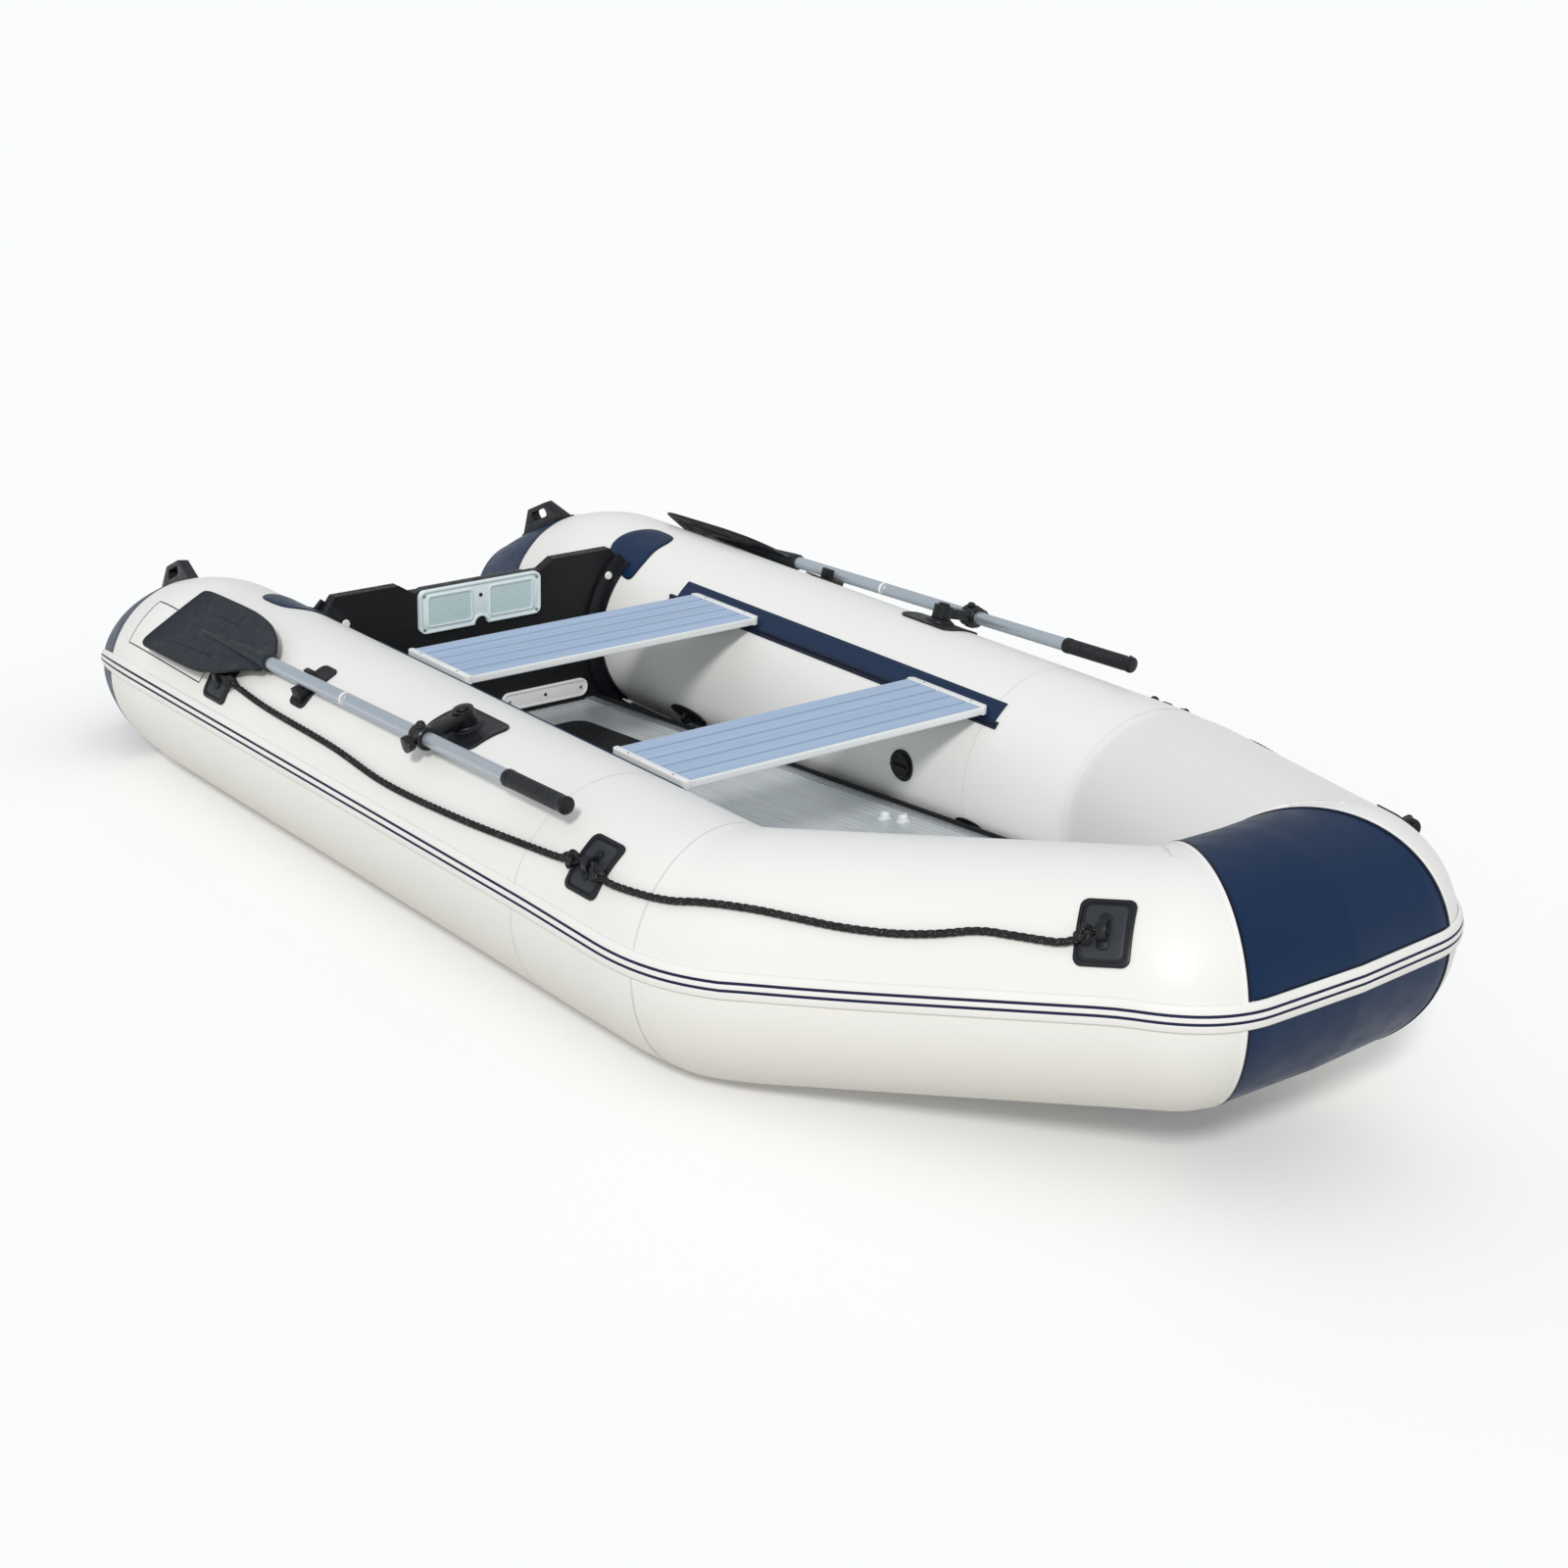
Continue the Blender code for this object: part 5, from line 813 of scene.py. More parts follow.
def hull_patch(name, outline, distance, angle, side, material, thickness=PATCH_THICKNESS, edge=0.0012,
               dish=0.0, rim=0.0):
    """A glued patch that follows the hull. The outline's X runs along the hull and its Y up round it."""
    stretch, girth = hull_scales(distance, angle)
    outline = resampled(outline, PATCH_POINTS)
    size = max(max(abs(x), abs(y)) for x, y in outline)
    low = thickness - dish
    rims = [(1.0, 0.0), (1.0, thickness - edge), (1 - edge * 0.35 / size, thickness - edge * 0.3),
            (1 - edge / size, thickness)]
    if rim:
        rims += [(1 - rim / size, thickness), (1 - (rim + 0.0012) / size, low), (0.75 - rim / size, low)]
    rims += [(share, low) for share in ((0.5, 0.25) if rim else (0.8, 0.6, 0.4, 0.2))]
    rings, places = [], []
    for share, height in reversed(rims):
        rings.append([on_hull(distance + x * share / stretch, angle + y * share / girth, GAP + height, side)
                      for x, y in outline])
        places.append([(distance + x * share, angle * TUBE_RADIUS + y * share) for x, y in outline])
    middle = (on_hull(distance, angle, GAP + low, side), (distance, angle * TUBE_RADIUS))
    return surface(name, rings, material, ring=True, caps=False, smooth=50, places=places, pole=middle)


stretch, girth = hull_scales(*LEAF_MIDDLE)
leaf = smooth_outline([((d - LEAF_MIDDLE[0]) * stretch, (math.radians(a) - LEAF_MIDDLE[1]) * girth)
                       for d, a in LEAF])
wide = [(x * LEAF_EDGE_SHARE, y * LEAF_EDGE_SHARE) for x, y in leaf]
for side, word in SIDES:
    holder = f"transom_holder_{word}"
    trim(hull_patch(f"tube_leaf_edge_{word}", wide, *LEAF_MIDDLE, side, DARK_TAPE, 0.0008, edge=0.0003),
         holder)
    trim(hull_patch(f"tube_leaf_{word}", leaf, *LEAF_MIDDLE, side, NAVY, 0.0013, edge=0.0005), holder)


def frame_line():
    """The frame's line in steps, as distances and metres round the tube."""
    line = []
    for (d0, a0), (d1, a1) in zip(LABEL_FRAME, LABEL_FRAME[1:]):
        way = on_hull(d0, math.radians(a0)) - on_hull(d1, math.radians(a1))
        count = max(2, round(way.length / LABEL_STEP))
        line += [Vector((d0 + (d1 - d0) * i / count, math.radians(a0 + (a1 - a0) * i / count) * TUBE_RADIUS))
                 for i in range(count)]
    return line


def label_frame(name, side):
    line, rows = frame_line(), []
    for before, point, after in zip([line[-1], *line], [*line, line[0]], [*line[1:], *line[:2]]):
        way = (after - before).normalized()
        across = Vector((-way.y, way.x)) * LABEL_LINE / 2
        rows.append([(place.x, place.y / TUBE_RADIUS, LABEL_RISE, side)
                     for place in (point + across, point - across)])
    return hull_sheet(name, rows, DARK_TAPE)


for side, word in SIDES:
    trim(label_frame(f"label_outline_{word}", side), f"hull_tube_{word}")


# Grab line patches
# Moulded black rubber, glued to the tube: a rimmed pad with a sunk greyish field, and in its middle a lug
# with a round eye for the rope over a flat ridge.

LUG_WIDTH, LUG_RISE, LUG_LENGTH, LUG_SIDES, LUG_FLARE = 0.034, 0.0235, 0.016, 40, 0.004
RUBBER = finish("rubber_black", (0.0062, 0.0072, 0.0105), 0.46, wear=0.7, patchy=14,
                grain=(520, 0.25, 0.0005), shine=0.38)
PAD = finish("rubber_field", (0.030, 0.034, 0.042), 0.50, wear=0.85, grain=(300, 0.12, 0.0003))


def rounded(made, width, segments=2, angle=30):
    bevel = made.modifiers.new("edges", "BEVEL")
    bevel.width, bevel.segments, bevel.limit_method = width, segments, "ANGLE"
    bevel.angle_limit = math.radians(angle)
    bevel.harden_normals = False
    return made


def plate(name, outline, thickness, place, material, edge=0.0, hole=None, segments=2):
    """A plate of an outline in X and Y, with rounded edges and an optional hole of as many points."""
    shape = bmesh.new()
    rim = [shape.verts.new((x, y, 0)) for x, y in outline]
    if hole:
        inner = [shape.verts.new((x, y, 0)) for x, y in hole]
        for i in range(len(rim)):
            shape.faces.new((rim[i - 1], rim[i], inner[i], inner[i - 1]))
    else:
        shape.faces.new(rim)
    raised = bmesh.ops.extrude_face_region(shape, geom=shape.faces[:])["geom"]
    bmesh.ops.translate(shape, vec=(0, 0, thickness),
                        verts=[v for v in raised if isinstance(v, bmesh.types.BMVert)])
    bmesh.ops.transform(shape, matrix=place, verts=shape.verts)
    made = finished(shape, name, material, closed=True)
    return rounded(made, edge, segments) if edge else made


def arc(radius, start, end, steps, x=0.0, y=0.0):
    """Points of an arc between two angles, both ends included."""
    turns = [start + (end - start) * i / steps for i in range(steps + 1)]
    return [(x + radius * math.cos(t), y + radius * math.sin(t)) for t in turns]


def rounded_outline(length, width, corner, steps=8, x=0.0, y=0.0):
    points = []
    for k, (sx, sy) in enumerate(((1, 1), (-1, 1), (-1, -1), (1, -1))):
        points += arc(corner, math.pi / 2 * k, math.pi / 2 * (k + 1), steps, x + sx * (length / 2 - corner),
                      y + sy * (width / 2 - corner))
    return points


def standing(x):
    """A plate's outline stands in Y and Z, with its thickness along X."""
    return Matrix(((0, 0, 1, x), (1, 0, 0, 0), (0, 1, 0, 0), (0, 0, 0, 1)))


def lug_piece(name, place, width, rise, length, hole_radius, hole_lift):
    """An arched lug with a round eye through it, flared at its foot."""
    straight, outline, hole = rise - width / 2, [], []
    for i in range(LUG_SIDES):
        t = 2 * math.pi * i / LUG_SIDES
        c, s = math.cos(t), math.sin(t)
        if s >= 0:
            outline.append((width / 2 * c, straight + width / 2 * s))
        else:
            outline.append(((width / 2 - LUG_FLARE * s) * c, max(straight + width / 2 * s * 1.4, -0.0006)))
        hole.append((hole_radius * c, hole_lift + hole_radius * s))
    return plate(name, outline, length, place @ standing(-length / 2), RUBBER, 0.0016, hole)


def hull_frame(distance, angle, side, lift=0.0):
    """X towards the bow, Y across, Z out of the skin."""
    origin = on_hull(distance, angle, lift, side)
    along = on_hull(distance + PROBE, angle, lift, side) - on_hull(distance - PROBE, angle, lift, side)
    return frame_of(origin, along, on_hull(distance, angle, lift + PROBE, side) - origin)


for side, word in SIDES:
    for name, spot in zip(("aft", "middle", "bow"), PATCHES):
        node = f"grab_patch_{name}_{word}"
        place = hull_frame(*spot, side, GAP)
        pad = rounded_outline(PATCH_LENGTH, PATCH_GIRTH, PATCH_CORNER)
        field = rounded_outline(PATCH_LENGTH - 0.024, PATCH_GIRTH - 0.024, 0.010)
        parts = [hull_patch("pad", pad, *spot, side, RUBBER, dish=0.0020, rim=0.007),
                 hull_patch("field", field, *spot, side, PAD, PATCH_THICKNESS - 0.0011, edge=0.0006),
                 lug_piece("lug", place, LUG_WIDTH, LUG_RISE, LUG_LENGTH, LUG_HOLE_RADIUS,
                           PATCH_THICKNESS + GAP + LUG_HOLE_RADIUS),
                 plate("ridge", rounded_outline(0.020, 0.060, 0.009, 6), 0.0042,
                       place @ Matrix.Translation((0, 0, 0.0006)), RUBBER, 0.0012)]
        give(joined(f"{node}_moulding", parts), node)


# Lashing patches
# Small leaf-shaped rubber patches with an eye, glued low inside the tubes to tie things down: a pair aft and
# a smaller pair forward.

LASHING_PLACE, TIE_PLACE = (0.983, math.radians(212)), (1.950, math.radians(200))
LASHING_LEAF = ((-0.064, -0.002), (-0.030, 0.021), (0.012, 0.025), (0.052, 0.013), (0.064, -0.006),
                (0.040, -0.021), (-0.006, -0.0255), (-0.046, -0.019))
TIE_LEAF = ((-0.047, -0.004), (-0.020, 0.014), (0.020, 0.016), (0.047, 0.004), (0.022, -0.014),
            (-0.022, -0.016))


def eyed_leaf(name, leaf, place, side, thickness, edge, lug):
    parts = [hull_patch("pad", smooth_outline(leaf), *place, side, RUBBER, thickness, edge=edge),
             lug_piece("lug", hull_frame(*place, side, GAP), *lug)]
    return joined(name, parts)


for side, word in SIDES:
    node = f"lashing_patch_{word}"
    give(eyed_leaf(f"{node}_moulding", LASHING_LEAF, LASHING_PLACE, side, PATCH_THICKNESS, 0.0014,
                   (0.026, 0.0235, 0.010, 0.0055, PATCH_THICKNESS + 0.0055 + 0.0006)), node)
    trim(eyed_leaf(f"tie_down_{word}", TIE_LEAF, TIE_PLACE, side, 0.003, 0.0012,
                   (0.018, 0.014, 0.008, 0.0035, 0.008)), f"hull_tube_{word}")


# Stern handles
# A rubber carrying handle stands on each stern cone: a rounded bar with a finger slot, moulded on a foot
# that is glued to the navy cap.

HANDLE_PLACE, HANDLE_LENGTH, HANDLE_THICKNESS, HANDLE_POINTS = (0.181, math.radians(97)), 0.172, 0.024, 96
HANDLE_TOP, SLOT_LIFT = ((0.0375, 0.052), (-0.0375, 0.052)), 0.030
for side, word in SIDES:
    node = f"stern_handle_{word}"
    place = hull_frame(*HANDLE_PLACE, side)
    foot = hull_patch("foot", rounded_outline(0.190, 0.050, 0.016), *HANDLE_PLACE, side, RUBBER)
    root = []
    for i in range(13):
        shift = HANDLE_LENGTH * (i / 12 - 0.5)
        point = place.inverted() @ on_hull(HANDLE_PLACE[0] + shift, HANDLE_PLACE[1], 0.0015, side)
        root.append((point.x, point.z))
    slot = resampled(rounded_outline(0.060, 0.022, 0.0075, y=SLOT_LIFT), HANDLE_POINTS)
    upright = Matrix(((1, 0, 0, 0), (0, 0, -1, HANDLE_THICKNESS / 2), (0, 1, 0, 0), (0, 0, 0, 1)))
    grip = plate("grip", resampled([*root, *HANDLE_TOP], HANDLE_POINTS), HANDLE_THICKNESS, place @ upright,
                 RUBBER, 0.003, slot)
    give(joined(f"{node}_moulding", [foot, grip]), node)


# Transom
# A black board stands between the tubes to carry the motor, held by rubber holders with capped bolts
# through both. A plastic plate on its outer face takes the motor clamp's screws. The CAD nodes are kept.

TRANSOM_X, TRANSOM_THICKNESS = STERN_X + 0.651, 0.027
TRANSOM_TOP = TUBE_CENTRE + TUBE_RADIUS - 0.0155
DIP_TOP, FRONT = TRANSOM_TOP - 0.022, TRANSOM_X + GAP
BOARD = finish("board_black", (0.0075, 0.0082, 0.0098), 0.48, wear=0.7, patchy=6, grain=(160, 0.25, 0.0006),
               scale=(1, 1, 3), shine=0.3)
PLASTIC = finish("plastic_black", (0.0052, 0.0058, 0.0075), 0.36, wear=0.75, patchy=18,
                 grain=(900, 0.2, 0.0003), shine=0.42)
WHITE_PLASTIC = finish("plastic_white", (0.84, 0.845, 0.83), 0.38, wear=0.95, patchy=9,
                       grain=(700, 0.1, 0.0003))


def dress(node, material, edge):
    """Keeps a CAD node and gives it its finish, with softened edges."""
    made = frame["nodes"][node]
    made.data.materials.clear()
    made.data.materials.append(material)
    made.data.polygons.foreach_set("material_index", [0] * len(made.data.polygons))
    made.data.shade_smooth()
    made.data.set_sharp_from_angle(angle=math.radians(32))
    rounded(made, edge, 2, 32)


dress("transom_board", BOARD, 0.0015)
dress("motor_plate_outer", PLASTIC, 0.0012)
for side, word in SIDES:
    dress(f"transom_holder_{word}", RUBBER, 0.0015)
    dress(f"holder_bolt_{word}", WHITE_PLASTIC, 0.0008)


# Inner motor plate
# A pale plastic plate screwed to the transom's inner face under its dip. Two framed fields with fine ribs
# are sunk into it, and a half-round notch is cut into the middle of its lower edge.

MOTOR_WIDE, MOTOR_TALL, MOTOR_BASE, MOTOR_RAISED, MOTOR_POINTS = 0.324, 0.100, 0.0085, 0.0035, 420
MOTOR_MIDDLE = DIP_TOP + 0.003 - MOTOR_TALL / 2
NOTCH_LOW, NOTCH_RADIUS, NOTCH_RIM = MOTOR_MIDDLE - MOTOR_TALL / 2, 0.018, 0.0235
FIELD_SHIFT, RIB_ROWS, RIB_PITCH, RIB_FIRST = 0.082, 11, 0.006, -0.030
SCREW_Y, SCREW_Z = 0.151, 0.040
PLATE = finish("plate_pale", (0.60, 0.74, 0.77), 0.40, wear=0.93, patchy=8, grain=(700, 0.2, 0.0003))
PLATE_RIM = finish("plate_rim", (0.78, 0.88, 0.90), 0.36, wear=0.95, patchy=8, grain=(700, 0.12, 0.0003))
STEEL = finish("stainless", (0.62, 0.63, 0.64), 0.25, 1.0, wear=0.85, patchy=40, grain=(900, 0.2, 0.0002),
               shine=0.5)


def turned(name, place, profile, material, sides=40):
    """A round piece: its profile of radius and height spun about Z, with both ends closed."""
    shape = bmesh.new()
    line = [shape.verts.new((radius, 0, height)) for radius, height in profile]
    edges = [shape.edges.new(pair) for pair in zip(line, line[1:])]
    bmesh.ops.spin(shape, geom=[*line, *edges], cent=(0, 0, 0), axis=(0, 0, 1), angle=2 * math.pi,
                   steps=sides, use_merge=True)
    bmesh.ops.holes_fill(shape, edges=[edge for edge in shape.edges if edge.is_boundary], sides=0)
    bmesh.ops.transform(shape, matrix=place, verts=shape.verts)
    return finished(shape, name, material, closed=True)


def notched(points, radius):
    """Lifts the lower edge's middle to a half-round notch."""
    return [(y, max(z, NOTCH_LOW + math.sqrt(max(0.0, radius ** 2 - y ** 2)))
             if abs(y) < radius and z < MOTOR_MIDDLE else z) for y, z in points]


def facing_bow(x, y, z):
    return frame_of(Vector((x, y, z)), (0, 0, 1), (1, 0, 0))


whole = resampled(rounded_outline(MOTOR_WIDE, MOTOR_TALL, 0.016, 10, y=MOTOR_MIDDLE), MOTOR_POINTS)
outer = notched(whole, NOTCH_RADIUS)
inner = notched([(y * 0.965, MOTOR_MIDDLE + (z - MOTOR_MIDDLE) * 0.90) for y, z in whole], NOTCH_RIM)
raised = standing(FRONT + MOTOR_BASE)
parts = [plate("base", outer, MOTOR_BASE, standing(FRONT), PLATE_RIM, 0.001),
         plate("rim", outer, MOTOR_RAISED, raised, PLATE_RIM, 0.0009, inner)]
for y0 in (-FIELD_SHIFT, FIELD_SHIFT):
    edge = resampled(rounded_outline(0.120, 0.074, 0.0075, 8, y0, MOTOR_MIDDLE), 96)
    well = resampled(rounded_outline(0.112, 0.066, 0.0053, 8, y0, MOTOR_MIDDLE), 96)
    parts += [plate("frame", edge, MOTOR_RAISED, raised, PLATE_RIM, 0.0008, well),
              plate("field", well, 0.0010, raised, PLATE)]
    for row in range(RIB_ROWS):
        rib = rounded_outline(0.104, 0.0026, 0.0012, 3, y0, MOTOR_MIDDLE + RIB_FIRST + RIB_PITCH * row)
        parts.append(plate("rib", rib, 0.0016, standing(FRONT + MOTOR_BASE + 0.0003), PLATE))
for sy in (-1, 1):
    for sz in (-1, 1):
        place = facing_bow(FRONT + 0.0115, sy * SCREW_Y, MOTOR_MIDDLE + sz * SCREW_Z)
        parts.append(turned("screw", place, ((0.0042, -0.001), (0.0042, 0.0006), (0.003, 0.0014),
                                             (0.0008, 0.0016)),
                            STEEL, 20))
parts.append(turned("dot", facing_bow(FRONT + MOTOR_BASE, 0, MOTOR_MIDDLE + 0.018),
                    ((0.0045, 0), (0.0045, 0.0015), (0.0034, 0.0022), (0.0005, 0.0024)), PLASTIC, 20))
give(joined("motor_plate_inner_moulding", parts), "motor_plate_inner")
trim(plate("motor_notch", arc(0.0175, 0, math.pi, 24, 0, NOTCH_LOW), 0.001, standing(FRONT), PLASTIC),
     "motor_plate_inner")


# Lower plate
# A small white plastic plate with a raised rim, low on the port half of the transom's inner face. Two
# screws hold it, with a black button between them.

LOWER_Y, LOWER_Z, LOWER_BASE = HALF_SPACING - TUBE_RADIUS - 0.0254 - 0.120, 0.095, 0.006
outline = resampled(rounded_outline(0.240, 0.043, 0.0193, 10, LOWER_Y, LOWER_Z), 96)
inset = resampled(rounded_outline(0.229, 0.032, 0.0140, 10, LOWER_Y, LOWER_Z), 96)
parts = [plate("base", outline, LOWER_BASE, standing(FRONT), WHITE_PLASTIC, 0.001),
         plate("rim", outline, 0.002, standing(FRONT + LOWER_BASE), WHITE_PLASTIC, 0.0008, inset)]
for y0, material in ((-0.100, STEEL), (0.0, PLASTIC), (0.100, STEEL)):
    parts.append(turned("dot", facing_bow(FRONT + LOWER_BASE, LOWER_Y + y0, LOWER_Z),
                        ((0.0040, 0), (0.0040, 0.0012), (0.003, 0.0018), (0.0006, 0.0019)), material, 20))
give(joined("transom_lower_plate_moulding", parts), "transom_lower_plate")


# Drain plug
# Black plastic, screwed into the transom from outside: a shank, a cap ribbed for the fingers and a bar
# across it to turn it by.

DRAIN_RIBS = 18
place = frame_of(Vector((TRANSOM_X - TRANSOM_THICKNESS - GAP, -0.150, 0.075)), (0, 0, 1), (-1, 0, 0))
DRAIN_CAP = ((0.024, 0), (0.024, 0.009), (0.0225, 0.0115), (0.019, 0.012), (0.018, 0.0105), (0.0005, 0.0105))
parts = [turned("cap", place, DRAIN_CAP, PLASTIC),
         turned("shank", place, ((0.0155, -0.026), (0.0155, 0.001)), PLASTIC),
         plate("bar", rounded_outline(0.040, 0.008, 0.0035, 5), 0.0095,
               place @ Matrix.Translation((0, 0, 0.0105)), PLASTIC, 0.0012)]


def ribs_round(place, count, radius, lift, outline, height):
    """Fine ribs for the fingers round a cap."""
    return [plate("rib", outline, height, place @ Matrix.Rotation(2 * math.pi * k / count, 4, "Z")
                  @ Matrix.Translation((radius, 0, lift)), PLASTIC) for k in range(count)]


parts += ribs_round(place, DRAIN_RIBS, 0.0236, 0.0005, rounded_outline(0.0016, 0.0030, 0.0006, 2), 0.0082)
give(joined("drain_plug_moulding", parts), "drain_plug")


# Floor boards
# Three boards of extruded aluminium planks side by side, grooved and brushed lengthwise, lie between the
# tubes and taper to the bow. A black sheet on the aft one is painted shadow of the rear bench and the near
# tube, and two clear fittings stand by a joint.

FLOOR_RISE, FLOOR_LOW = math.radians(3.605), 0.060
FLOOR_HALF = HALF_SPACING - TUBE_RADIUS - 0.0054
FLOOR_TIP, FLOOR_TIP_HALF = STERN_X + NOSE_AT - NOSE_RADIUS - 0.1095, 0.120
FLOOR_SHOULDER = STERN_X + BEND - 0.0722
BOARD_LENGTH, BOARD_JOINT, BOARD_THICKNESS = 0.575, 0.0012, 0.012
PLANKS, PLANK_RIBS, RIB_DEPTH = 6, 4, 0.0009
# Size and place of the black sheet on the aft board, a painted shadow of the rear bench and the near tube
SHADOW_LENGTH, SHADOW_WIDTH, SHADOW_CORNER, SHADOW_PLACE = 0.410, 0.375, 0.035, (TRANSOM_X + 0.145, -0.190)
FITTINGS = ((0.196, 0.245), (0.232, 0.262))
FITTING = ((0.0150, 0), (0.0150, 0.0020), (0.0115, 0.0040), (0.0105, 0.0120), (0.0085, 0.0150),
           (0.0004, 0.0160))


def brushed(name, colour, along, rough=0.30, metal=0.75, lines=42.0, depth=0.3, wear=0.72):
    """Extruded aluminium, brushed along one axis."""
    made, tree = blank(name)
    squeeze = [1.0, 1.0, 1.0]
    squeeze[along] = 0.02
    where = coordinates(tree, tuple(squeeze))
    fine = texture(where, lines * 22, 4, 0.6)
    tone = mixed(ranged(texture(where, lines, 3, 0.6), 0, 1, 0.25, 0.75), darker(colour, wear), colour)
    dull = ranged(texture(coordinates(tree), 4, 3), 0, 0.25)
    return filled(made, {"Base Color": mixed(dull, tone, darker(colour, 0.85)), "Metallic": metal,
                         "Roughness": ranged(fine, rough - 0.08, rough + 0.1),
                         "Normal": bumped(fine, depth, 0.0004)})


FLOOR = brushed("floor_aluminium", (0.65, 0.69, 0.71), 0, rough=0.40, metal=0.25, lines=26, wear=0.88)
# Painted shadow: this black stands for the shade that the rear bench and the near tube cast on the floor
FLOOR_SHADOW = finish("painted_floor_shadow", (0.0060, 0.0070, 0.0100), 0.6, wear=0.6, patchy=20, grain=(240, 0.5, 0.0010),
             shine=0.25)
CLEAR = finish("fitting_clear_white", (0.80, 0.84, 0.86), 0.10, wear=0.85, patchy=40, coat=1.0, shine=0.8)


def floor_top(x):
    return FLOOR_LOW + math.tan(FLOOR_RISE) * (x - TRANSOM_X)


def floor_edge(x):
    if x <= FLOOR_SHOULDER:
        return FLOOR_HALF
    return FLOOR_HALF + (FLOOR_TIP_HALF - FLOOR_HALF) * (x - FLOOR_SHOULDER) / (FLOOR_TIP - FLOOR_SHOULDER)


def plank_tops():
    """The boards' upper section across the boat: a shallow joint between planks, and grooves on each."""
    tops, pitch = [], 2 * FLOOR_HALF / PLANKS
    for k in range(PLANKS):
        left = -FLOOR_HALF + pitch * k
        tops += [(left, -0.0012), (left + 0.0012, 0.0), (left + 0.020, 0.0)]
        for r in range(PLANK_RIBS):
            at = left + pitch * (0.27 + 0.155 * r)
            tops += [(at - 0.0036, 0.0), (at - 0.0026, -RIB_DEPTH), (at + 0.0026, -RIB_DEPTH),
                     (at + 0.0036, 0.0)]
        tops.append((left + pitch - 0.0012, 0.0))
    return [*tops, (FLOOR_HALF, -0.0012)]


def floor_board(name, x0, x1):
    stops = [x0, *spread(x0 + 0.001, x1 - 0.001, 0.04), x1]
    if x0 < FLOOR_SHOULDER < x1:
        stops = sorted([*stops, FLOOR_SHOULDER])
    rings = []
    for k, x in enumerate(stops):
        drop = 0.0008 if k in (0, len(stops) - 1) else 0.0
        half, top = floor_edge(x), floor_top(x)
        rings.append([Vector((x, y * half / FLOOR_HALF, top + z - drop)) for y, z in plank_tops()]
                     + [Vector((x, y, top - BOARD_THICKNESS)) for y in (half, -half)])
    return surface(name, rings, FLOOR, ring=True, smooth=30)


aft = FRONT
for word, fore in (("aft", aft + BOARD_LENGTH), ("middle", aft + 2 * BOARD_LENGTH + BOARD_JOINT),
                   ("bow", FLOOR_TIP)):
    give(floor_board(f"floor_board_{word}_planks", aft, fore), f"floor_board_{word}")
    aft = fore + BOARD_JOINT
sloped = Matrix.Rotation(-FLOOR_RISE, 4, "Y")
# The painted shadow lies flat on the aft board's slope
shadow_x, shadow_y = SHADOW_PLACE[0] + SHADOW_LENGTH / 2, SHADOW_PLACE[1] + SHADOW_WIDTH / 2
place = Matrix.Translation((shadow_x, shadow_y, floor_top(shadow_x) + 0.0002)) @ sloped
trim(plate("floor_painted_shadow", rounded_outline(SHADOW_LENGTH, SHADOW_WIDTH, SHADOW_CORNER), 0.0040, place, FLOOR_SHADOW, 0.0012),
     "floor_board_aft")
parts = [turned("fitting", Matrix.Translation((x, y, floor_top(x))) @ sloped, FITTING, CLEAR, 32)
         for x, y in FITTINGS]
trim(joined("floor_fittings", parts), "floor_board_middle")


# Side stringers
# Aluminium channels are pushed over the boards' ends on both sides to lock them, and keep their CAD shape.
# A rubber seal closes the gap between each channel and its tube.

RAIL_METAL = brushed("stringer_aluminium", (0.60, 0.64, 0.67), 0, rough=0.3, metal=0.6, lines=60, wear=0.85)
SEAL = ((0, 0.0045), (0.0012, 0.012), (-0.004, 0.0125), (-0.006, 0.0045))
for side, word in SIDES:
    dress(f"floor_stringer_{word}", RAIL_METAL, 0.0008)
    rings = [[Vector((x, side * (FLOOR_HALF + 0.0050 + y), floor_top(x) + z)) for y, z in SEAL]
             for x in spread(FRONT + 0.01, STERN_X + BEND - 0.08, 0.05)]
    trim(surface(f"floor_seal_{word}", rings, RUBBER, ring=True), f"floor_stringer_{word}")


# Keel tube
# A grey inflated tube under the floor's middle. It fills the height between the boards and the bottom skin,
# so it's thicker towards the bow, and its ends are drawn in round.

KEEL_AFT, KEEL_FORE, KEEL_SIDES, KEEL_RINGS = TRANSOM_X + 0.09, FLOOR_TIP - 0.0827, 40, 60
KEEL_END_RINGS, KEEL_END, KEEL_TIP_SHARE = 6, 0.03, 0.05
SKIN_ANGLE, SKIN_SAG, SKIN_RISE = math.radians(242), 0.009, 0.0006
GREY_CLOTH = finish("pvc_grey", (0.26, 0.285, 0.30), 0.5, wear=0.85, patchy=3, grain=(300, 0.2, 0.0005))


def skin_middle(x):
    """Height of the bottom skin under the keel."""
    edge = on_tube(x, SKIN_ANGLE, SKIN_RISE, 1)
    return edge.z + BOW_SLOPE * max(0.0, x - STERN_X - BEND) - SKIN_SAG


rings = []
for i in range(-KEEL_END_RINGS, KEEL_RINGS + KEEL_END_RINGS + 1):
    t = min(1.0, max(0.0, i / KEEL_RINGS))
    past = (i / KEEL_RINGS - t) * KEEL_RINGS / KEEL_END_RINGS
    share = max(KEEL_TIP_SHARE, math.sqrt(max(0.0, 1 - past ** 2)))
    x = KEEL_AFT + (KEEL_FORE - KEEL_AFT) * t + KEEL_END * past
    low, high = skin_middle(x) + 0.0025, floor_top(x) - BOARD_THICKNESS - GAP
    rings.append([Vector((x, y, z)) for y, z in arc((high - low) / 2 * share, 0, 2 * math.pi, KEEL_SIDES, 0,
                                                    (high + low) / 2)[:-1]])
give(surface("keel_tube_skin", rings, GREY_CLOTH, ring=True, smooth=60), "keel_tube")


# Bottom skin
# One sheet of grey coated fabric, glued low along both tubes from the transom to the nose and pulled taut
# over the keel, whose line shows in its middle.

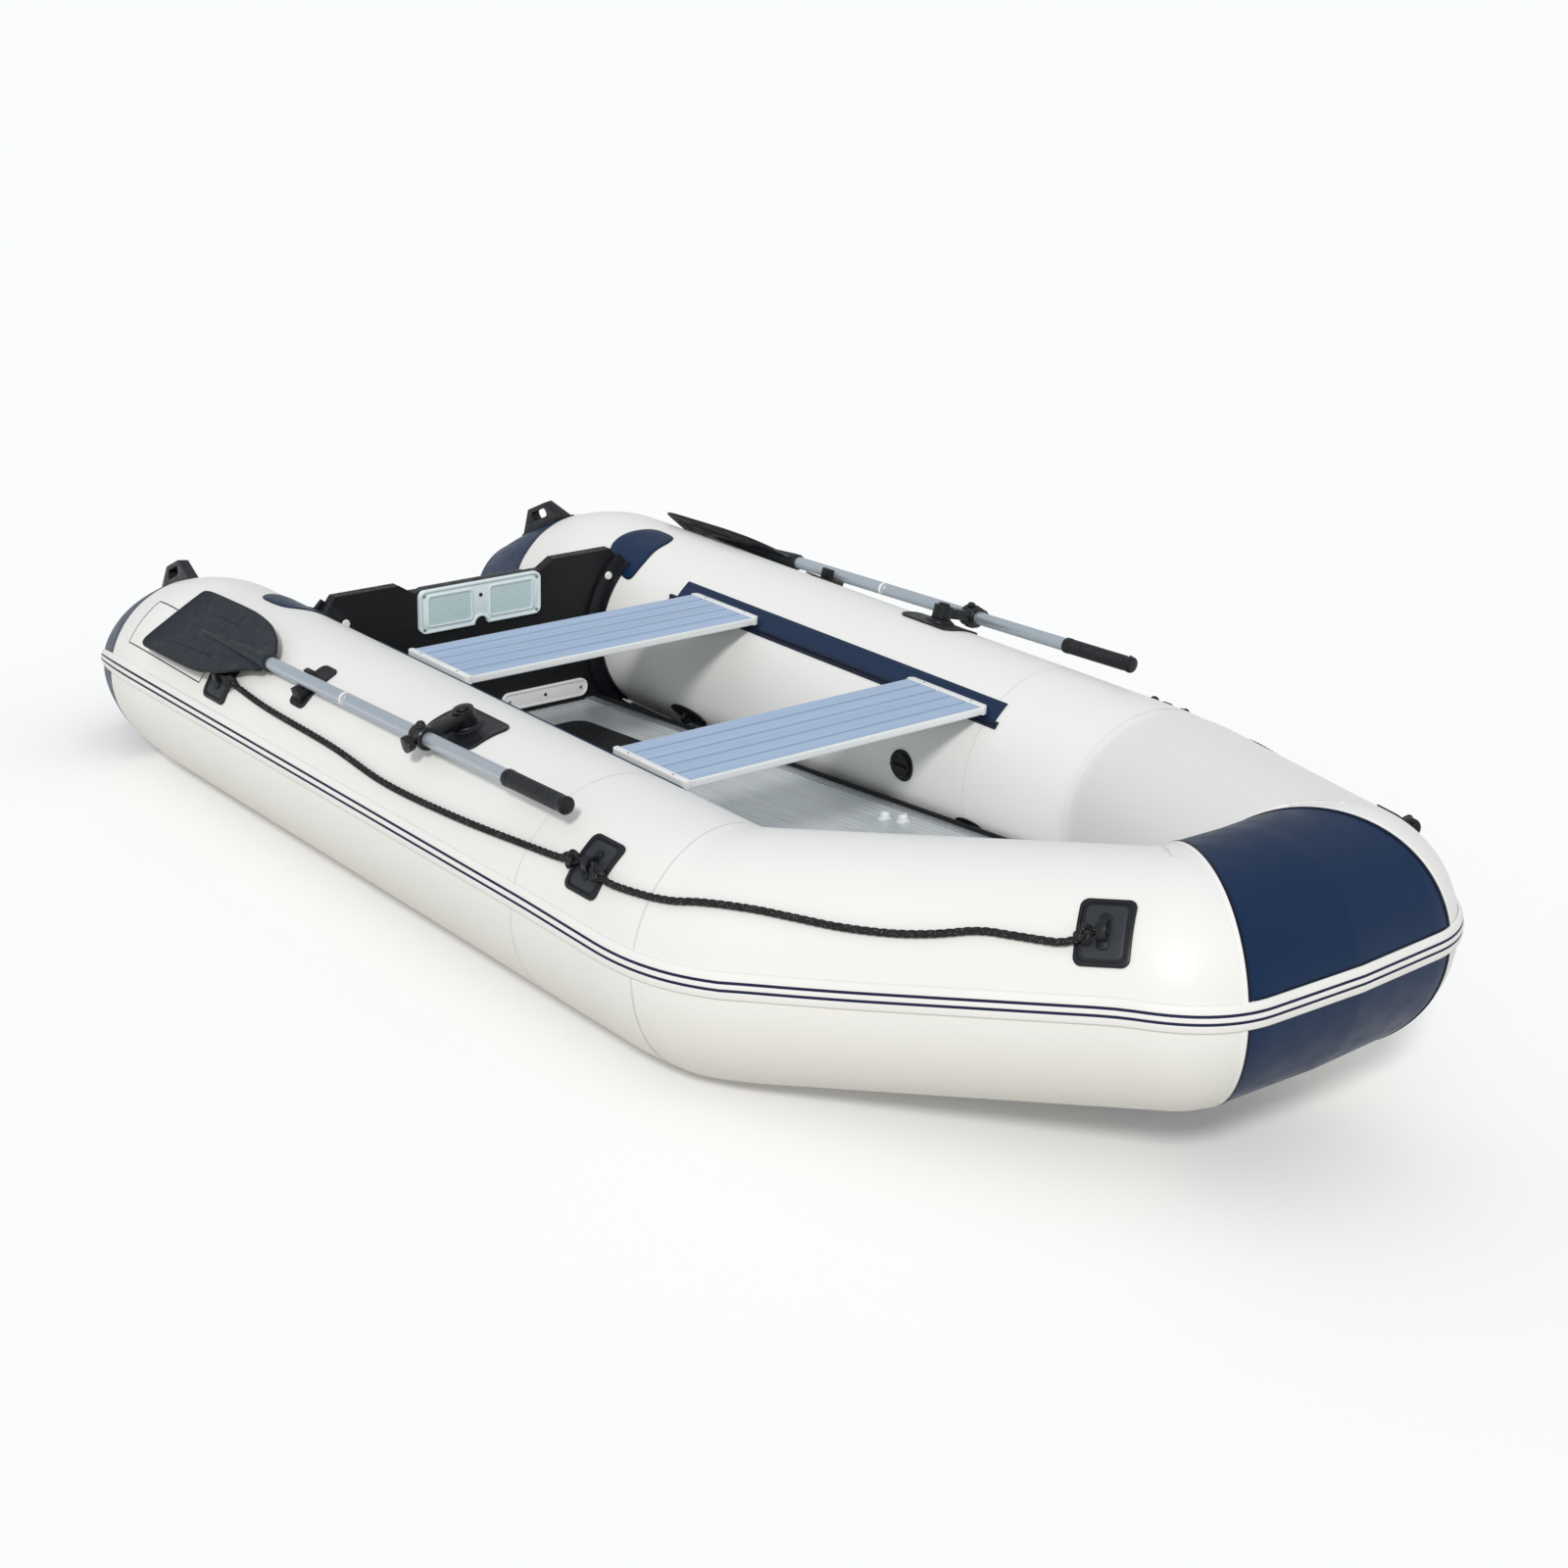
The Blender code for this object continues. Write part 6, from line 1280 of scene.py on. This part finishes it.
SKIN_STEPS, SKIN_CURVE, CUT_SHARE = 24, 1.15, 0.995
rows = []
for distance in spread(0.651 + 2 * GAP, BOW_CORNER_AT - 0.1712, 0.03):
    edge = on_hull(distance, SKIN_ANGLE, SKIN_RISE)
    middle = skin_middle(edge.x) + 0.0002
    rows.append([Vector((edge.x, edge.y * i / SKIN_STEPS,
                         middle + (edge.z - middle) * abs(i / SKIN_STEPS) ** SKIN_CURVE))
                 for i in range(-SKIN_STEPS, SKIN_STEPS + 1)])
bottom = surface("bottom_skin_cloth", rows, GREY_CLOTH, smooth=60, flip=True)
give(bottom, "bottom_skin")


# Benches
# Two planks of extruded aluminium, blue and grooved on top. Their grooves are a darker blue as painted
# shade, and their rounded edges are pale as a painted highlight. A white plastic cap is screwed over each
# end, and slides on the rail.

BENCH_EDGE, BENCH_GROOVES, GROOVE_HALF, GROOVE_DEPTH = 0.0036, 4, 0.0035, 0.0020
CAP_CORNER, CAP_SCREW = 0.010, 0.07
SEAT = brushed("seat_anodised", (0.425, 0.560, 0.770), 1, rough=0.40, metal=0.12, lines=34, wear=0.80)
# Painted highlight: the rounded edges and the ends are a pale metal colour for the light caught on the edges
SEAT_EDGE_HIGHLIGHT = brushed("seat_edge_painted_highlight", (0.84, 0.86, 0.86), 1, rough=0.38, metal=0.05, wear=0.94, depth=0.15)
# Painted shade: the grooves' faces are a darker blue for the shade that falls in them
GROOVE_SHADE = brushed("seat_groove_painted_shade", (0.300, 0.415, 0.590), 1, rough=0.45, metal=0.1, wear=0.85, depth=0.15)
TOP, HIGHLIGHT_TONE, GROOVE_SHADE_TONE = range(3)


def plank_section(half, low, high):
    """The section in X and Z, each point with the tone of the face after it, among the top, the painted edge
    highlight and the painted groove shade.
    """
    reach, quarter = half - BENCH_EDGE, math.pi / 2
    fore = arc(BENCH_EDGE, 0, quarter, 6, reach, high - BENCH_EDGE)
    points = [(*p, HIGHLIGHT_TONE) for p in fore[:-1]] + [(*fore[-1], TOP)]
    for g in range(BENCH_GROOVES):
        x = half - 2 * half / (BENCH_GROOVES + 1) * (g + 1)
        points += [(x + GROOVE_HALF, high, GROOVE_SHADE_TONE), (x + 0.0022, high - GROOVE_DEPTH, GROOVE_SHADE_TONE),
                   (x - 0.0022, high - GROOVE_DEPTH, GROOVE_SHADE_TONE), (x - GROOVE_HALF, high, TOP)]
    for k, x, z in ((1, -reach, high - BENCH_EDGE), (2, -reach, low + BENCH_EDGE),
                    (3, reach, low + BENCH_EDGE)):
        points += [(*p, HIGHLIGHT_TONE) for p in arc(BENCH_EDGE, quarter * k, quarter * (k + 1), 6, x, z)]
    return points


def bench_plank(name, low, high):
    section = plank_section((high.x - low.x) / 2, low.z, high.z)
    middle, length = (low.x + high.x) / 2, high.y
    stops = sorted({-length, 0.02 - length, *[length * (i / 12 - 1) for i in range(1, 24)], length - 0.02,
                    length})

    def tone(row, column):
        here, after = section[column][2], section[(column + 1) % len(section)][2]
        return here if here == GROOVE_SHADE_TONE or here == after == HIGHLIGHT_TONE else TOP

    rings = [[Vector((middle + x, y, z)) for x, z, _ in section] for y in stops]
    return surface(name, rings, [SEAT, SEAT_EDGE_HIGHLIGHT, GROOVE_SHADE], ring=True, smooth=30, tone=tone,
                   cap_tone=HIGHLIGHT_TONE)


def bench_cap(name, low, high, side):
    middle, half = (low.x + high.x) / 2, (high.x - low.x) / 2
    wide, deep = half - CAP_CORNER, high.y - low.y - CAP_CORNER
    corners = [*arc(CAP_CORNER, math.pi, math.pi / 2, 8, -wide, deep),
               *arc(CAP_CORNER, math.pi / 2, 0, 8, wide, deep)]
    inner = low.y if side > 0 else high.y
    outline = [(middle + x, inner + side * y)
               for x, y in [(-half, 0), (-half, 0.001), *corners, (half, 0.001), (half, 0)]]
    parts = [plate("cap", outline[::-side], high.z - low.z, Matrix.Translation((0, 0, low.z)), WHITE_PLASTIC,
                   0.0028, segments=3)]
    for x in (-CAP_SCREW, CAP_SCREW):
        place = frame_of(Vector((middle + x, inner + side * 0.008, high.z - 0.0004)), (1, 0, 0), (0, 0, 1))
        parts.append(turned("screw", place, ((0.0034, -0.001), (0.0034, 0.0001), (0.0024, 0.0004),
                                             (0.0004, 0.0004)),
                            STEEL, 16))
    return joined(name, parts)


for word in ("rear", "front"):
    node = f"seat_board_{word}"
    give(bench_plank(f"{node}_plank", *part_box(node)), node)
    for side, name in SIDES:
        node = f"seat_cap_{word}_{name}"
        give(bench_cap(f"{node}_moulding", *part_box(node), side), node)


# Oar shafts
# Tubes of anodised aluminium in two lengths, with a white sleeve and a grey ring at the joint. Each oar lies
# along its tube beside the oarlock's pin, so it's laid out in the pin's own frame, as in the CAD source.

PIN_FROM_STERN, PIN_ANGLE, OAR_ANGLE = 1.546, math.radians(74.5), math.radians(53.5)
OAR_LIFT, OAR_TILT, SHAFT_RADIUS = 0.041, math.radians(1.7184), 0.014
OAR_SLOPE, OAR_TURN = math.tan(OAR_TILT), PIN_ANGLE - OAR_ANGLE
OFFSET, HEIGHT = (TUBE_RADIUS + OAR_LIFT) * math.sin(OAR_TURN), (TUBE_RADIUS + OAR_LIFT) * math.cos(OAR_TURN)
GRIP_END, BLADE_TIP = 0.474, -1.053
GRIP_LENGTH, BLADE_LENGTH, NECK_LENGTH = 0.189, 0.450, 0.015
BLADE_START = BLADE_TIP + BLADE_LENGTH
NECK = BLADE_START + NECK_LENGTH
SHAFT_FROM, SHAFT_TO = NECK - 0.0497, GRIP_END - GRIP_LENGTH + 0.0997
SLEEVE = ((-0.292, 0.0139), (-0.2915, 0.0146), (-0.2855, 0.0146), (-0.285, 0.0139))
SLEEVE_RING = ((-0.2848, 0.0139), (-0.2845, 0.0143), (-0.2735, 0.0143), (-0.273, 0.0139))
SHAFT = brushed("shaft_anodised", (0.50, 0.56, 0.62), 0, rough=0.30, metal=0.55, lines=90, wear=0.86)


def swing_frame(side):
    """The pin's frame: X to the bow, Y outboard across the tube, Z up the leaning pin."""
    out = Vector((0, side * math.cos(PIN_ANGLE), math.sin(PIN_ANGLE)))
    outboard = Vector((0, side * math.sin(PIN_ANGLE), -math.cos(PIN_ANGLE)))
    made = Matrix((Vector((1, 0, 0)), outboard, out)).transposed().to_4x4()
    made.translation = (STERN_X + PIN_FROM_STERN, side * HALF_SPACING, TUBE_CENTRE)
    return made


def along_shaft(name, side, profile, material, sides=40):
    """A round piece from pairs of place on the shaft and radius."""
    rings = []
    for x, radius in profile:
        place = frame_of(swing_frame(side) @ Vector((x, OFFSET, HEIGHT + OAR_SLOPE * x)), (0, 0, 1),
                         (1, 0, 0))
        rings.append([place @ Vector((u, v, 0)) for u, v in arc(radius, 0, 2 * math.pi, sides)[:-1]])
    return surface(name, rings, material, ring=True)


for side, word in SIDES:
    stops = [(x, SHAFT_RADIUS) for x in (SHAFT_FROM + 0.0005,
                                         *spread(SHAFT_FROM + 0.001, SHAFT_TO - 0.001, 0.05))]
    parts = [along_shaft("tube", side, [(SHAFT_FROM, 0.0138), *stops, (SHAFT_TO, 0.0138)], SHAFT),
             along_shaft("sleeve", side, SLEEVE, WHITE_PLASTIC),
             along_shaft("ring", side, SLEEVE_RING, RAIL_METAL)]
    give(joined(f"oar_shaft_{word}_assembly", parts), f"oar_shaft_{word}")


# Oar grips
# Black rubber, pushed over the shaft's end, with ribs for the hand between two smooth collars. A small
# eyelet for a lanyard is pressed into the end.

GRIP_RADIUS, GRIP_RIBS, GRIP_PITCH, EYELET_LEAN = 0.0168, 22, 0.036, math.radians(14)
# Shares of the grip's length and radius; each rib repeats its four from 0.89 on
GRIP_INNER_SHARES = ((1.0, 0.86), (0.998, 0.96), (0.99, 1.0), (0.94, 1.0), (0.925, 0.97), (0.91, 0.93))
GRIP_RIB_SHARES = ((0.005, 0.93), (0.002, 0.955), (-0.008, 0.955), (-0.011, 0.93))
GRIP_END_SHARES = ((0.085, 0.93), (0.06, 0.96), (0.045, 1.0), (0.02, 1.0), (0.010, 0.94), (0.003, 0.78),
                   (0.0, 0.5))
EYELET = ((0.0062, 0), (0.0062, 0.0012), (0.0052, 0.0018), (0.0036, 0.0018), (0.0032, 0.0008),
          (0.0004, 0.0006))
shares = [*GRIP_INNER_SHARES, *[(0.89 - GRIP_PITCH * k + at, size) for k in range(GRIP_RIBS)
                                for at, size in GRIP_RIB_SHARES],
          *GRIP_END_SHARES]
profile = [(GRIP_END - GRIP_LENGTH * at, GRIP_RADIUS * size) for at, size in shares]
for side, word in SIDES:
    place = (swing_frame(side) @ Matrix.Translation((GRIP_END - 0.016, OFFSET, HEIGHT + OAR_SLOPE * GRIP_END))
             @ Matrix.Rotation(-OAR_TURN - EYELET_LEAN, 4, "X") @ Matrix.Translation((0, 0, 0.0158)))
    parts = [along_shaft("grip", side, profile, RUBBER), turned("eyelet", place, EYELET, PAD, 28)]
    give(joined(f"oar_grip_{word}_moulding", parts), f"oar_grip_{word}")


# Oar blades
# Charcoal plastic, moulded over the shaft's end: a thin leaf with a thicker dark edge, a round core that
# fades out along it, and two low ribs on each face.

BLADE_HALF, BLADE_SHOULDER, CORE_LENGTH, BLADE_POINTS = 0.090, 0.190, 0.300, 220
BLADE_CENTRE, BLADE_TOE = BLADE_START - 0.20, BLADE_TIP + 0.060
RIB_FROM, RIB_TO, RIB_SHIFT, RIB_HALF = 0.340, 0.190, 0.048, 0.0016
# Shares of the shoulder's length, and of half the width on the outboard and inboard edge
SHOULDER_SHARES = ((0.0, 0.30, 0.30), (0.20, 0.38, 0.62), (0.48, 0.66, 0.86), (0.75, 0.84, 0.95),
                   (1.0, 1.0, 1.0))
# Shares of the outline, and half of the thickness there, from the leaf's middle to its edge
LEAF_RINGS = ((0.30, 0.0024), (0.62, 0.0024), (0.955, 0.0026), (0.968, 0.0035), (0.985, 0.0032))
RIM_HALF, RIM_FACES = 0.0018, range(2, 9)
BLADE = finish("plastic_charcoal", (0.0105, 0.0165, 0.0250), 0.46, wear=0.82, patchy=7,
               grain=(700, 0.2, 0.0003))
EDGE = finish("blade_edge_black", (0.006, 0.0068, 0.0085), 0.45, wear=0.8, patchy=12,
              grain=(700, 0.3, 0.0003))


def eased(points):
    """A closed outline with its corners rounded a little by cutting them twice."""
    for _ in range(2):
        pairs = [(Vector(a), Vector(b)) for a, b in zip(points, [*points[1:], points[0]])]
        points = [tuple(a.lerp(b, share)) for a, b in pairs for share in (0.22, 0.78)]
    return points


def blade_outline():
    upper, lower = ([(BLADE_START - BLADE_SHOULDER * s[0], BLADE_HALF * s[k]) for s in SHOULDER_SHARES]
                    for k in (1, 2))
    upper = [(BLADE_START + 0.007, 0.0140), *upper, (BLADE_TIP + 0.05, BLADE_HALF),
             (BLADE_TIP + 0.022, BLADE_HALF),
             (BLADE_TIP + 0.0065, BLADE_HALF - 0.0065), (BLADE_TIP, BLADE_HALF - 0.022)]
    toe = [(BLADE_TOE - 0.022, 0.011 - BLADE_HALF), (BLADE_TOE - 0.010, 0.0035 - BLADE_HALF),
           (BLADE_TOE + 0.022, -BLADE_HALF)]
    lower = [*toe, *[(x, -y) for x, y in reversed(lower)], (BLADE_START + 0.007, -0.0140)]
    return resampled(eased([*upper, *lower]), BLADE_POINTS)


LEAF_LINE = blade_outline()
CORE = ((BLADE_START - CORE_LENGTH, 0.0022), (BLADE_START - CORE_LENGTH + 0.004, 0.0042),
        (BLADE_START - CORE_LENGTH / 2, 0.0115), (BLADE_START - 0.01, 0.0181), (BLADE_START, 0.0185),
        (NECK - 0.002, 0.0185), (NECK, 0.0176), (NECK, 0.0145))
for side, word in SIDES:
    own = (swing_frame(side) @ Matrix.Translation((0, OFFSET, HEIGHT)) @ Matrix.Rotation(-OAR_TILT, 4, "Y")
           @ Matrix.Rotation(-OAR_TURN, 4, "X"))
    levels = [*[(share, -z) for share, z in LEAF_RINGS], (1.0, -RIM_HALF), (1.0, RIM_HALF),
              *reversed(LEAF_RINGS)]
    rings = [[own @ Vector((BLADE_CENTRE + (x - BLADE_CENTRE) * share, y * share, z)) for x, y in LEAF_LINE]
             for share, z in levels]
    core = [[own @ Vector((x, u, v)) for u, v in arc(radius, 0, 2 * math.pi, 40)[:-1]] for x, radius in CORE]
    parts = [surface("leaf", rings, [BLADE, EDGE], ring=True, smooth=30,
                     tone=lambda row, _: int(row in RIM_FACES)),
             surface("core", core, BLADE, ring=True)]
    for y in (-RIB_SHIFT, RIB_SHIFT):
        low, high = BLADE_START - RIB_FROM, BLADE_START - RIB_TO
        rib = [(low, y - RIB_HALF), (high, y * 0.9 - RIB_HALF), (high, y * 0.9 + RIB_HALF),
               (low, y + RIB_HALF)]
        parts += [plate("rib", rib, 0.0014, own @ Matrix.Translation((0, 0, z)), BLADE, 0.0004)
                  for z in (0.0020, -0.0034)]
    give(joined(f"oar_blade_{word}_moulding", parts), f"oar_blade_{word}")


# Oarlock swivels
# Black plastic mouldings that turn on the pin: a hub, an arm, and a split collar round the shaft with two
# ears, a stud on top and a boss for the clamp's knob.

HUB_RADIUS, HUB_HALF, COLLAR_RADIUS = 0.021, 0.0150, 0.0230
HUB = ((0.0195, -HUB_HALF), (HUB_RADIUS, -0.0138), (HUB_RADIUS, 0.0138), (0.0195, HUB_HALF),
       (0.0095, HUB_HALF), (0.0075, 0.0144))
ARM = ((-0.0185, 0.004), (0.0185, 0.004), (0.0175, OFFSET * 0.5), (0.0145, OFFSET), (-0.0145, OFFSET),
       (-0.0175, OFFSET * 0.5))
STUD = ((0.0075, 0), (0.0088, 0.0020), (0.0092, 0.0050), (0.0080, 0.0085), (0.0050, 0.0108), (0.0004, 0.0116))
COLLAR_END = ((0.019, 0.0144), (0.019, 0.0210), (0.0170, COLLAR_RADIUS), (0.008, COLLAR_RADIUS),
              (0.006, 0.0216))
COLLAR = [*[(-x, radius) for x, radius in COLLAR_END], *reversed(COLLAR_END)]
BOSS = ((0.010, 0), (0.0095, 0.004), (0.008, 0.006), (0.008, 0.0105))


def facing_outboard(side, reach):
    swing = swing_frame(side)
    return frame_of(swing @ Vector((0, reach, HEIGHT)), (1, 0, 0), swing.to_3x3() @ Vector((0, 1, 0)))


for side, word in SIDES:
    base = swing_frame(side) @ Matrix.Translation((0, 0, HEIGHT))
    parts = [turned("hub", base, HUB, PLASTIC, 48),
             plate("arm", ARM, 0.022, base @ Matrix.Translation((0, 0, -0.011)), PLASTIC, 0.005, segments=3),
             turned("stud", base @ Matrix.Translation((-0.006, OFFSET - 0.004, 0.018)), STUD, PLASTIC, 28),
             along_shaft("collar", side, COLLAR, PLASTIC, 48),
             turned("boss", facing_outboard(side, OFFSET + 0.016), BOSS, PLASTIC, 32)]
    parts += [plate("ear", rounded_outline(0.022, 0.014, 0.005, 5), 0.005,
                    base @ Matrix.Translation((0, OFFSET, z)), PLASTIC, 0.0012) for z in (-0.0250, 0.0200)]
    give(joined(f"oarlock_swivel_{word}_moulding", parts), f"oarlock_swivel_{word}")


# Clamp knobs
# A three-lobed knob of black plastic on a steel screw stands on the outboard side of each collar, and
# clamps it to the shaft.

KNOB_RADIUS, KNOB_HOLLOW, KNOB_POINTS = 0.0180, 0.0080, 72
KNOB_REACH = OFFSET + 0.0205 + 0.006 + GAP
lobes = []
for i in range(KNOB_POINTS):
    t = 2 * math.pi * i / KNOB_POINTS
    size = KNOB_RADIUS - KNOB_HOLLOW / 2 * (1 - math.cos(3 * t)) / 2
    lobes.append((size * math.cos(t), size * math.sin(t)))
for side, word in SIDES:
    place = facing_outboard(side, KNOB_REACH)
    parts = [plate("head", lobes, 0.0145, place, PLASTIC, 0.0026, segments=3),
             turned("cap", place @ Matrix.Translation((0, 0, 0.0140)),
                    ((0.0062, 0), (0.0062, 0.0008), (0.005, 0.001), (0.0004, 0.001)), PLASTIC, 28),
             turned("screw", place, ((0.003, -0.008), (0.003, 0.001)), STEEL, 20)]
    give(joined(f"oarlock_knob_{word}_moulding", parts), f"oarlock_knob_{word}")


# Oarlock patches
# Rimmed rubber pads glued on top of the tubes, each with a domed foot and a steel pin, which ends in a black
# cap over the swivel.

FOOT_TOP, PIN_LOW = HEIGHT - HUB_HALF - GAP - TUBE_RADIUS, HEIGHT + HUB_HALF + GAP - TUBE_RADIUS
DOME = ((0.0330, 0.0005), (0.0320, 0.0034), (0.0290, 0.0050), (0.0262, 0.0062), (0.0260, FOOT_TOP - 0.0016),
        (0.0245, FOOT_TOP - 0.0002), (0.012, FOOT_TOP))
PIN_CAP = ((0.0130, PIN_LOW), (0.0130, PIN_LOW + 0.0020), (0.0118, PIN_LOW + 0.0036),
           (0.0088, PIN_LOW + 0.0048), (0.0006, PIN_LOW + 0.0050))
for side, word in SIDES:
    foot = swing_frame(side) @ Matrix.Translation((0, 0, TUBE_RADIUS))
    parts = [hull_patch("pad", rounded_outline(0.160, 0.104, 0.022, 10), PIN_FROM_STERN, PIN_ANGLE, side,
                        RUBBER, dish=0.0008, rim=0.007),
             turned("dome", foot, DOME, RUBBER, 48),
             turned("pin", foot, ((0.007, FOOT_TOP), (0.007, PIN_LOW)), STEEL, 28),
             turned("cap", foot, PIN_CAP, PLASTIC, 36)]
    give(joined(f"oarlock_patch_{word}_moulding", parts), f"oarlock_patch_{word}")


# Oar clips
# Rubber pads with an open saddle, glued to the tubes under the shafts. A shaft is pressed into it when the
# oar is stowed.

CLIP_AFT, CLIP_ANGLE, CLIP_LENGTH, CLIP_WIDTH, CLIP_WALL = 0.461, math.radians(54), 0.030, 0.050, 0.024
clip_x = -CLIP_AFT - CLIP_LENGTH / 2
rest = HEIGHT + OAR_SLOPE * clip_x - SHAFT_RADIUS - 2 * GAP
inner, sole = OFFSET - SHAFT_RADIUS - GAP - 0.012, TUBE_RADIUS + 0.001
SADDLE = [(inner + CLIP_WIDTH, rest), (inner + 0.0125, rest), (inner + 0.012, rest + CLIP_WALL - 0.0005),
          (inner + 0.0105, rest + CLIP_WALL), (inner + 0.0015, rest + CLIP_WALL),
          (inner, rest + CLIP_WALL - 0.0015)]
for y in [inner + CLIP_WIDTH * i / 12 for i in range(13)]:
    SADDLE.append((y, math.sqrt(sole ** 2 - y ** 2)))
for side, word in SIDES:
    parts = [hull_patch("pad", rounded_outline(0.055, 0.108, 0.014), PIN_FROM_STERN - CLIP_AFT, CLIP_ANGLE,
                        side, RUBBER, dish=0.0008, rim=0.006),
             plate("saddle", SADDLE, CLIP_LENGTH, swing_frame(side) @ standing(clip_x), RUBBER, 0.0018)]
    give(joined(f"oar_clip_{word}_moulding", parts), f"oar_clip_{word}")


# Air valves
# A black quarter-turn cap, ribbed round its rim and with a bar across it, closes each tube's valve on a thin
# rubber seat on the inner side.

VALVE_PLACE, VALVE_RIBS, SEAT_SIDES = (1.747, math.pi), 20, 48
VALVE_CAP = ((0.0245, 0.0), (0.026, 0.0012), (0.026, 0.0066), (0.0250, 0.0082), (0.0225, 0.0090),
             (0.0215, 0.0080), (0.0004, 0.0080))
for side, word in SIDES:
    place = hull_frame(*VALVE_PLACE, side, TUBE_CENTRE - TUBE_RADIUS + GAP)
    seat = arc(0.034, 0, 2 * math.pi, SEAT_SIDES)[:-1]
    trim(hull_patch(f"valve_seat_{word}", seat, *VALVE_PLACE, side, RUBBER, 0.0022, edge=0.001),
         f"hull_tube_{word}")
    parts = [turned("cap", place, VALVE_CAP, PLASTIC, 48),
             plate("bar", rounded_outline(0.046, 0.006, 0.0028, 5), 0.0060,
                   place @ Matrix.Translation((0, 0, 0.0080)), PLASTIC, 0.0012)]
    parts += ribs_round(place, VALVE_RIBS, 0.0256, 0.0008, rounded_outline(0.0008, 0.0028, 0.0003, 2), 0.0058)
    give(joined(f"valve_cap_{word}_moulding", parts), f"valve_cap_{word}")


# Studio
# A wide pale floor, an even sky and one soft sun from the bow's starboard side. Rays that show the
# background itself see it nearly white, and the boat is lit by plainer tones.

FLOOR_REACH, FLOOR_DROP = 120, 0.0002
FLOOR_TONE, FLOOR_SEEN = (0.50, 0.475, 0.42), (0.93, 0.93, 0.925)
SKY_TONE, SKY_STRENGTH, SKY_SEEN = (0.93, 0.965, 1.0, 1), 0.64, (0.97, 0.98, 0.98, 1)
ground, tree = blank("studio_floor")
seen = tree.node("LightPath", "Is Camera Ray", {}, {})
for kind in ("Is Glossy Ray", "Is Transmission Ray"):
    seen = tree.node("Math", 0, {"operation": "MAXIMUM"}, {0: seen, 1: tree.node("LightPath", kind, {}, {})})
filled(ground, {"Base Color": mixed(seen, FLOOR_TONE, FLOOR_SEEN), "Roughness": 0.95,
                "Specular IOR Level": 0.0,
                "Emission Color": (1.0, 0.995, 0.98, 1), "Emission Strength": 0.10})
floor = surface("studio_floor", [[(x, y, 0) for x in (-FLOOR_REACH, FLOOR_REACH)]
                                 for y in (-FLOOR_REACH, FLOOR_REACH)],
                ground)
floor.location.z = CAD_BOX[0][2] - FLOOR_DROP

world = bpy.data.worlds.new("studio")
scene.world = world
world.use_nodes = True
air = Shade(world.node_tree)
sky, far = (air.node("Background", 0, {}, {"Color": tone, "Strength": strength})
            for tone, strength in ((SKY_TONE, SKY_STRENGTH), (SKY_SEEN, 1.0)))
shown = air.node("MixShader", 0, {}, {0: air.node("LightPath", "Is Camera Ray", {}, {}), 1: sky, 2: far})
air.feed(world.node_tree.nodes["World Output"].inputs["Surface"], shown)
sun = bpy.data.lights.new("key", "SUN")
sun.energy, sun.color, sun.angle = 1.75, (1.0, 0.98, 0.95), math.radians(9)
lamp = bpy.data.objects.new("key", sun)
scene.collection.objects.link(lamp)
lamp.matrix_world = Vector((0.65, -0.72, 0.74)).to_track_quat("Z", "Y").to_matrix().to_4x4()
scene.view_settings.view_transform = "Standard"
